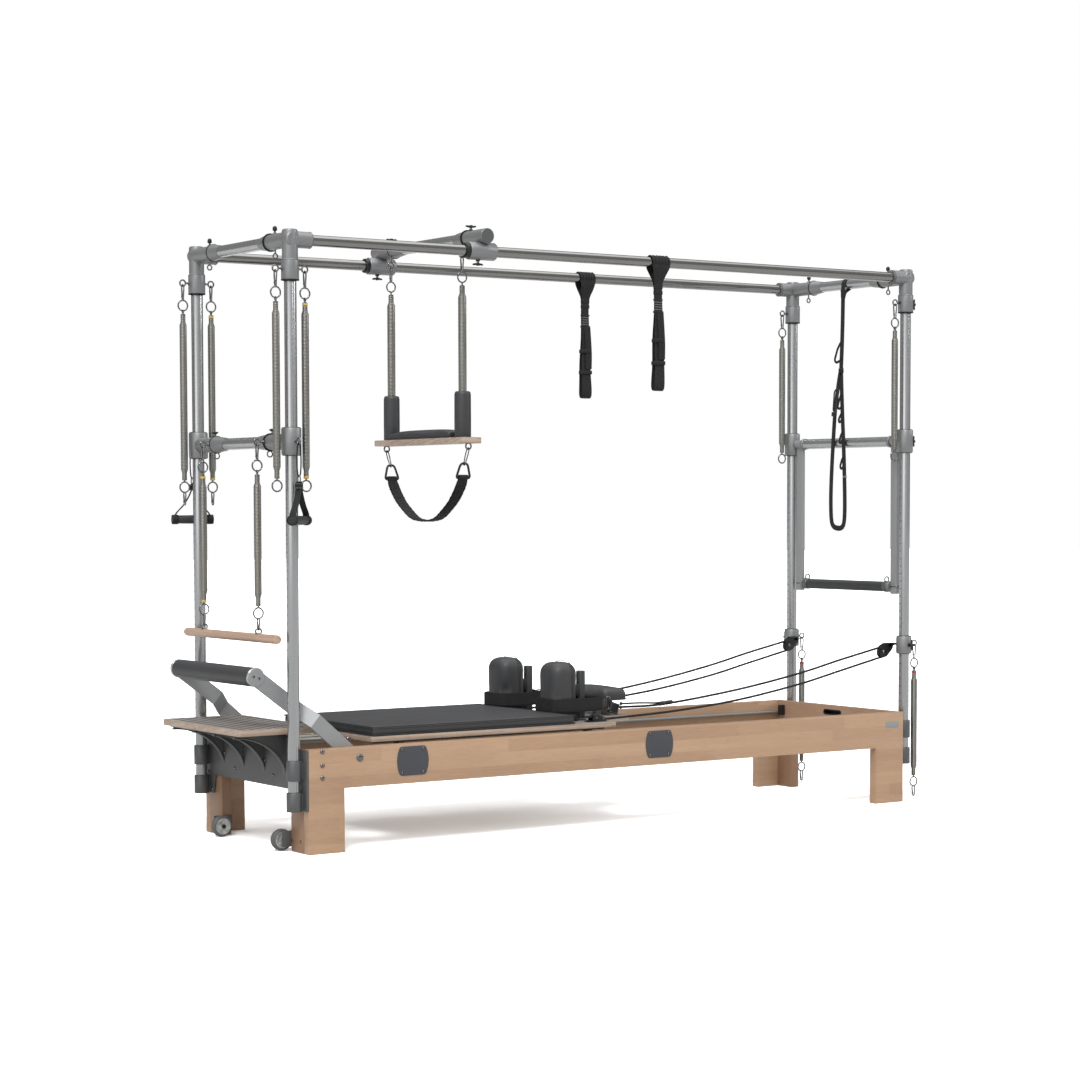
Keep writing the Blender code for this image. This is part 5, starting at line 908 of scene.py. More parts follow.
def transport_wheels():
    x, z = FOOT_X - 0.02, 0.0385
    half = 0.014
    tyre = both_ends([(0.0056, -half), (0.03, -half), (0.0335, -half + 0.0008), (0.0365, -0.0105),
        (0.038, -0.005)]) + [(0.0056, -half)]
    for name, side in SIDES:
        y = side * 0.2245
        shapes = [(lathe(tyre, (x, y, z), (0, 1, 0), 48), GREY_WHEEL)]
        for face in (-1, 1):
            rim = [(0, 0), (0.029, 0), (0.029, 0.0006), (0.0262, 0.0011), (0.0246, 0.0002), (0.013, 0.0002),
                (0.0122, 0.0016), (0.0085, 0.0018), (0, 0.0018)]
            shapes.append((lathe(rim, (x, y + face * (half - 0.0001), z), (0, face, 0), 48), WHEEL_FACE))
            shapes.append((lathe([(0, 0), (0.0072, 0), (0.0072, 0.0022), (0.0055, 0.0027), (0, 0.0027)],
                (x, y + face * half, z), (0, face, 0), 24), BLACK_METAL))
            shapes.append((lathe([(0, 0), (0.0036, 0), (0.0036, 0.0036), (0.0026, 0.0042), (0, 0.0042)],
                (x, y + face * half, z), (0, face, 0), 6), CHROME))
            for k in range(10):
                turn = math.tau * k / 10
                way = Vector((math.cos(turn), 0, math.sin(turn)))
                at = Vector((x, y + face * (half + 0.0002), z))
                shapes.append((tube([at + way * 0.0128, at + way * 0.0252], 0.0008, 6), WHEEL_FACE))
        piece(f"transport_wheel_{name}_tread", f"transport_wheel_{name}", shapes,
            [f"transport_wheel_{name}"])


# Tower

def post_shape(x, y, groove):
    """A post with a shallow groove down its outer side."""
    top, bottom = 2.037, 0.148
    steps = 96
    outline = []
    for k in range(steps):
        turn = math.tau * k / steps
        radius = POST_R
        away = abs((turn - groove + math.pi) % math.tau - math.pi)
        if away < 0.16:
            radius -= 0.0013 * math.cos(away / 0.16 * math.pi / 2) ** 2
        outline.append((x + radius * math.cos(turn), y + radius * math.sin(turn)))
    return slab(outline, bottom, top, "XY", 0.0006)


def post_sleeves(x, y, web):
    """The two sleeves round a post's foot, each with its web to the plate."""
    shapes = []
    for z0, z1 in ((0.148, 0.213), (0.253, 0.322)):
        shapes.append((lathe(sleeve(POST_R, 0.0265, z0, z1, 0.001, 0.0015), (x, y, 0)), CASTING_DARK))
        shapes.append((brick(web, (y - 0.014, y + 0.014), (z0 + 0.004, z1 - 0.004), 0.001), CASTING_DARK))
    return shapes


def post_holes(x, y, low, high, count):
    """A row of holes on each of two faces, each a dark disc of painted shade."""
    shapes = []
    for at in (x - POST_R, x + POST_R):
        shapes.append((made_by(ROW, {
            "Start": (at, y, low), "End": (at, y, high), "Count": count, "Radius": 0.0023, "Depth": 0.0008,
            "Turn": UPRIGHT, "Finish": HOLE_SHADE}), HOLE_SHADE))
    return shapes


def posts():
    for name, side in SIDES:
        y, outward = side * POST_Y, math.radians(90 * side)
        shapes = [(post_shape(FOOT_POST, y, outward), POST_METAL)] + post_holes(FOOT_POST, y, 0.46, 1.3, 29)
        piece(f"post_foot_{name}_tube", "frame", shapes, [f"post_foot_{name}"])
        shapes = [(post_shape(HEAD_POST, y, outward), POST_METAL)]
        plate_x = (HEAD_X + 0.0003, HEAD_X + 0.0063)
        shapes.append((brick(plate_x, (y - 0.032, y + 0.032), (0.14, 0.322), 0.0015), CASTING_DARK))
        shapes += post_sleeves(HEAD_POST, y, (plate_x[0] + 0.002, HEAD_POST - 0.0215))
        for z in (0.16, 0.233, 0.305):
            for dy in (-0.025, 0.025):
                shapes.append(dome((plate_x[1], y + dy, z), (1, 0, 0), 0.004, 0.0025))
        shapes += post_holes(HEAD_POST, y, 0.4, 1.33, 32)
        piece(f"post_head_{name}_tube", "frame", shapes, [f"post_head_{name}"])


def cross_tube(x, z, outer, inner, cup):
    """The tube across the frame with its socket, washer and tapered cup at each side."""
    shapes = [(bar(TUBE_R, (x, -outer + 0.01, z), (x, outer - 0.01, z), 0.0005), POST_METAL)]
    socket = [(0, outer), (0.025, outer), (0.027, outer - 0.002), (0.027, inner + 0.001), (0.026, inner),
        (0, inner)]
    washer = [(0, inner), (0.0315, inner), (0.0315, inner - 0.004), (0, inner - 0.004)]
    taper = [(0, inner - 0.004), (0.03, inner - 0.004), (0.0285, inner - 0.012),
             (0.0235, inner - cup + 0.01), (0.0218, inner - cup), (0, inner - cup)]
    for side in (-1, 1):
        for profile, look in ((socket, CASTING), (washer, BLACK_METAL), (taper, CASTING)):
            shapes.append((lathe([(r, side * h) for r, h in profile], (x, 0, z), (0, 1, 0)), look))
    return shapes


def corner(post_x, toward, side, reaches):
    y = side * POST_Y
    collar = [(POST_R + SLIDE_GAP, 1.945), (0.0295, 1.945), (0.0303, 1.947), (0.0303, 2.013), (0.029, 2.016),
        (0.027, 2.018), (0.027, 2.11), (0.0245, 2.1155), (0.02, 2.117), (0, 2.117)]
    shapes = [(lathe(collar, (post_x, y, 0)), CASTING), lip(0.0312, (post_x, y, 1.947), (0, 0, 1), 0.004),
        lip(0.0308, (post_x, y, 2.014), (0, 0, 1), 0.002, CASTING_DARK)]
    start, end = post_x - toward * 0.004, post_x + toward * 0.077
    shapes += [
        (bar(0.028, (start, y, CROSS_Z), (end, y, CROSS_Z), 0.0025), CASTING),
        lip(0.0287, (end - toward * 0.002, y, CROSS_Z), (toward, 0, 0), 0.003, CASTING_DARK),
        (bar(0.0262, (post_x, side * (POST_Y + 0.004), CROSS_Z), (post_x, side * (POST_Y + 0.0265), CROSS_Z),
            0.004), CASTING),
        *round_knob((post_x, side * (POST_Y - 0.105), CROSS_Z + 0.0265)),
    ]
    for reach in reaches:
        centre = (post_x + reach * EYE_X, y, EYE_Z)
        shapes += eye(centre, (post_x + reach * 0.0275, y, EYE_Z))
    return shapes


def headers():
    for name, x, toward, reaches in (("foot", FOOT_POST, 1, (-1, 1)), ("head", HEAD_POST, -1, (-1,))):
        shapes = cross_tube(x, CROSS_Z, POST_Y, POST_Y - 0.135, 0.06)
        for side in (1, -1):
            shapes += corner(x, toward, side, reaches)
            ring_y = side * 0.246
            shapes.append((hoop(0.0085, 0.0026, (x, ring_y, 2.034), "Y", 24, 8), CHROME))
            shapes.append((bar(0.003, (x, ring_y, 2.0435), (x, ring_y, 2.06), 0.0004, 12), CHROME))
        if name == "head":
            shapes += clamp_knob((HEAD_POST + 0.03, -POST_Y, 1.98), (1, 0, 0), (0, 0, 1))
        piece(f"header_{name}_casting", "frame", shapes, [f"header_{name}"])
    for name, side in SIDES:
        y = side * POST_Y
        start, end = FOOT_POST + 0.0323, HEAD_POST - 0.0323
        piece(f"top_rail_{name}_tube", "frame",
            [(bar(RAIL_R, (start, y, CROSS_Z), (end, y, CROSS_Z), 0.001, 56), RAIL_METAL)],
                [f"top_rail_{name}"])


# Springs that hang

def hook_top(eye_z):
    return eye_z - EYE_R + EYE_WIRE * 0.86 + 0.0022 + 0.0006


def spring_top(x, y, eye_z):
    """The snap hook, ring and stem under an eye, with the heights of the ring and the neck."""
    ring_z = eye_z - 0.08
    neck = ring_z - 0.03
    return snap_hook(x, y, hook_top(eye_z), ring_z + 0.0175) + [
        (hoop(RING_R, RING_WIRE, (x, y, ring_z)), CHROME),
        (tube([(x, y, ring_z - RING_R), (x, y, neck - 0.004)], 0.003, 12), CHROME)], ring_z, neck


def spring_parts(x, y, z, body, low_hook=0.0, caps=(None, None), low_to=None):
    """From its eye down: snap hook, ring, necked winding, ring, and a hook if it has one."""
    shapes, ring_z, neck = spring_top(x, y, z)
    end = neck - 0.072 - body
    low_ring = end - 0.024
    shapes.append((hoop(0.0058, 0.0022, (x, y, ring_z - 0.0215), "X", 20, 8), CHROME))
    shapes += winding(end + 0.004, neck - 0.004, 0.013, at=(x, y))
    collar = [(0, 0), (0.007, 0), (0.0086, 0.0016), (0.0086, 0.005), (0.0066, 0.0066), (0, 0.0066)]
    for height, cap, base in ((neck - 0.0065, caps[0], neck - 0.011), (end + 0.0003, caps[1], end + 0.001)):
        shapes.append((lathe(collar, (x, y, height)), CHROME))
        if cap:
            shapes.append((bar(0.0092, (x, y, base), (x, y, base + 0.009), 0.0012, 24), cap))
    shapes.append((tube([(x, y, end + 0.003), (x, y, low_ring + RING_R)], 0.003, 12), CHROME))
    shapes.append((hoop(RING_R, RING_WIRE, (x, y, low_ring)), CHROME))
    foot = low_ring - 0.0175
    if low_hook:
        shapes += snap_hook(x, y, foot, foot - low_hook)
    if low_to is not None:
        shapes += snap_hook(x, y, foot, low_to)
    return shapes


def hanging_springs():
    for name, side in SIDES:
        y = side * POST_Y
        rows = (("foot_%s_outer", FOOT_POST - EYE_X, 0.523), ("foot_%s_inner", FOOT_POST + EYE_X, 0.523),
            ("head_%s_upper", HEAD_POST - EYE_X, 0.4))
        for pattern, x, body in rows:
            node = "spring_" + pattern % name
            hook = 0.046 if side > 0 and body > 0.5 else 0
            caps = (YELLOW, YELLOW) if "inner" in node else (None, None)
            shapes = spring_parts(x, y, EYE_Z, body, hook, caps)
            piece(node + "_coil", node, shapes, [node])
        node = f"spring_head_{name}_lower"
        shapes = spring_parts(HEAD_POST + EYE_X, y, 0.63, 0.352, 0.04, (RED, None))
        piece(node + "_coil", node, shapes, [node])


# Foot crossbar, roll bar and handles

def collar_shape(x, y, bottom, top, radius):
    """A collar on a post, with the lip of its bush at each mouth."""
    return [(lathe(sleeve(POST_R, radius, bottom, top), (x, y, 0)), CASTING),
            lip(radius * 0.9, (x, y, bottom - 0.0006), (0, 0, 1), 0.0028),
            lip(radius * 0.9, (x, y, top + 0.0006), (0, 0, 1), 0.0028)]


def foot_crossbar():
    x, z = FOOT_POST, FOOT_BAR_Z
    inner = POST_Y - 0.145
    shapes = cross_tube(x, z, POST_Y - 0.02, inner, 0.08)
    for side in (1, -1):
        y = side * POST_Y
        shapes += [
            *collar_shape(x, y, z - 0.046, z + 0.046, 0.034),
            *clamp_knob((x, side * (inner + 0.012), z + 0.0265), (0, 0, 1), (0, 1, 0)),
            *eye((x - 0.055, side * 0.205, z), (x - 0.029, side * 0.205, z)),
            *eye((x, side * (POST_Y + 0.052), z), (x, side * (POST_Y + 0.031), z), "X"),
            (hoop(0.01, 0.0024, (x - 0.002, side * 0.199, z - 0.04), "Y", 24, 8), CHROME),
        ]
    piece("foot_crossbar_casting", "foot_crossbar", shapes, ["foot_crossbar"])
    roll_x, bar_z = x - 0.055, 0.736
    eye_z = bar_z + 0.0225
    radius = 0.0155
    profile = both_ends([(0, -0.344), (0.011, -0.344), (0.0145, -0.3415), (radius, -0.336)])
    shapes = [(lathe(profile, (roll_x, 0, bar_z), (0, 1, 0), 40), DOWEL)]
    for side in (1, -1):
        shapes.append((hoop(EYE_R, EYE_WIRE * 0.86, (roll_x, side * 0.205, eye_z)), CHROME))
        shapes.append((bar(0.0068, (roll_x, side * 0.205, bar_z + 0.0148), (roll_x, side * 0.205,
            bar_z + 0.017), 0.0004, 20), CHROME))
    piece("roll_bar_dowel", "roll_bar", shapes, ["roll_bar"])
    for name, side in SIDES:
        low_to = eye_z + EYE_R - EYE_WIRE - 0.0028
        caps = (YELLOW, YELLOW) if side > 0 else (None, None)
        shapes = spring_parts(roll_x, side * 0.205, z, 0.378, 0, caps, low_to)
        piece(f"roll_spring_{name}_coil", "roll_bar", shapes, [f"roll_spring_{name}"])


def handles():
    for name, side, angle in (("near", -1, 40), ("far", 1, 165)):
        y = side * (POST_Y + 0.052)
        grip_z = FOOT_BAR_Z - 0.266
        apex = grip_z + 0.101
        along = Vector((math.cos(math.radians(angle)), math.sin(math.radians(angle)), 0))
        across = along.cross(Vector((0, 0, 1)))
        centre = Vector((FOOT_POST, y, 0))
        low = centre + Vector((0, 0, grip_z))
        profile = both_ends([(0, -0.0725), (0.012, -0.0725), (0.015, -0.071), (0.0155, -0.068),
            (0.0146, -0.06), (0.0152, -0.03)], [(0.0155, 0.0)])
        shapes = [(lathe(profile, low, along, 32), FOAM)]
        for end in (-1, 1):
            shapes.append((lathe([(0, 0), (0.0105, 0), (0.0098, 0.001), (0, 0.0012)],
                low + along * 0.0724 * end, along * end, 24), BLACK_METAL))
        top = centre + Vector((0, 0, apex))
        for end in (-1, 1):
            path = smooth_path([low + along * 0.064 * end + Vector((0, 0, 0.002)),
            low + along * 0.06 * end + Vector((0, 0, 0.022)),
                                low.lerp(top, 0.55) + along * 0.03 * end, top + along * 0.005 * end,
                                    top + along * 0.0022 * end + Vector((0, 0, 0.03))], 0.008)
            widths = [0.024 - 0.004 * k / len(path) for k in range(len(path))]
            shapes.append((ribbon(list(zip(path, widths)), across, 0.003), WEBBING))
            around = [low + along * 0.064 * end + across * 0.0165 * math.cos(a) + Vector((0, 0,
                0.0165 * math.sin(a))) for a in np.linspace(0, math.tau, 21)[:-1]]
            shapes.append((ribbon([(p, 0.022) for p in around], along, 0.0018, True), WEBBING))
        shapes.append((brick((FOOT_POST - 0.0115, FOOT_POST + 0.0115), (y - 0.009, y + 0.009),
            (apex + 0.004, apex + 0.026), 0.003), WEBBING_FINE))
        for z in (apex + 0.008, apex + 0.022):
            shapes.append((centred((FOOT_POST, y, z), (0.0122, 0.0097, 0.0006), 0.0002, 1), STITCH))
        link = [(a, z) for a, z in ((0.0, 1.3992), (0.0042, 1.394), (0.0068, 1.372), (0.0078, 1.335),
            (0.006, 1.302), (0.003, 1.2885), (0.0, 1.287))]
        link += [(-a, z) for a, z in reversed(link[1:-1])]
        shapes.append((tube(smooth_path([(FOOT_POST + a, y, z) for a, z in link], 0.004, True), 0.0024, 10,
            True), WEBBING_FINE))
        shapes.append((hoop(0.0085, 0.0023, (FOOT_POST, y, 1.2775), "X", 26, 8, 0.0115), CHROME))
        piece(f"handle_{name}_grip", f"handle_{name}", shapes, [f"handle_{name}"])


# Head crossbar, push-through bar and pulleys

def head_crossbar():
    x, z = HEAD_POST, HEAD_BAR_Z
    shapes = [(bar(TUBE_R, (x, -0.2737, z), (x, 0.2737, z), 0.0006), POST_METAL)]
    for side in (1, -1):
        y = side * POST_Y
        shapes += [
            *collar_shape(x, y, z - 0.045, z + 0.045, 0.032),
            (bar(0.018, (x, side * 0.3123, z), (x, side * 0.322, z), 0.001), CASTING),
            (bar(0.009, (x, side * 0.262, z), (x, side * 0.32, z), 0.0005, 24), CHROME),
            (bar(0.0235, (x, side * 0.26, z), (x, side * 0.2737, z), 0.002), CASTING),
        ]
    shapes += clamp_knob((x + 0.0315, -POST_Y, z), (1, 0, 0), (0, 0, 1))
    piece("head_crossbar_tube", "head_crossbar", shapes, ["head_crossbar"])
    shapes = []
    low = z - 0.611
    for side in (1, -1):
        y0, y1 = side * 0.274, side * 0.312
        arm = oblong(y0, y1, low, z - 0.012, 0.006)
        shapes.append((slab(arm, x - 0.008, x + 0.008, "YZ", 0.0022), ARM_METAL))
        shapes.append((bar(0.018, (x, y0, z), (x, y1, z), 0.0012, bore=0.0097), ARM_METAL))
        shapes.append((bar(0.0085, (x, side * 0.262, 0.855), (x, side * 0.313, 0.855), 0.0012, 24), CHROME))
        at = (x, side * 0.246, 0.8835)
        shapes.append((hoop(EYE_R, EYE_WIRE * 0.86, at), CHROME))
        shapes.append((bar(0.0225, (x, side * 0.236, 0.855), (x, side * 0.262, 0.855), 0.002), CASTING_DARK))
        shapes.append(lip(0.0212, (x, side * 0.268, 0.855), (0, 1, 0), 0.011, CASTING))
    grip = [(0, -0.236)] + [(0.0205 - (0.0008 if abs(h) > 0.232 else 0), h) for h in np.linspace(-0.236,
        0.236, 25)] + [(0, 0.236)]
    shapes.append((lathe(grip, (x, 0, 0.855), (0, 1, 0), 36), FOAM))
    piece("push_bar_frame", "push_bar", shapes, ["push_bar"])


def pulleys():
    for name, side in SIDES:
        y = side * PULLEY.y
        post_y = side * POST_Y
        x, z = PULLEY.x, PULLEY.z
        shapes = collar_shape(HEAD_POST, post_y, 0.591, 0.659, 0.031)
        shapes += eye((HEAD_POST + EYE_X, post_y, 0.63), (HEAD_POST + 0.028, post_y, 0.63))
        shapes += clamp_knob((HEAD_POST, post_y + side * 0.0305, 0.625), (0, side, 0), (0, 0, 1))
        top = z + 0.0355
        cheek = rounded([(x - 0.0215, z - 0.014), (x - 0.006, z - 0.0225), (x + 0.016, z - 0.02),
            (x + 0.05, top - 0.022), (x + 0.05, top - 0.003), (x + 0.02, top + 0.001),
                (x - 0.014, top - 0.012)], 0.01, 6)
        for step in (1, -1):
            middle = y + step * 0.0086
            shapes.append((slab(cheek, middle - 0.0014, middle + 0.0014, "XZ", 0.0007), BLACK_METAL))
            shapes += socket_screw((x, middle + step * 0.0013, z), (0, step, 0), 0.0068)
        shapes += [
            (brick((x + 0.022, x + 0.048), (y - 0.01, y + 0.01), (top - 0.018, top - 0.003), 0.003),
                BLACK_METAL),
            (hoop(0.0085, 0.0028, (x + 0.052, y, top - 0.009), "Z", 24, 8), CHROME),
            (brick((x + 0.004, HEAD_POST - 0.008), (y - side * 0.004, y + side * 0.009), (top - 0.008, top),
                0.0015), BLACK_METAL),
            (brick((HEAD_POST - 0.022, HEAD_POST - 0.006), (y, post_y - side * 0.024), (top - 0.008, top),
                0.0015), BLACK_METAL),
            (bar(0.005, (x, y - 0.0095, z), (x, y + 0.0095, z), 0.0005, 20), CHROME),
        ]
        piece(f"pulley_collar_{name}_cast", f"pulley_collar_{name}", shapes, [f"pulley_collar_{name}"])
        groove = both_ends([(0.0056, -0.0065), (0.0233, -0.0065), (0.0235, -0.006), (0.0222, -0.005),
            (0.0182, -0.0037), (0.0169, -0.002)]) + [(0.0056, -0.0065)]
        piece(f"pulley_sheave_{name}_wheel", f"pulley_sheave_{name}",
            [(lathe(groove, (x, y, z), (0, 1, 0), 48), RUBBER)], [f"pulley_sheave_{name}"])


# Where the ropes part into runs, where their fittings sit, and how far the carriage runs.
SPLIT_X, TURN_END_X = 1.14, 1.345
GRIPPED_X, JOINT_X, AFTER_JOINT_X = FOOT_X + 1.402, FOOT_X + 1.585, FOOT_X + 1.65
ROPE_WIDE, STRAND_WIDE, ROPE_STEP = 0.0088, 0.007, 0.008
WRAP_R, KNOT_R, CARRIAGE_RUN = 0.0205, 0.0068, 0.9


def nearest_to(path, x, among):
    """The place in the path, among these, that lies nearest to an x."""
    return min(among, key=lambda i: abs(path[i].x - x))


def rope_run(name, holder, path, wide, replaced=()):
    """A length of rope along a path."""
    made = piece(name, holder, [(tube(path, wide / 2, 10), ROPE)], replaced, 60)
    return made


def ropes():
    """Each rope runs from the cleat to the sheave, round it, and back to the loop's buckle."""
    for name, side in SIDES:
        y = side * PULLEY.y
        wrap = []
        for angle in range(-6, 190, 11):
            turn = math.radians(angle)
            wrap.append((PULLEY.x + WRAP_R * math.sin(turn), y, PULLEY.z - WRAP_R * math.cos(turn)))
        lower = [(FOOT_X + x, side * away, z) for x, away, z in (
            (1.3, 0.281, 0.396), (1.345, 0.281, 0.3945), (1.64, 0.284, 0.408), (1.939, 0.287, 0.436),
            (2.238, 0.29, 0.483), (2.444, 0.292, 0.527))]
        upper = [(FOOT_X + x, side * away, z) for x, away, z in (
            (2.443, 0.292, 0.57), (2.238, 0.288, 0.525), (1.939, 0.276, 0.474), (1.606, 0.258, 0.434),
            (1.41, 0.245, 0.43))]
        # Graded points near the sheave keep the smoothed line from running past it and back.
        nearing = (0.6, 0.88, 0.97)
        onto = [tuple(Vector(lower[-1]).lerp(Vector(wrap[0]), t)) for t in nearing]
        off = [tuple(Vector(upper[0]).lerp(Vector(wrap[-1]), t)) for t in reversed(nearing)]
        route = smooth_path(lower + onto + wrap + off + upper, ROPE_STEP)
        turn_at = max(range(len(route)), key=lambda i: route[i].x)
        first = nearest_to(route, SPLIT_X, range(turn_at))
        second = nearest_to(route, SPLIT_X, range(turn_at, len(route)))
        gripped = nearest_to(route, GRIPPED_X, range(first))
        rope = f"rope_{name}"
        rope_run(rope + "_tail", "carriage", route[: gripped + 1], ROPE_WIDE)
        made = rope_run(rope + "_lower", "frame", route[gripped: first + 1], ROPE_WIDE, [rope])
        drawn_in(made)
        made = rope_run(rope + "_turn", None, route[first: second + 1], ROPE_WIDE)
        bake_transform(made)
        made = rope_run(rope + "_upper", "frame", route[second:], ROPE_WIDE)
        drawn_in(made)
        rope_end(name, route[second:])


def drawn_in(made):
    """The piece is given a mesh of its own."""
    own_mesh(made)


def rope_end(name, path):
    """The doubled end: a second strand, a knot on each, and the ferrule where they join."""
    end = path[-1]
    joint, after = (path[nearest_to(path, x, range(len(path)))] for x in (JOINT_X, AFTER_JOINT_X))
    start = end + Vector((0.003, 0, 0.0135))
    rise = [(0.12, 0.0125), (0.35, 0.012), (0.6, 0.0105), (0.85, 0.0078), (1.0, 0.0072)]
    line = [start] + [end.lerp(joint, t) + Vector((0, 0, up)) for t, up in rise]
    made = rope_run(f"rope_{name}_strand", "frame", smooth_path(line, ROPE_STEP), STRAND_WIDE)
    drawn_in(made)
    ball = [(0, -KNOT_R)] + [(KNOT_R * math.cos(a), KNOT_R * math.sin(a)) for a in (-1.1, -0.6, 0, 0.6, 1.1)]
    ball.append((0, KNOT_R))
    shapes = [(lathe(ball, at, (1, 0, 0), 20), RUBBER) for at in (end + Vector((0.001, 0, 0)), start)]
    ferrule = [(0, 0), (0.0062, 0), (0.0088, 0.003), (0.0088, 0.024), (0.0074, 0.026), (0.0074, 0.032),
               (0.0088, 0.034), (0.008, 0.058), (0.0046, 0.064), (0, 0.064)]
    root, way = joint + Vector((0, 0, 0.003)), (after - joint).normalized()
    shapes.append((lathe(ferrule, root, way, 24), BLACK_METAL))
    made = piece(f"rope_{name}_ferrule", "frame", shapes, ())
    drawn_in(made)


# Carriage

def cleat(x, y):
    """A rope cleat: a base, two side walls, a roller, a grooved jaw and its lever."""
    z = DECK_TOP
    shapes = [
        (brick((x - 0.034, x + 0.028), (y - 0.013, y + 0.013), (z - 0.001, z + 0.004), 0.0015), BLACK_METAL),
        (bar(0.0058, (x + 0.016, y - 0.01, z + 0.0095), (x + 0.016, y + 0.01, z + 0.0095), 0.001, 24),
            CHROME),
        (bar(0.0078, (x - 0.008, y - 0.0095, z + 0.0125), (x - 0.008, y + 0.0095, z + 0.0125), 0.0012, 28),
            BLACK_METAL),
        (brick((x - 0.036, x - 0.008), (y - 0.008, y + 0.008), (z + 0.0125, z + 0.0175), 0.002), BLACK_METAL),
    ]
    for side in (1, -1):
        wall = rounded([(x - 0.022, z + 0.003), (x + 0.023, z + 0.003), (x + 0.023, z + 0.013),
            (x - 0.006, z + 0.021), (x - 0.02, z + 0.017)], 0.006, 5)
        shapes.append((slab(wall, y + side * 0.0095, y + side * 0.0125, "XZ", 0.0006), BLACK_METAL))
        for place in ((x - 0.008, z + 0.0125), (x + 0.016, z + 0.0095)):
            shapes.append((lathe([(0, 0), (0.003, 0), (0.003, 0.0008), (0, 0.0012)],
                (place[0], y + side * 0.0124, place[1]), (0, side, 0), 16), CHROME))
    for u in (-0.029, 0.0245):
        shapes += socket_screw((x + u, y, z + 0.0039), (0, 0, 1), 0.0036)
    grown = Matrix.Translation((x, y, z)) @ Matrix.Scale(1.28, 4) @ Matrix.Translation((-x, -y, -z))
    return [(moved(shape, grown), look) for shape, look in shapes]


def carriage_deck():
    outlines = []
    for rim in (0, 0.0015):
        corners = [(DECK_START + rim, -0.333), (DECK_END - rim, -0.333), (DECK_END - rim, -0.12),
            (DECK_END + 0.215 - rim, -0.12)]
        outlines.append(rounded(corners + [(x, -y) for x, y in reversed(corners)], 0.008, 3))
    shapes = [(slab(outlines[0], DECK_LOW, DECK_TOP, "XY", 0.0012), PLY_EDGE)]
    inset = [(x, y * 0.9955) for x, y in outlines[1]]
    shapes.append((slab(inset, DECK_TOP - 0.001, DECK_TOP + 0.0002, "XY", 0), PLYWOOD))
    axle_z = 0.3403
    for side in (1, -1):
        shapes.append((brick((DECK_START + 0.004, DECK_START + 0.995), (side * 0.322, side * 0.3315),
            (0.3617, DECK_LOW + 0.0004), 0.0008), RUBBER))
        for x in (DECK_START + 0.12, DECK_END - 0.12):
            shapes.append((brick((x - 0.02, x + 0.02), (side * 0.316, side * 0.312),
                (0.322, DECK_LOW + 0.001), 0.001), PLATE_METAL))
            shapes.append((brick((x - 0.02, x + 0.02), (side * 0.316, side * 0.285),
                (DECK_LOW - 0.003, DECK_LOW + 0.0002), 0.001), PLATE_METAL))
            shapes.append((bar(0.005, (x, side * 0.313, axle_z), (x, side * 0.335, axle_z), 0.0008, 20),
                CHROME))
        shapes += cleat(DECK_END - 0.055, side * 0.28)
        base = side * REST_Y
        shapes.append((brick((DECK_START + 0.8725, REST_X + 0.052), (base - 0.06, base + 0.06),
            (DECK_TOP - 0.0005, REST_LOW - 0.0008), 0.006), RUBBER))
    hinge_x, hinge_z = HEADREST_X + 0.014, HINGE_Z
    for side in (1, -1):
        y = side * 0.07
        ear = rounded([(hinge_x - 0.009, DECK_TOP - 0.001), (hinge_x + 0.009, DECK_TOP - 0.001),
            (hinge_x + 0.0088, hinge_z + 0.008), (hinge_x - 0.0088, hinge_z + 0.008)], 0.0085, 6)
        shapes.append((slab(ear, y - 0.004, y + 0.004, "XZ", 0.001), PLATE_METAL))
    shapes.append((bar(0.005, (hinge_x, -0.076, hinge_z), (hinge_x, 0.076, hinge_z), 0.0008, 20), CHROME))
    piece("carriage_deck_board", "carriage", shapes, ["carriage_deck"])
    for end, x in (("foot", DECK_START + 0.12), ("head", DECK_END - 0.12)):
        for name, side in SIDES:
            y = side * 0.326
            tread = both_ends([(0.0056, -0.007), (0.0185, -0.007), (0.0212, -0.0062),
                (0.022, -0.0045)]) + [(0.0056, -0.007)]
            shapes = [(lathe(tread, (x, y, axle_z), (0, 1, 0), 40), RUBBER)]
            for face in (-1, 1):
                shapes.append((hoop(0.0105, 0.0009, (x, y + face * 0.007, axle_z), "Y", 28, 8), POST_METAL))
            node = f"carriage_wheel_{end}_{name}"
            piece(node + "_tread", node, shapes, [node])


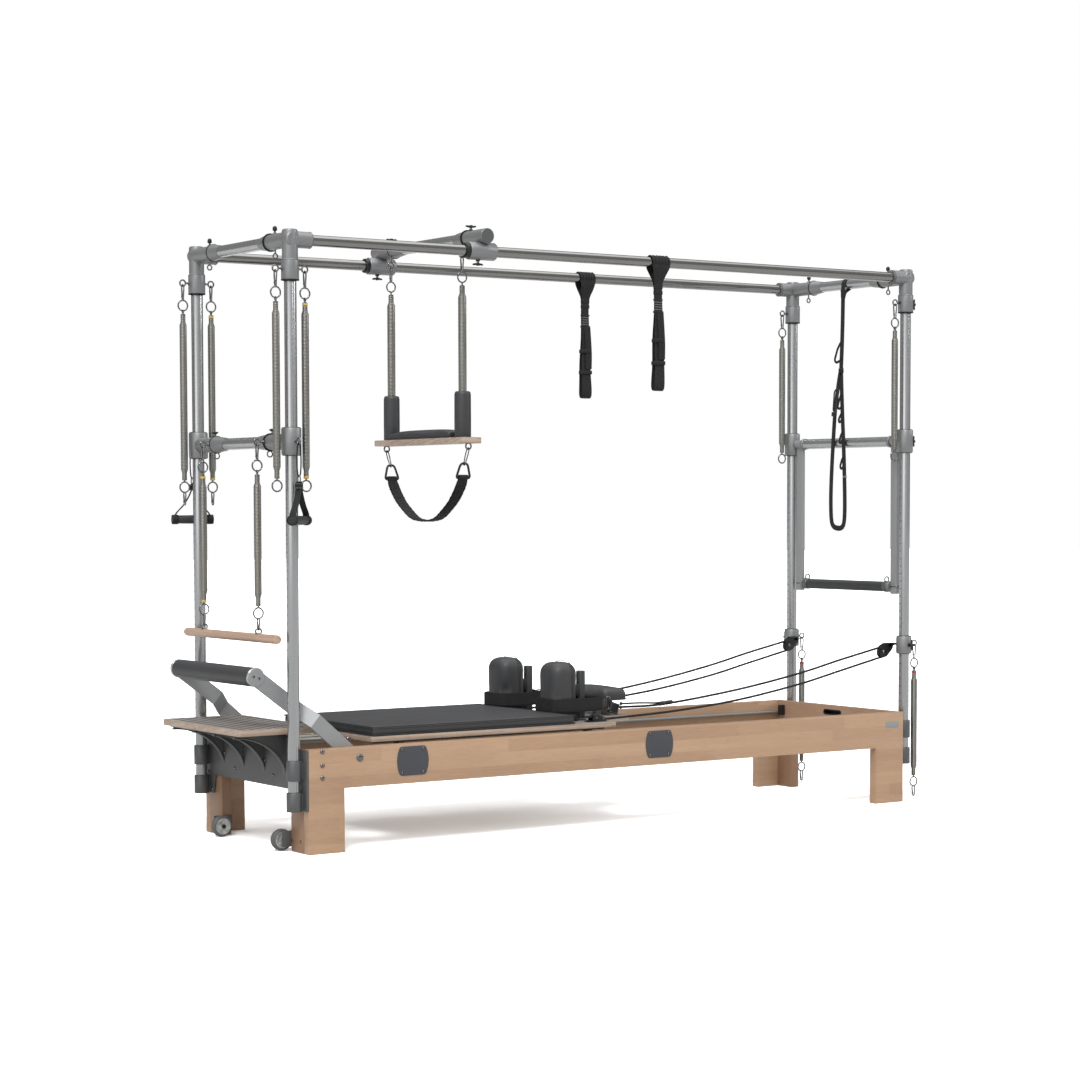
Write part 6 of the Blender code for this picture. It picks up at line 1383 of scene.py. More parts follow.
def cushion_cage(x, y, z, crown, waist):
    """A rounded, crowned block of even squares, to be swollen or smoothed."""
    bm = bmesh.new()
    counts = [max(3, round((b - a) / 0.03)) for a, b in (x, y)]
    grid = {}
    for level, height in enumerate((z[0], (z[0] + z[1]) / 2, z[1])):
        for i in range(counts[0] + 1):
            for j in range(counts[1] + 1):
                if level == 1 and 0 < i < counts[0] and 0 < j < counts[1]:
                    continue
                u, v = 2 * i / counts[0] - 1, 2 * j / counts[1] - 1
                px, py, pz = x[0] + (x[1] - x[0]) * (u + 1) / 2, y[0] + (y[1] - y[0]) * (v + 1) / 2, height
                if level == 2:
                    pz += crown * (1 - u ** 4) * (1 - v ** 4)
                if level != 1:
                    px -= math.copysign(waist, u) * (abs(u) == 1)
                    py -= math.copysign(waist, v) * (abs(v) == 1)
                grid[level, i, j] = bm.verts.new((px, py, pz))
    for i in range(counts[0]):
        for j in range(counts[1]):
            bm.faces.new([grid[2, a, b] for a, b in ((i, j), (i + 1, j), (i + 1, j + 1), (i, j + 1))])
            bm.faces.new([grid[0, a, b] for a, b in ((i, j), (i, j + 1), (i + 1, j + 1), (i + 1, j))])
    rim = [(i, 0) for i in range(counts[0])] + [(counts[0], j) for j in range(counts[1])]
    rim += [(i, counts[1]) for i in range(counts[0], 0, -1)] + [(0, j) for j in range(counts[1], 0, -1)]
    for (a, b), (c, d) in zip(rim, rim[1:] + rim[:1]):
        for level in (0, 1):
            bm.faces.new([grid[level, a, b], grid[level, c, d], grid[level + 1, c, d], grid[level + 1, a, b]])
    bmesh.ops.recalc_face_normals(bm, faces=bm.faces)
    return from_bmesh(bm)


def stuffed(shape, voxel, swell, pressure=4.0):
    """The shape remeshed and swollen as sewn cloth by simulation, no point moved past swell."""
    holder = mesh_object(*shape[:2])
    remesh = holder.modifiers.new("Even", "REMESH")
    remesh.mode = "VOXEL"
    remesh.voxel_size = voxel
    before, faces, _ = taken(holder)
    holder = mesh_object(before, faces)
    before = np.array(before)
    cloth = holder.modifiers.new("Cloth", "CLOTH")
    settings = cloth.settings
    settings.quality = 4
    settings.use_pressure = True
    settings.uniform_pressure_force = pressure
    settings.effector_weights.gravity = 0
    settings.tension_stiffness = settings.compression_stiffness = 18
    settings.shear_stiffness = 8
    settings.bending_stiffness = 0.8
    cloth.collision_settings.use_collision = False
    cloth.point_cache.frame_start, cloth.point_cache.frame_end = 1, CLOTH_FRAMES
    scene = bpy.context.scene
    for step in range(1, CLOTH_FRAMES + 1):
        scene.frame_set(step)
    after, faces, _ = taken(holder)
    scene.frame_set(1)
    move = np.array(after) - before
    length = np.linalg.norm(move, axis=1, keepdims=True)
    move *= np.minimum(1, swell / np.maximum(length, 1e-9))
    holder = mesh_object((before + move).tolist(), faces)
    even = holder.modifiers.new("Even out", "SMOOTH")
    even.factor = 0.5
    even.iterations = 4
    return taken(holder)


def held_in(shape, low, high):
    """The shape kept inside a box, so its foot lies flat and nothing passes a neighbour."""
    points = np.clip(np.array(shape[0]), np.array(low), np.array(high))
    return [tuple(p) for p in points.tolist()], shape[1], shape[2]


def piping(x, y, z, corner, radius, inset):
    """A bead of piping round a cushion's rim."""
    corners = oblong(x[0] + inset, x[1] - inset, y[0] + inset, y[1] - inset, corner, 6)
    return tube([(a, b, z) for a, b in corners], radius, 8, True)


def carriage_pad():
    x, y = (DECK_START + 0.004, DECK_START + 0.872), (-0.333, 0.333)
    low, top = DECK_TOP + 0.0004, 0.42
    cage = cushion_cage((x[0] + 0.003, x[1] - 0.003), (y[0] + 0.003, y[1] - 0.003), (low, top - 0.002),
        0.007, waist=0.003)
    body = held_in(stuffed(cage, 0.009, 0.004), (x[0], y[0], low), (x[1], y[1], 1))
    shapes = [(body, VINYL), (piping(x, y, top - 0.003, 0.01, 0.0021, 0.004), VINYL_SIDE),
        (piping(x, y, low + 0.004, 0.01, 0.0021, 0.004), VINYL_SIDE)]
    made = piece("carriage_pad_cover", "carriage", shapes, ["carriage_pad"], 60)


def pinched(shape, centre, depth, reach, axis):
    """The shape with a gathered dimple, drawn towards an upright axis near one point."""
    points = np.array(shape[0])
    away = np.linalg.norm((points - np.array(centre)) * (1.0, 1.0, 0.6), axis=1)
    inward = np.column_stack([axis[0] - points[:, 0], axis[1] - points[:, 1], np.zeros(len(points))])
    inward /= np.maximum(np.linalg.norm(inward, axis=1, keepdims=True), 1e-6)
    points += inward * (depth * np.exp(-(away / reach) ** 2))[:, None]
    return [tuple(p) for p in points.tolist()], shape[1], shape[2]


REST_X, REST_Y, REST_LOW, REST_TOP = DECK_START + 0.8935, 0.176, 0.4228, 0.6065
REST_HALF_X, REST_HALF_Y, REST_ROUND = 0.0575, 0.066, 0.044
PEG_X = DECK_START + 0.996


def shoulder_rests():
    for name, side in SIDES:
        x, y = REST_X, side * REST_Y
        block = brick((x - REST_HALF_X, x + REST_HALF_X), (y - REST_HALF_Y, y + REST_HALF_Y),
            (REST_LOW - 0.06, REST_TOP), REST_ROUND, 6)
        body = stuffed(block, 0.006, 0.004, 3.0)
        low = (x - REST_HALF_X - 0.004, y - REST_HALF_Y - 0.004, REST_LOW)
        body = held_in(body, low, (x + REST_HALF_X + 0.004, y + REST_HALF_Y + 0.004, 0.612))
        fold = (x - REST_HALF_X + 0.016, y - REST_HALF_Y + 0.004, 0.478)
        body = pinched(body, fold, 0.012 if side > 0 else 0.004, 0.02, (x, y))
        shapes = [(body, VINYL)]
        seam_x = x + 0.021
        edge, inner = REST_HALF_Y + 0.0026, REST_HALF_Y - REST_ROUND
        arch = [(y - edge, REST_LOW + 0.004), (y - edge, 0.5), (y - edge, REST_TOP - REST_ROUND)]
        arch += [(y - inner - (REST_ROUND + 0.0026) * math.cos(t),
            REST_TOP - REST_ROUND + (REST_ROUND + 0.0026) * math.sin(t)) for t in (0.4, 0.8, 1.2, 1.5708)]
        arch += [(2 * y - a, b) for a, b in reversed(arch)]
        shapes += [
            (tube(smooth_path([(seam_x, a, b) for a, b in arch], 0.006), 0.0014, 8), VINYL_SIDE),
            (lathe([(0, DECK_TOP + 0.0004), (0.0165, DECK_TOP + 0.0004), (0.017, DECK_TOP + 0.002),
                (0.017, 0.566), (0.015, 0.5694), (0, 0.57)], (PEG_X, y, 0), steps=36), FOAM),
            (bar(0.01, (PEG_X, y, DECK_LOW + 0.001), (PEG_X, y, DECK_TOP + 0.01), 0.001, 24), CHROME),
            (bar(0.021, (PEG_X, y, DECK_TOP + 0.0004), (PEG_X, y, DECK_TOP + 0.006), 0.001, 36), PLATE_METAL),
            (brick((x + REST_HALF_X - 0.012, PEG_X), (y - 0.012, y + 0.012), (0.474, 0.52), 0.003), RUBBER),
        ]
        node = f"shoulder_rest_{name}"
        made = piece(node + "_pad", node, shapes, [node], 60)


def headrest():
    low, top = 0.446, 0.491
    x0, x1 = HEADREST_X - 0.008, HEADREST_X + 0.114 - 0.008
    block = brick((x0 + 0.002, x1 - 0.002), (-0.137, 0.137), (low - 0.05, top), 0.022, 5)
    body = held_in(stuffed(block, 0.006, 0.006), (x0, -0.14, low), (x1, 0.14, 0.498))
    hinge_x = x0 + 0.022
    shapes = [(body, VINYL), (piping((x0, x1), (-0.14, 0.14), 0.4495, 0.022, 0.0018, 0.0005), VINYL_SIDE)]
    for side in (1, -1):
        y = side * 0.055
        lug = oblong(hinge_x - 0.01, hinge_x + 0.024, HINGE_Z - 0.01, low + 0.006, 0.006)
        shapes.append((slab(lug, y - 0.006, y + 0.006, "XZ", 0.001), PLATE_METAL))
    shapes.append((brick((x1 - 0.03, x1 - 0.018), (-0.06, 0.06), (DECK_TOP + 0.0004, low + 0.006), 0.002),
        PLYWOOD))
    made = piece("headrest_pad", "headrest", shapes, ["headrest"], 60)


def strap_loops():
    """Webbing laid round each shoulder rest, with its ring and keeper."""
    low, high = 0.4222, 0.4722
    middle = (low + high) / 2
    for name, side in SIDES:
        y = side * REST_Y
        x0, x1 = REST_X - REST_HALF_X - 0.0066, PEG_X + 0.025
        y0, y1 = y - REST_HALF_Y - 0.0085, y + REST_HALF_Y + 0.0085
        tail, neck = side * 0.232, DECK_END + 0.004
        corners = [(x0, y0), (x1, y0), (neck, tail - 0.006), (neck, tail + 0.006), (x1, y1), (x0, y1)]
        path = smooth_path([(a, b, middle + 0.0015 * math.sin(40 * a + 25 * b)) for a,
            b in rounded(corners, 0.036, 5)], 0.007, True)
        shapes = [(ribbon([(p, 0.05) for p in path], (0, 0, 1), 0.0032, True, 8), WEBBING)]
        for height in (-0.02, 0.02):
            seam = [(p + Vector((0, 0, height)), 0.0016) for p in path]
            shapes.append((ribbon(seam, (0, 0, 1), 0.0042, True, 4), WEBBING_FINE))
        ring_x = DECK_END + 0.032
        shapes.append((brick((neck - 0.004, ring_x - 0.006), (tail - 0.0052, tail + 0.0052),
            (middle - 0.019, middle + 0.019), 0.0022), WEBBING_FINE))
        shapes.append((brick((ring_x - 0.01, ring_x - 0.002), (tail - 0.0065, tail + 0.0065),
            (middle - 0.021, middle + 0.021), 0.0024), WEBBING_FINE))
        for k in range(3):
            sx = neck + 0.002 + k * 0.007
            shapes.append((brick((sx, sx + 0.0011), (tail - 0.0056, tail + 0.0056),
                (middle - 0.016, middle + 0.016), 0.0003, 1), STITCH))
        loop = [(ring_x - 0.006 + a, tail, middle + b) for a, b in ((0, -0.02), (0, 0.02), (0.013, 0.0205),
            (0.023, 0.008), (0.022, -0.012), (0.01, -0.021))]
        shapes.append((tube(smooth_path(loop, 0.003, True), 0.0024, 10, True), CHROME))
        keeper = rounded([(ring_x + 0.012, 0.4535), (ring_x + 0.052, 0.4395), (ring_x + 0.04, 0.4005),
            (ring_x + 0.0, 0.4135)], 0.004, 3)
        shapes.append((slab(keeper, tail - 0.0052, tail + 0.0052, "XZ", 0.002), WEBBING_FINE))
        stitch = rounded([(ring_x + 0.015, 0.4495), (ring_x + 0.0475, 0.438), (ring_x + 0.0375, 0.4055),
            (ring_x + 0.005, 0.4165)], 0.004, 3)
        for step in (1, -1):
            shapes.append((tube([(a, tail + step * 0.0051, b) for a, b in stitch], 0.0005, 6, True), STITCH))
        piece(f"strap_loop_{name}_webbing", "carriage", shapes, [f"strap_loop_{name}"], 60)


def carriage_springs():
    fixed_x, bar_x, z = FOOT_X + 0.03, DECK_START - 0.0083, 0.368
    loop = 0.0136
    start, end = fixed_x + loop, bar_x - 0.014
    shapes = []
    for k in range(4):
        y = (k - 1.5) * 0.1
        coil = winding(start, end, 0.011, 0.0011, 0.6, 0.02)
        turn = Matrix.Translation((0, y, z)) @ Matrix(((0, 0, 1, 0), (0, 1, 0, 0), (-1, 0, 0, 0),
            (0, 0, 0, 1)))
        shapes += [(moved(shape, turn), look) for shape, look in coil]
        shapes.append((hoop(loop, 0.002, (fixed_x, y, z), "Y", 28, 8), CHROME))
        shapes.append((bar(0.003, (end - 0.004, y, z), (bar_x, y, z), 0.0004, 12), CHROME))
        shapes.append((bar(0.0072, (end - 0.01, y, z), (end - 0.001, y, z), 0.001, 20),
            (YELLOW, RED, YELLOW, RED)[k]))
    shapes.append((bar(0.008, (bar_x, -0.19, z), (bar_x, 0.19, z), 0.0008, 24), POST_METAL))
    made = piece("carriage_spring_coils", None, shapes, ["carriage_springs"])
    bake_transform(made)


# Footbar

def footbar():
    pivot, lower, upper, pad = (Vector(p) for p in ((0.2, 0.323), (0.05, 0.453), (0.002, 0.495),
        (-0.15, 0.608)))
    shapes = []
    for side in (1, -1):
        out_y, in_y = 0.342, 0.29
        line = []
        for a, b, ya, yb in ((pivot, lower, out_y, out_y), (lower, upper, out_y, in_y),
                (upper, pad, in_y, in_y)):
            for t in (0.0, 0.06, 0.5, 0.94):
                line.append((a.lerp(b, t), ya + (yb - ya) * t))
        line.append((pad, in_y))
        points, faces = [], []
        for i, (p, yy) in enumerate(line):
            before, after = line[max(i - 1, 0)][0], line[min(i + 1, len(line) - 1)][0]
            way = (after - before).normalized()
            across = Vector((-way.y, way.x))
            for u, w in ((-0.028, -0.0037), (-0.0267, -0.005), (0.0267, -0.005), (0.028, -0.0037),
                    (0.028, 0.0037), (0.0267, 0.005), (-0.0267, 0.005), (-0.028, 0.0037)):
                q = p + across * u
                points.append((FOOT_X + q.x, side * (yy + w), q.y))
        for i in range(len(line) - 1):
            for k in range(8):
                m = (k + 1) % 8
                face = (i * 8 + k, i * 8 + m, (i + 1) * 8 + m, (i + 1) * 8 + k)
                faces.append(face if side < 0 else face[::-1])
        faces += [tuple(range(8))[:: 1 if side > 0 else -1], tuple(range(len(points) - 8, len(points)))[:: -1
            if side > 0 else 1]]
        shapes.append(((points, faces, None), ARM_METAL))
        px, pz = FOOT_X + pivot.x, pivot.y
        shapes.append((bar(0.028, (px, side * 0.337, pz), (px, side * 0.347, pz), 0.0013, 48, 0.0087),
            ARM_METAL))
        gx, gz = FOOT_X + pad.x, pad.y
        shapes.append((bar(0.033, (gx, side * 0.285, gz), (gx, side * 0.297, gz), 0.0018, 56), POST_METAL))
        shapes.append((bar(0.0275, (gx, side * 0.296, gz), (gx, side * 0.2978, gz), 0.0007, 56), ARM_METAL))
        for dx, dz in ((-0.01, 0.003), (0.011, -0.004)):
            shapes += socket_screw((gx + dx, side * 0.2976, gz + dz), (0, side, 0), 0.0046)
    gx, gz = FOOT_X + pad.x, pad.y
    shapes.append((bar(0.016, (gx, -0.29, gz), (gx, 0.29, gz), 0.001, 24), POST_METAL))
    piece("footbar_arms", "footbar", shapes, ["footbar_frame"], 30)
    profile = both_ends([(0.0163, -0.2847), (0.031, -0.2847), (0.0328, -0.2825), (0.033, -0.279)],
        [(0.033, h) for h in np.linspace(-0.26, 0.26, 9)]) + [(0.0163, -0.2847)]
    shapes = [(lathe(profile, (gx, 0, gz), (0, 1, 0), 56), VINYL)]
    seam = [(gx - 0.0331 * math.cos(math.radians(35)), h, gz - 0.0331 * math.sin(math.radians(35)))
        for h in (-0.282, -0.1, 0.1, 0.282)]
    shapes.append((tube(seam, 0.0007, 6), VINYL_SIDE))
    made = piece("footbar_pad_sleeve", "footbar", shapes, ["footbar_pad"])


# Trapeze

def trapeze_slider():
    x, cross_x, z = -0.57085, -0.56485, CROSS_Z + 0.052
    start, end = x - 0.055, x + 0.055
    shapes = cross_tube(cross_x, z, 0.385, 0.255, 0.07)
    for side in (1, -1):
        y = side * POST_Y
        shapes.append((lathe(sleeve(RAIL_R, 0.0315, 0, 0.11), (start, y, CROSS_Z), (1, 0, 0)), CASTING))
        bush = [(RAIL_R + SLIDE_GAP, 0), (0.025, 0), (0.0268, 0.0015), (0.0268, 0.016),
            (RAIL_R + SLIDE_GAP, 0.016), (RAIL_R + SLIDE_GAP, 0)]
        shapes += [
            (lathe(bush, (start - 0.015, y, CROSS_Z), (1, 0, 0)), BLACK_METAL),
            lip(0.0272, (end + 0.001, y, CROSS_Z), (1, 0, 0), 0.003),
            *clamp_knob((x - 0.013, y, CROSS_Z - 0.0312), (0, 0, -1), (1, 0, 0)),
            *clamp_knob((cross_x, side * 0.275, z + 0.0265), (0, 0, 1), (1, 0, 0)),
            (bar(0.0262, (cross_x, side * 0.378, z), (cross_x, side * 0.3862, z), 0.0012), CASTING_DARK),
        ]
        at = Vector((TRAPEZE_X, side * 0.247, TRAPEZE_Z))
        shapes += eye(at, Vector((TRAPEZE_X, side * 0.247, z - 0.0195)))
    piece("trapeze_slider_casting", "trapeze_slider", shapes, ["trapeze_slider"])


def trapeze():
    x = TRAPEZE_X
    half, width = 0.311, 0.041
    low, top = PLANK_Z - 0.011, PLANK_Z + 0.011
    corners = oblong(x - width, x + width, -half, half, 0.01)
    shapes = [(slab(corners, low, top, "XY", 0.0025), PLY_EDGE)]
    eye_z = low - 0.01
    for side in (1, -1):
        shapes += eye((x, side * 0.284, eye_z), (x, side * 0.284, low + 0.002))
    piece("trapeze_plank_board", "trapeze", shapes, ["trapeze_plank"])
    pad_y = 0.248 - 0.032
    cage = cushion_cage((x - width + 0.003, x + width - 0.003), (-pad_y + 0.003, pad_y - 0.003),
        (top + 0.0006, top + 0.02), 0.008, waist=0.003)
    body = held_in(stuffed(cage, 0.005, 0.005), (x - width, -pad_y, top + 0.0004),
        (x + width, pad_y, top + 0.036))
    made = piece("trapeze_pad_cover", "trapeze",
        [(body, VINYL), (piping((x - width, x + width), (-pad_y, pad_y), top + 0.003, 0.01, 0.0014, 0.0015),
            VINYL_SIDE)], ["trapeze_pad"], 60)
    for name, side in SIDES:
        y = side * 0.247
        sleeve_low, sleeve_top = top + 0.0004, top + 0.1643
        shapes, _, neck = spring_top(x, y, TRAPEZE_Z)
        shapes += winding(sleeve_top - 0.06, neck - 0.004, 0.015, 0.0013, 0.64, 0.012, (x, y))
        collar = [(0, 0), (0.007, 0), (0.009, 0.0016), (0.009, 0.006), (0.0066, 0.0076), (0, 0.0076)]
        shapes.append((lathe(collar, (x, y, neck - 0.006)), CHROME))
        cover = [(0.016, sleeve_low), (0.0285, sleeve_low), (0.0298, sleeve_low + 0.003),
            (0.03, sleeve_low + 0.06), (0.0296, sleeve_top - 0.012), (0.0275, sleeve_top - 0.003),
                (0.024, sleeve_top), (0.0165, sleeve_top), (0.0165, sleeve_top - 0.01), (0.016, sleeve_low)]
        shapes.append((lathe(cover, (x, y, 0), steps=44), VINYL))
        seam = [(x + 0.0302 * math.cos(math.radians(-60)), y + 0.0302 * math.sin(math.radians(-60)), h)
            for h in (sleeve_low + 0.004, sleeve_low + 0.08, sleeve_top - 0.014)]
        shapes.append((tube(seam, 0.0008, 6), VINYL_SIDE))
        piece(f"trapeze_spring_{name}_coil", "trapeze", shapes, [f"trapeze_spring_{name}"])
    sling(x, eye_z)


def sling(x, eye_z):
    half = [(0.2495, 1.296), (0.243, 1.272), (0.22, 1.24), (0.176, 1.198), (0.122, 1.16), (0.07, 1.138),
        (0.022, 1.1315)]
    line = [(x, y, z) for y, z in half] + [(x, 0, 1.1308)] + [(x, -y, z) for y, z in reversed(half)]
    path = smooth_path(line, 0.006)
    stations = []
    for k, p in enumerate(path):
        edge = min(1.0, (0.2505 - abs(p.y)) / 0.012)
        width = 0.038 + 0.008 * max(0.0, edge)
        stations.append((p + Vector((0.0012 * math.sin(p.y * 60), 0, 0.0006 * math.sin(k * 1.7))), width))
    shapes = [(ribbon(stations, (1, 0, 0), 0.0045, cross=8), WEBBING)]
    for across in (-0.018, 0.0, 0.018):
        seam = [(p + Vector((across, 0, 0.0001)), 0.0018) for p, _ in stations]
        shapes.append((ribbon(seam, (1, 0, 0), 0.0054, cross=4), WEBBING_FINE))
    for side in (1, -1):
        top_y, low_y = side * 0.284, side * 0.255
        hang = eye_z - EYE_R + 0.0054
        low_z = 1.33
        link = []
        for t, w in ((0.0, 0.0), (0.05, 0.55), (0.15, 0.9), (0.4, 1.0), (0.7, 0.75), (0.9, 0.6), (1.0, 0.0)):
            link.append((w * 0.0085, t))
        link += [(-w, t) for w, t in reversed(link[1:-1])]
        ring = [(x, top_y + (low_y - top_y) * t + w, hang + (low_z - hang) * t) for w, t in link]
        shapes.append((tube(smooth_path(ring, 0.0025, True), 0.0022, 8, True), CHROME))
        triangle = rounded([(x - 0.014, 1.3375), (x - 0.03, 1.284), (x + 0.03, 1.284), (x + 0.014, 1.3375)],
            0.013, 6)
        shapes.append((tube([(a, low_y - side * 0.006 * (1.333 - b) / 0.039, b) for a, b in triangle],
            0.0042, 10, True), BLACK_METAL))
        wrap = [(x, side * 0.2495 + 0.0052 * math.cos(a), 1.2885 + 0.0058 * math.sin(a))
            for a in np.linspace(0, math.tau, 17)[:-1]]
        shapes.append((ribbon([(p, 0.04) for p in wrap], (1, 0, 0), 0.0024, True), WEBBING_FINE))
        for k in range(3):
            place = path[8 + 3 * k]
            shapes.append((brick((x - 0.023, x + 0.023), (side * place.y - 0.0014, side * place.y + 0.0014),
                (place.z - 0.0036, place.z + 0.0036), 0.0003, 1), WEBBING_FINE))
    piece("trapeze_sling_webbing", "trapeze", shapes, ["trapeze_sling"], 60)


# Straps that hang from the tower

def loop_straps():
    """Webbing gathered over a rail, stitched into a stem, open below as a foot loop."""
    for name, side, offset, gather in (("near", -1, 1.508, 0.098), ("far", 1, 1.669, 0.088)):
        y, cx = side * POST_Y, FOOT_X + offset
        wrap = RAIL_R + 0.0026
        right = [(0.0038, 1.6115, 0.06), (0.0095, 1.622, 0.061), (0.011, 1.645, 0.06), (0.009, 1.7, 0.057),
        (0.008, 1.76, 0.054), (0.007, 1.82, 0.049), (0.0048, 1.885, 0.045),
                 (0.0036, 1.935, 0.043), (0.0036, 1.985, 0.044), (0.006, 2.012, 0.052), (0.013, 2.036, 0.07),
                     (wrap * 0.93, 2.06, gather - 0.008)]
        over = [(wrap * math.cos(math.radians(a)), CROSS_Z + wrap * math.sin(math.radians(a)), gather)
            for a in (-20, 0, 25, 50, 72)]
        half = right + over
        line = [(dy, z, w) for dy, z, w in half] + [(0, CROSS_Z + wrap, gather)] + [(-dy, z, w) for dy, z,
            w in reversed(half)]
        path = [Vector((w, y + dy, z)) for dy, z, w in line]
        fine = smooth_path(path, 0.006, True)
        stations = []
        for p in fine:
            slim = 0.76 + 0.08 * min(1.0, max(0.0, (p.z - 2.0) / 0.06))
            stations.append((Vector((cx + 0.0012 * math.sin(p.z * 31 + side), p.y, p.z)), p.x * slim))
        shapes = [(ribbon(stations, (1, 0, 0), 0.003, True, 10), WEBBING)]
        for fold in (-0.38, -0.24, -0.08, 0.06, 0.2, 0.36):
            curve = []
            for a in np.linspace(-48, 228, 19):
                turn = math.radians(a)
                low = min(1.0, max(0.0, (CROSS_Z - 0.008 - (CROSS_Z + wrap * math.sin(turn))) / 0.012))
                curve.append((cx + fold * gather * (1 - 0.3 * low), y + (wrap + 0.0016) * math.cos(turn),
                    CROSS_Z + (wrap + 0.0016) * math.sin(turn)))
            sizes = [0.001 + 0.0022 * math.sin(math.pi * k / 18) for k in range(19)]
            shapes.append((tube(curve, sizes, 8), WEBBING_FINE))
        for z in (1.992, 1.972):
            shapes.append((centred((cx, y, z), (0.0182, 0.006, 0.008), 0.002), WEBBING_FINE))
        buckle = 1.923 if side < 0 else 1.915
        for k in range(4):
            z = buckle + (k - 1.5) * 0.009
            shapes.append((centred((cx, y, z), (0.016, 0.0064, 0.001), 0.0004, 1), STITCH))
        shapes.append((brick((cx - 0.0196, cx + 0.0196), (y - 0.0062, y + 0.0062),
            (buckle - 0.026, buckle - 0.019), 0.0014), BLACK_METAL))
        shapes.append((brick((cx - 0.0188, cx + 0.0188), (y - 0.006, y + 0.006),
            (buckle + 0.019, buckle + 0.025), 0.0014), BLACK_METAL))
        tail = smooth_path([(cx + 0.005, y - 0.0072, buckle - 0.02), (cx + 0.007, y - 0.0108, 1.84),
            (cx + 0.009, y - 0.0125, 1.78), (cx + 0.008, y - 0.0128, 1.725)], 0.008)
        shapes.append((ribbon([(p, 0.03) for p in tail], (1, 0, 0), 0.0026), WEBBING_FINE))
        for z, half_width in ((1.795, 0.0222), (1.712, 0.024)):
            shapes.append((brick((cx - half_width, cx + half_width), (y - 0.0155, y + 0.0115),
                (z - 0.0075, z + 0.0075), 0.0024), WEBBING_FINE))
        piece(f"loop_strap_{name}_webbing", "frame", shapes, [f"loop_strap_{name}"], 60)


def long_strap():
    """A hanging strap that opens into one long loop, with a ladder of hand loops inside it."""
    x = HEAD_POST
    wrap = TUBE_R + 0.0022
    drop = x - TUBE_R - 0.004
    around = [(x + wrap * math.cos(math.radians(a)), 0.0, CROSS_Z + wrap * math.sin(math.radians(a)))
        for a in range(-40, 181, 20)]
    around += [(drop - 0.0015, 0.0, CROSS_Z - 0.035), (drop, 0.0, CROSS_Z - 0.058),
        (drop + 0.004, 0.0, CROSS_Z - 0.04)]
    shapes = [(ribbon([(p, 0.024) for p in smooth_path(around, 0.005, True)], (0, 1, 0), 0.003, True, 6),
        WEBBING)]
    fold = rounded([(-0.026, CROSS_Z - 0.022), (0.013, CROSS_Z - 0.022), (0.006, CROSS_Z - 0.07),
        (-0.006, CROSS_Z - 0.07)], 0.003, 3)
    shapes.append((slab(fold, drop - 0.0035, drop + 0.0025, "YZ", 0.001), WEBBING_FINE))
    stem = smooth_path([(drop, 0.0, CROSS_Z - 0.05), (drop, 0.002, 1.93), (drop, 0.006, 1.82),
        (drop, 0.01, 1.74), (drop, 0.009, 1.69)], 0.012)
    shapes.append((ribbon([(p, 0.0235) for p in stem], (0, 1, 0), 0.0036), WEBBING))
    right = [(0.01, 1.73), (0.006, 1.65), (0.0, 1.54), (-0.007, 1.43), (-0.013, 1.3), (-0.016, 1.18),
        (-0.012, 1.115), (0.002, 1.0915)]
    left = [(0.03, 1.0885), (0.056, 1.098), (0.068, 1.13), (0.071, 1.22), (0.066, 1.33), (0.057, 1.45),
        (0.047, 1.56), (0.032, 1.65), (0.018, 1.715)]
    loop = smooth_path([(drop, y, z) for y, z in right + left], 0.01, True)
    shapes.append((flat_strip(loop, 0.0215, 0.0042), WEBBING))
    for top, bottom, reach in ((1.85, 1.765, 0.04), (1.64, 1.575, 0.026), (1.56, 1.52, 0.02),
            (1.485, 1.435, 0.022), (1.385, 1.33, 0.022)):
        inner = [p for p in right if p[1] <= top] or right
        edge = 0.01 if top > 1.7 else inner[0][0] + 0.004
        small = [(edge, top), (edge + reach * 0.55, (top * 2 + bottom) / 3), (edge + reach, bottom + 0.012),
            (edge + reach * 0.75, bottom), (edge, bottom + 0.01)]
        shapes.append((flat_strip([(drop - 0.0008, a, b) for a, b in rounded(small, 0.009, 3)], 0.01,
            0.0036), WEBBING_FINE))
    buckle = rounded([(0.024, 1.665), (0.05, 1.65), (0.058, 1.57), (0.04, 1.56)], 0.008, 4)
    shapes += [
        (flat_strip([(drop - 0.001, a, b) for a, b in buckle], 0.005, 0.0046), CHROME),
        (slab(rounded([(0.038, 1.56), (0.064, 1.566), (0.066, 1.548), (0.04, 1.544)], 0.003, 3),
            drop - 0.0045, drop + 0.0035, "YZ", 0.0014), BLACK_METAL),
        (brick((drop - 0.0042, drop + 0.0034), (-0.003, 0.023), (1.722, 1.742), 0.002), WEBBING_FINE),
        (brick((drop - 0.0036, drop + 0.003), (-0.026, -0.006), (1.296, 1.302), 0.0008), STITCH),
    ]
    piece("long_strap_webbing", "frame", shapes, ["long_strap"], 60)


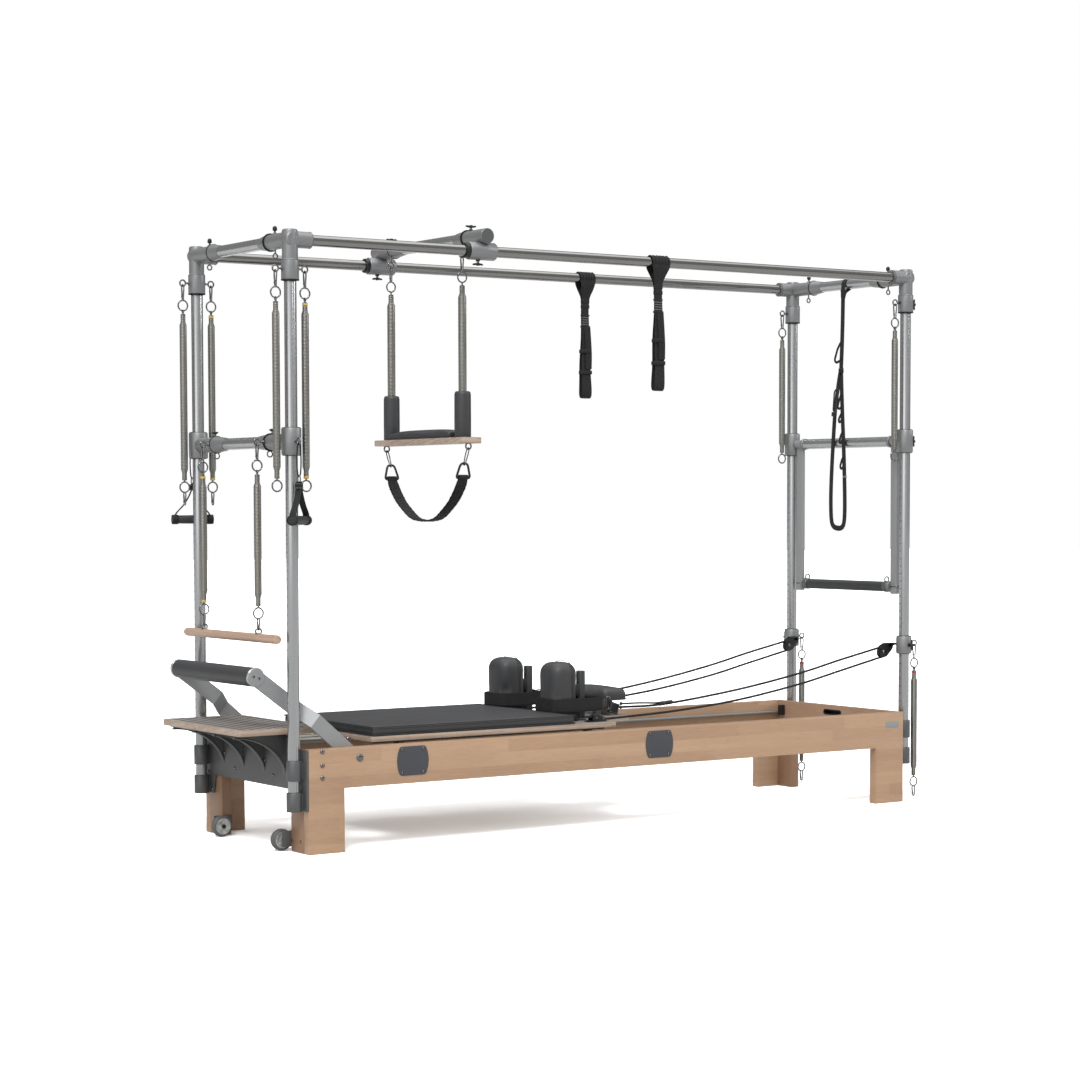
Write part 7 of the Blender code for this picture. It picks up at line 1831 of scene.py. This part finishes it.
def flat_strip(path, width, thickness):
    """A closed strip whose width lies in the plane of its own loop, as when seen edge on."""
    path = [Vector(p) for p in path]
    count = len(path)
    points, faces, flat = [], [], []
    travelled = [0.0]
    for i, place in enumerate(path):
        way = (path[(i + 1) % count] - path[i - 1]).normalized()
        out = way.cross(Vector((1, 0, 0))).normalized()
        travelled.append(travelled[-1] + (path[(i + 1) % count] - place).length)
        for t, h in ((-0.5, 0.25), (-0.42, 0.5), (0.42, 0.5), (0.5, 0.25), (0.5, -0.25), (0.42, -0.5),
                (-0.42, -0.5), (-0.5, -0.25)):
            points.append(tuple(place + out * t * width + Vector((1, 0, 0)) * h * thickness))
    across = (0, 0.001, width - 0.001, width, width, width - 0.001, 0.001, 0)
    for i in range(count):
        j = (i + 1) % count
        for k in range(8):
            m = (k + 1) % 8
            faces.append((i * 8 + k, j * 8 + k, j * 8 + m, i * 8 + m))
            flat.append([(across[k], travelled[i]), (across[k], travelled[i + 1]),
                (across[m], travelled[i + 1]), (across[m], travelled[i])])
    return points, faces, flat


# Studio

def studio():
    scene = bpy.context.scene
    camera = bpy.data.cameras.new("camera")
    camera.lens = 84.69
    camera.sensor_width = 36
    camera.shift_y = 0.0951
    camera.clip_start, camera.clip_end = 0.1, 100
    holder = bpy.data.objects.new("camera", camera)
    scene.collection.objects.link(holder)
    yaw, pitch, roll = math.radians(34.134), math.radians(-3.171), math.radians(-0.143)
    ahead = Vector((math.sin(yaw) * math.cos(pitch), math.cos(yaw) * math.cos(pitch), math.sin(pitch)))
    turn = ahead.to_track_quat("-Z", "Y").to_matrix().to_4x4() @ Matrix.Rotation(roll, 4, "Z")
    holder.matrix_world = Matrix.Translation((FOOT_X - 4.17, -7.94, 1.199)) @ turn
    scene.camera = holder
    floor = bpy.data.meshes.new("floor")
    size = 40
    floor.from_pydata([(-size, -size, -0.0005), (size, -size, -0.0005), (size, size, -0.0005),
        (-size, size, -0.0005)], [], [(0, 1, 2, 3)])
    ground = bpy.data.objects.new("floor", floor)
    scene.collection.objects.link(ground)
    look = bpy.data.materials.new("pale floor")
    look.use_nodes = True
    tree = look.node_tree
    shader = tree.nodes["Principled BSDF"]
    shader.inputs["Roughness"].default_value = 0.9
    shader.inputs["Specular IOR Level"].default_value = 0.0
    path = tree.nodes.new("ShaderNodeLightPath")
    speck = add(tree, "ShaderNodeTexNoise", {"Vector": add(tree, "ShaderNodeTexCoord").outputs["Object"],
        "Scale": 3.0})
    level = plus(tree, 0.8, times(tree, speck.outputs[0], 0.04))
    level = times(tree, level, plus(tree, 1.0, times(tree, path.outputs["Is Camera Ray"], 1.1)))
    grey = add(tree, "ShaderNodeCombineColor", {0: level, 1: level, 2: level})
    diffuse = add(tree, "ShaderNodeBsdfDiffuse", {"Color": grey.outputs[0], "Roughness": 0.5})
    tree.links.new(diffuse.outputs[0], tree.nodes["Material Output"].inputs["Surface"])
    tree.nodes.remove(shader)
    floor.materials.append(look)
    world = bpy.data.worlds.new("studio")
    scene.world = world
    world.use_nodes = True
    tree = world.node_tree
    tree.nodes.clear()
    out = tree.nodes.new("ShaderNodeOutputWorld")
    path = tree.nodes.new("ShaderNodeLightPath")
    seen = maths(tree, "MAXIMUM", path.outputs["Is Camera Ray"], path.outputs["Is Transmission Ray"])
    way = add(tree, "ShaderNodeTexCoord").outputs["Generated"]
    front = add(tree, "ShaderNodeVectorMath", {0: way, 1: (-0.62, -0.62, 0.48)},
        operation="DOT_PRODUCT").outputs["Value"]
    open_side = maths(tree, "POWER", plus(tree, times(tree, front, 0.5), 0.5, True), 1.6)
    strength = plus(tree, 0.1, times(tree, open_side, 1.15))
    height = add(tree, "ShaderNodeSeparateXYZ", {0: way}).outputs[2]
    ceiling = add(tree, "ShaderNodeMapRange", {"Value": height, "From Min": 0.64, "From Max": 0.82},
        interpolation_type="SMOOTHSTEP")
    left = add(tree, "ShaderNodeVectorMath", {0: way, 1: (-0.88, -0.47, 0.0)},
        operation="DOT_PRODUCT").outputs["Value"]
    window = add(tree, "ShaderNodeMapRange", {"Value": left, "From Min": 0.86, "From Max": 0.96},
        interpolation_type="SMOOTHSTEP")
    mirrored = plus(tree, 0.13, times(tree, open_side, 0.62))
    mirrored = plus(tree, mirrored, times(tree, ceiling.outputs[0], 1.9))
    mirrored = plus(tree, mirrored, times(tree, window.outputs[0], 1.3))
    glossy = minus(tree, path.outputs["Is Glossy Ray"], path.outputs["Is Camera Ray"], True)
    step = times(tree, glossy, minus(tree, mirrored, strength))
    strength = plus(tree, strength, step)
    dome_light = add(tree, "ShaderNodeBackground", {"Color": (1, 1, 1, 1), "Strength": strength})
    backdrop = add(tree, "ShaderNodeBackground", {"Color": (1, 1, 1, 1), "Strength": 1.0})
    both = add(tree, "ShaderNodeMixShader", {0: seen, 1: dome_light.outputs[0], 2: backdrop.outputs[0]})
    tree.links.new(both.outputs[0], out.inputs["Surface"])
    for name, aim, wide, strength in (("key", (0.55, 0.62, -0.9), 14, 1.35), ("side", (-0.85, 0.45, -0.42),
            9, 0.45)):
        light = bpy.data.lights.new(name, "SUN")
        light.angle = math.radians(wide)
        light.energy = strength
        lamp = bpy.data.objects.new(name, light)
        scene.collection.objects.link(lamp)
        lamp.matrix_world = Vector(aim).to_track_quat("-Z", "Y").to_matrix().to_4x4()
    scene.view_settings.view_transform = "Standard"


studio()
ropes()
side_frames()
end_board()
foot_end()
transport_wheels()
posts()
headers()
hanging_springs()
foot_crossbar()
handles()
head_crossbar()
pulleys()
carriage_deck()
carriage_pad()
shoulder_rests()
headrest()
strap_loops()
carriage_springs()
footbar()
trapeze_slider()
trapeze()
loop_straps()
long_strap()
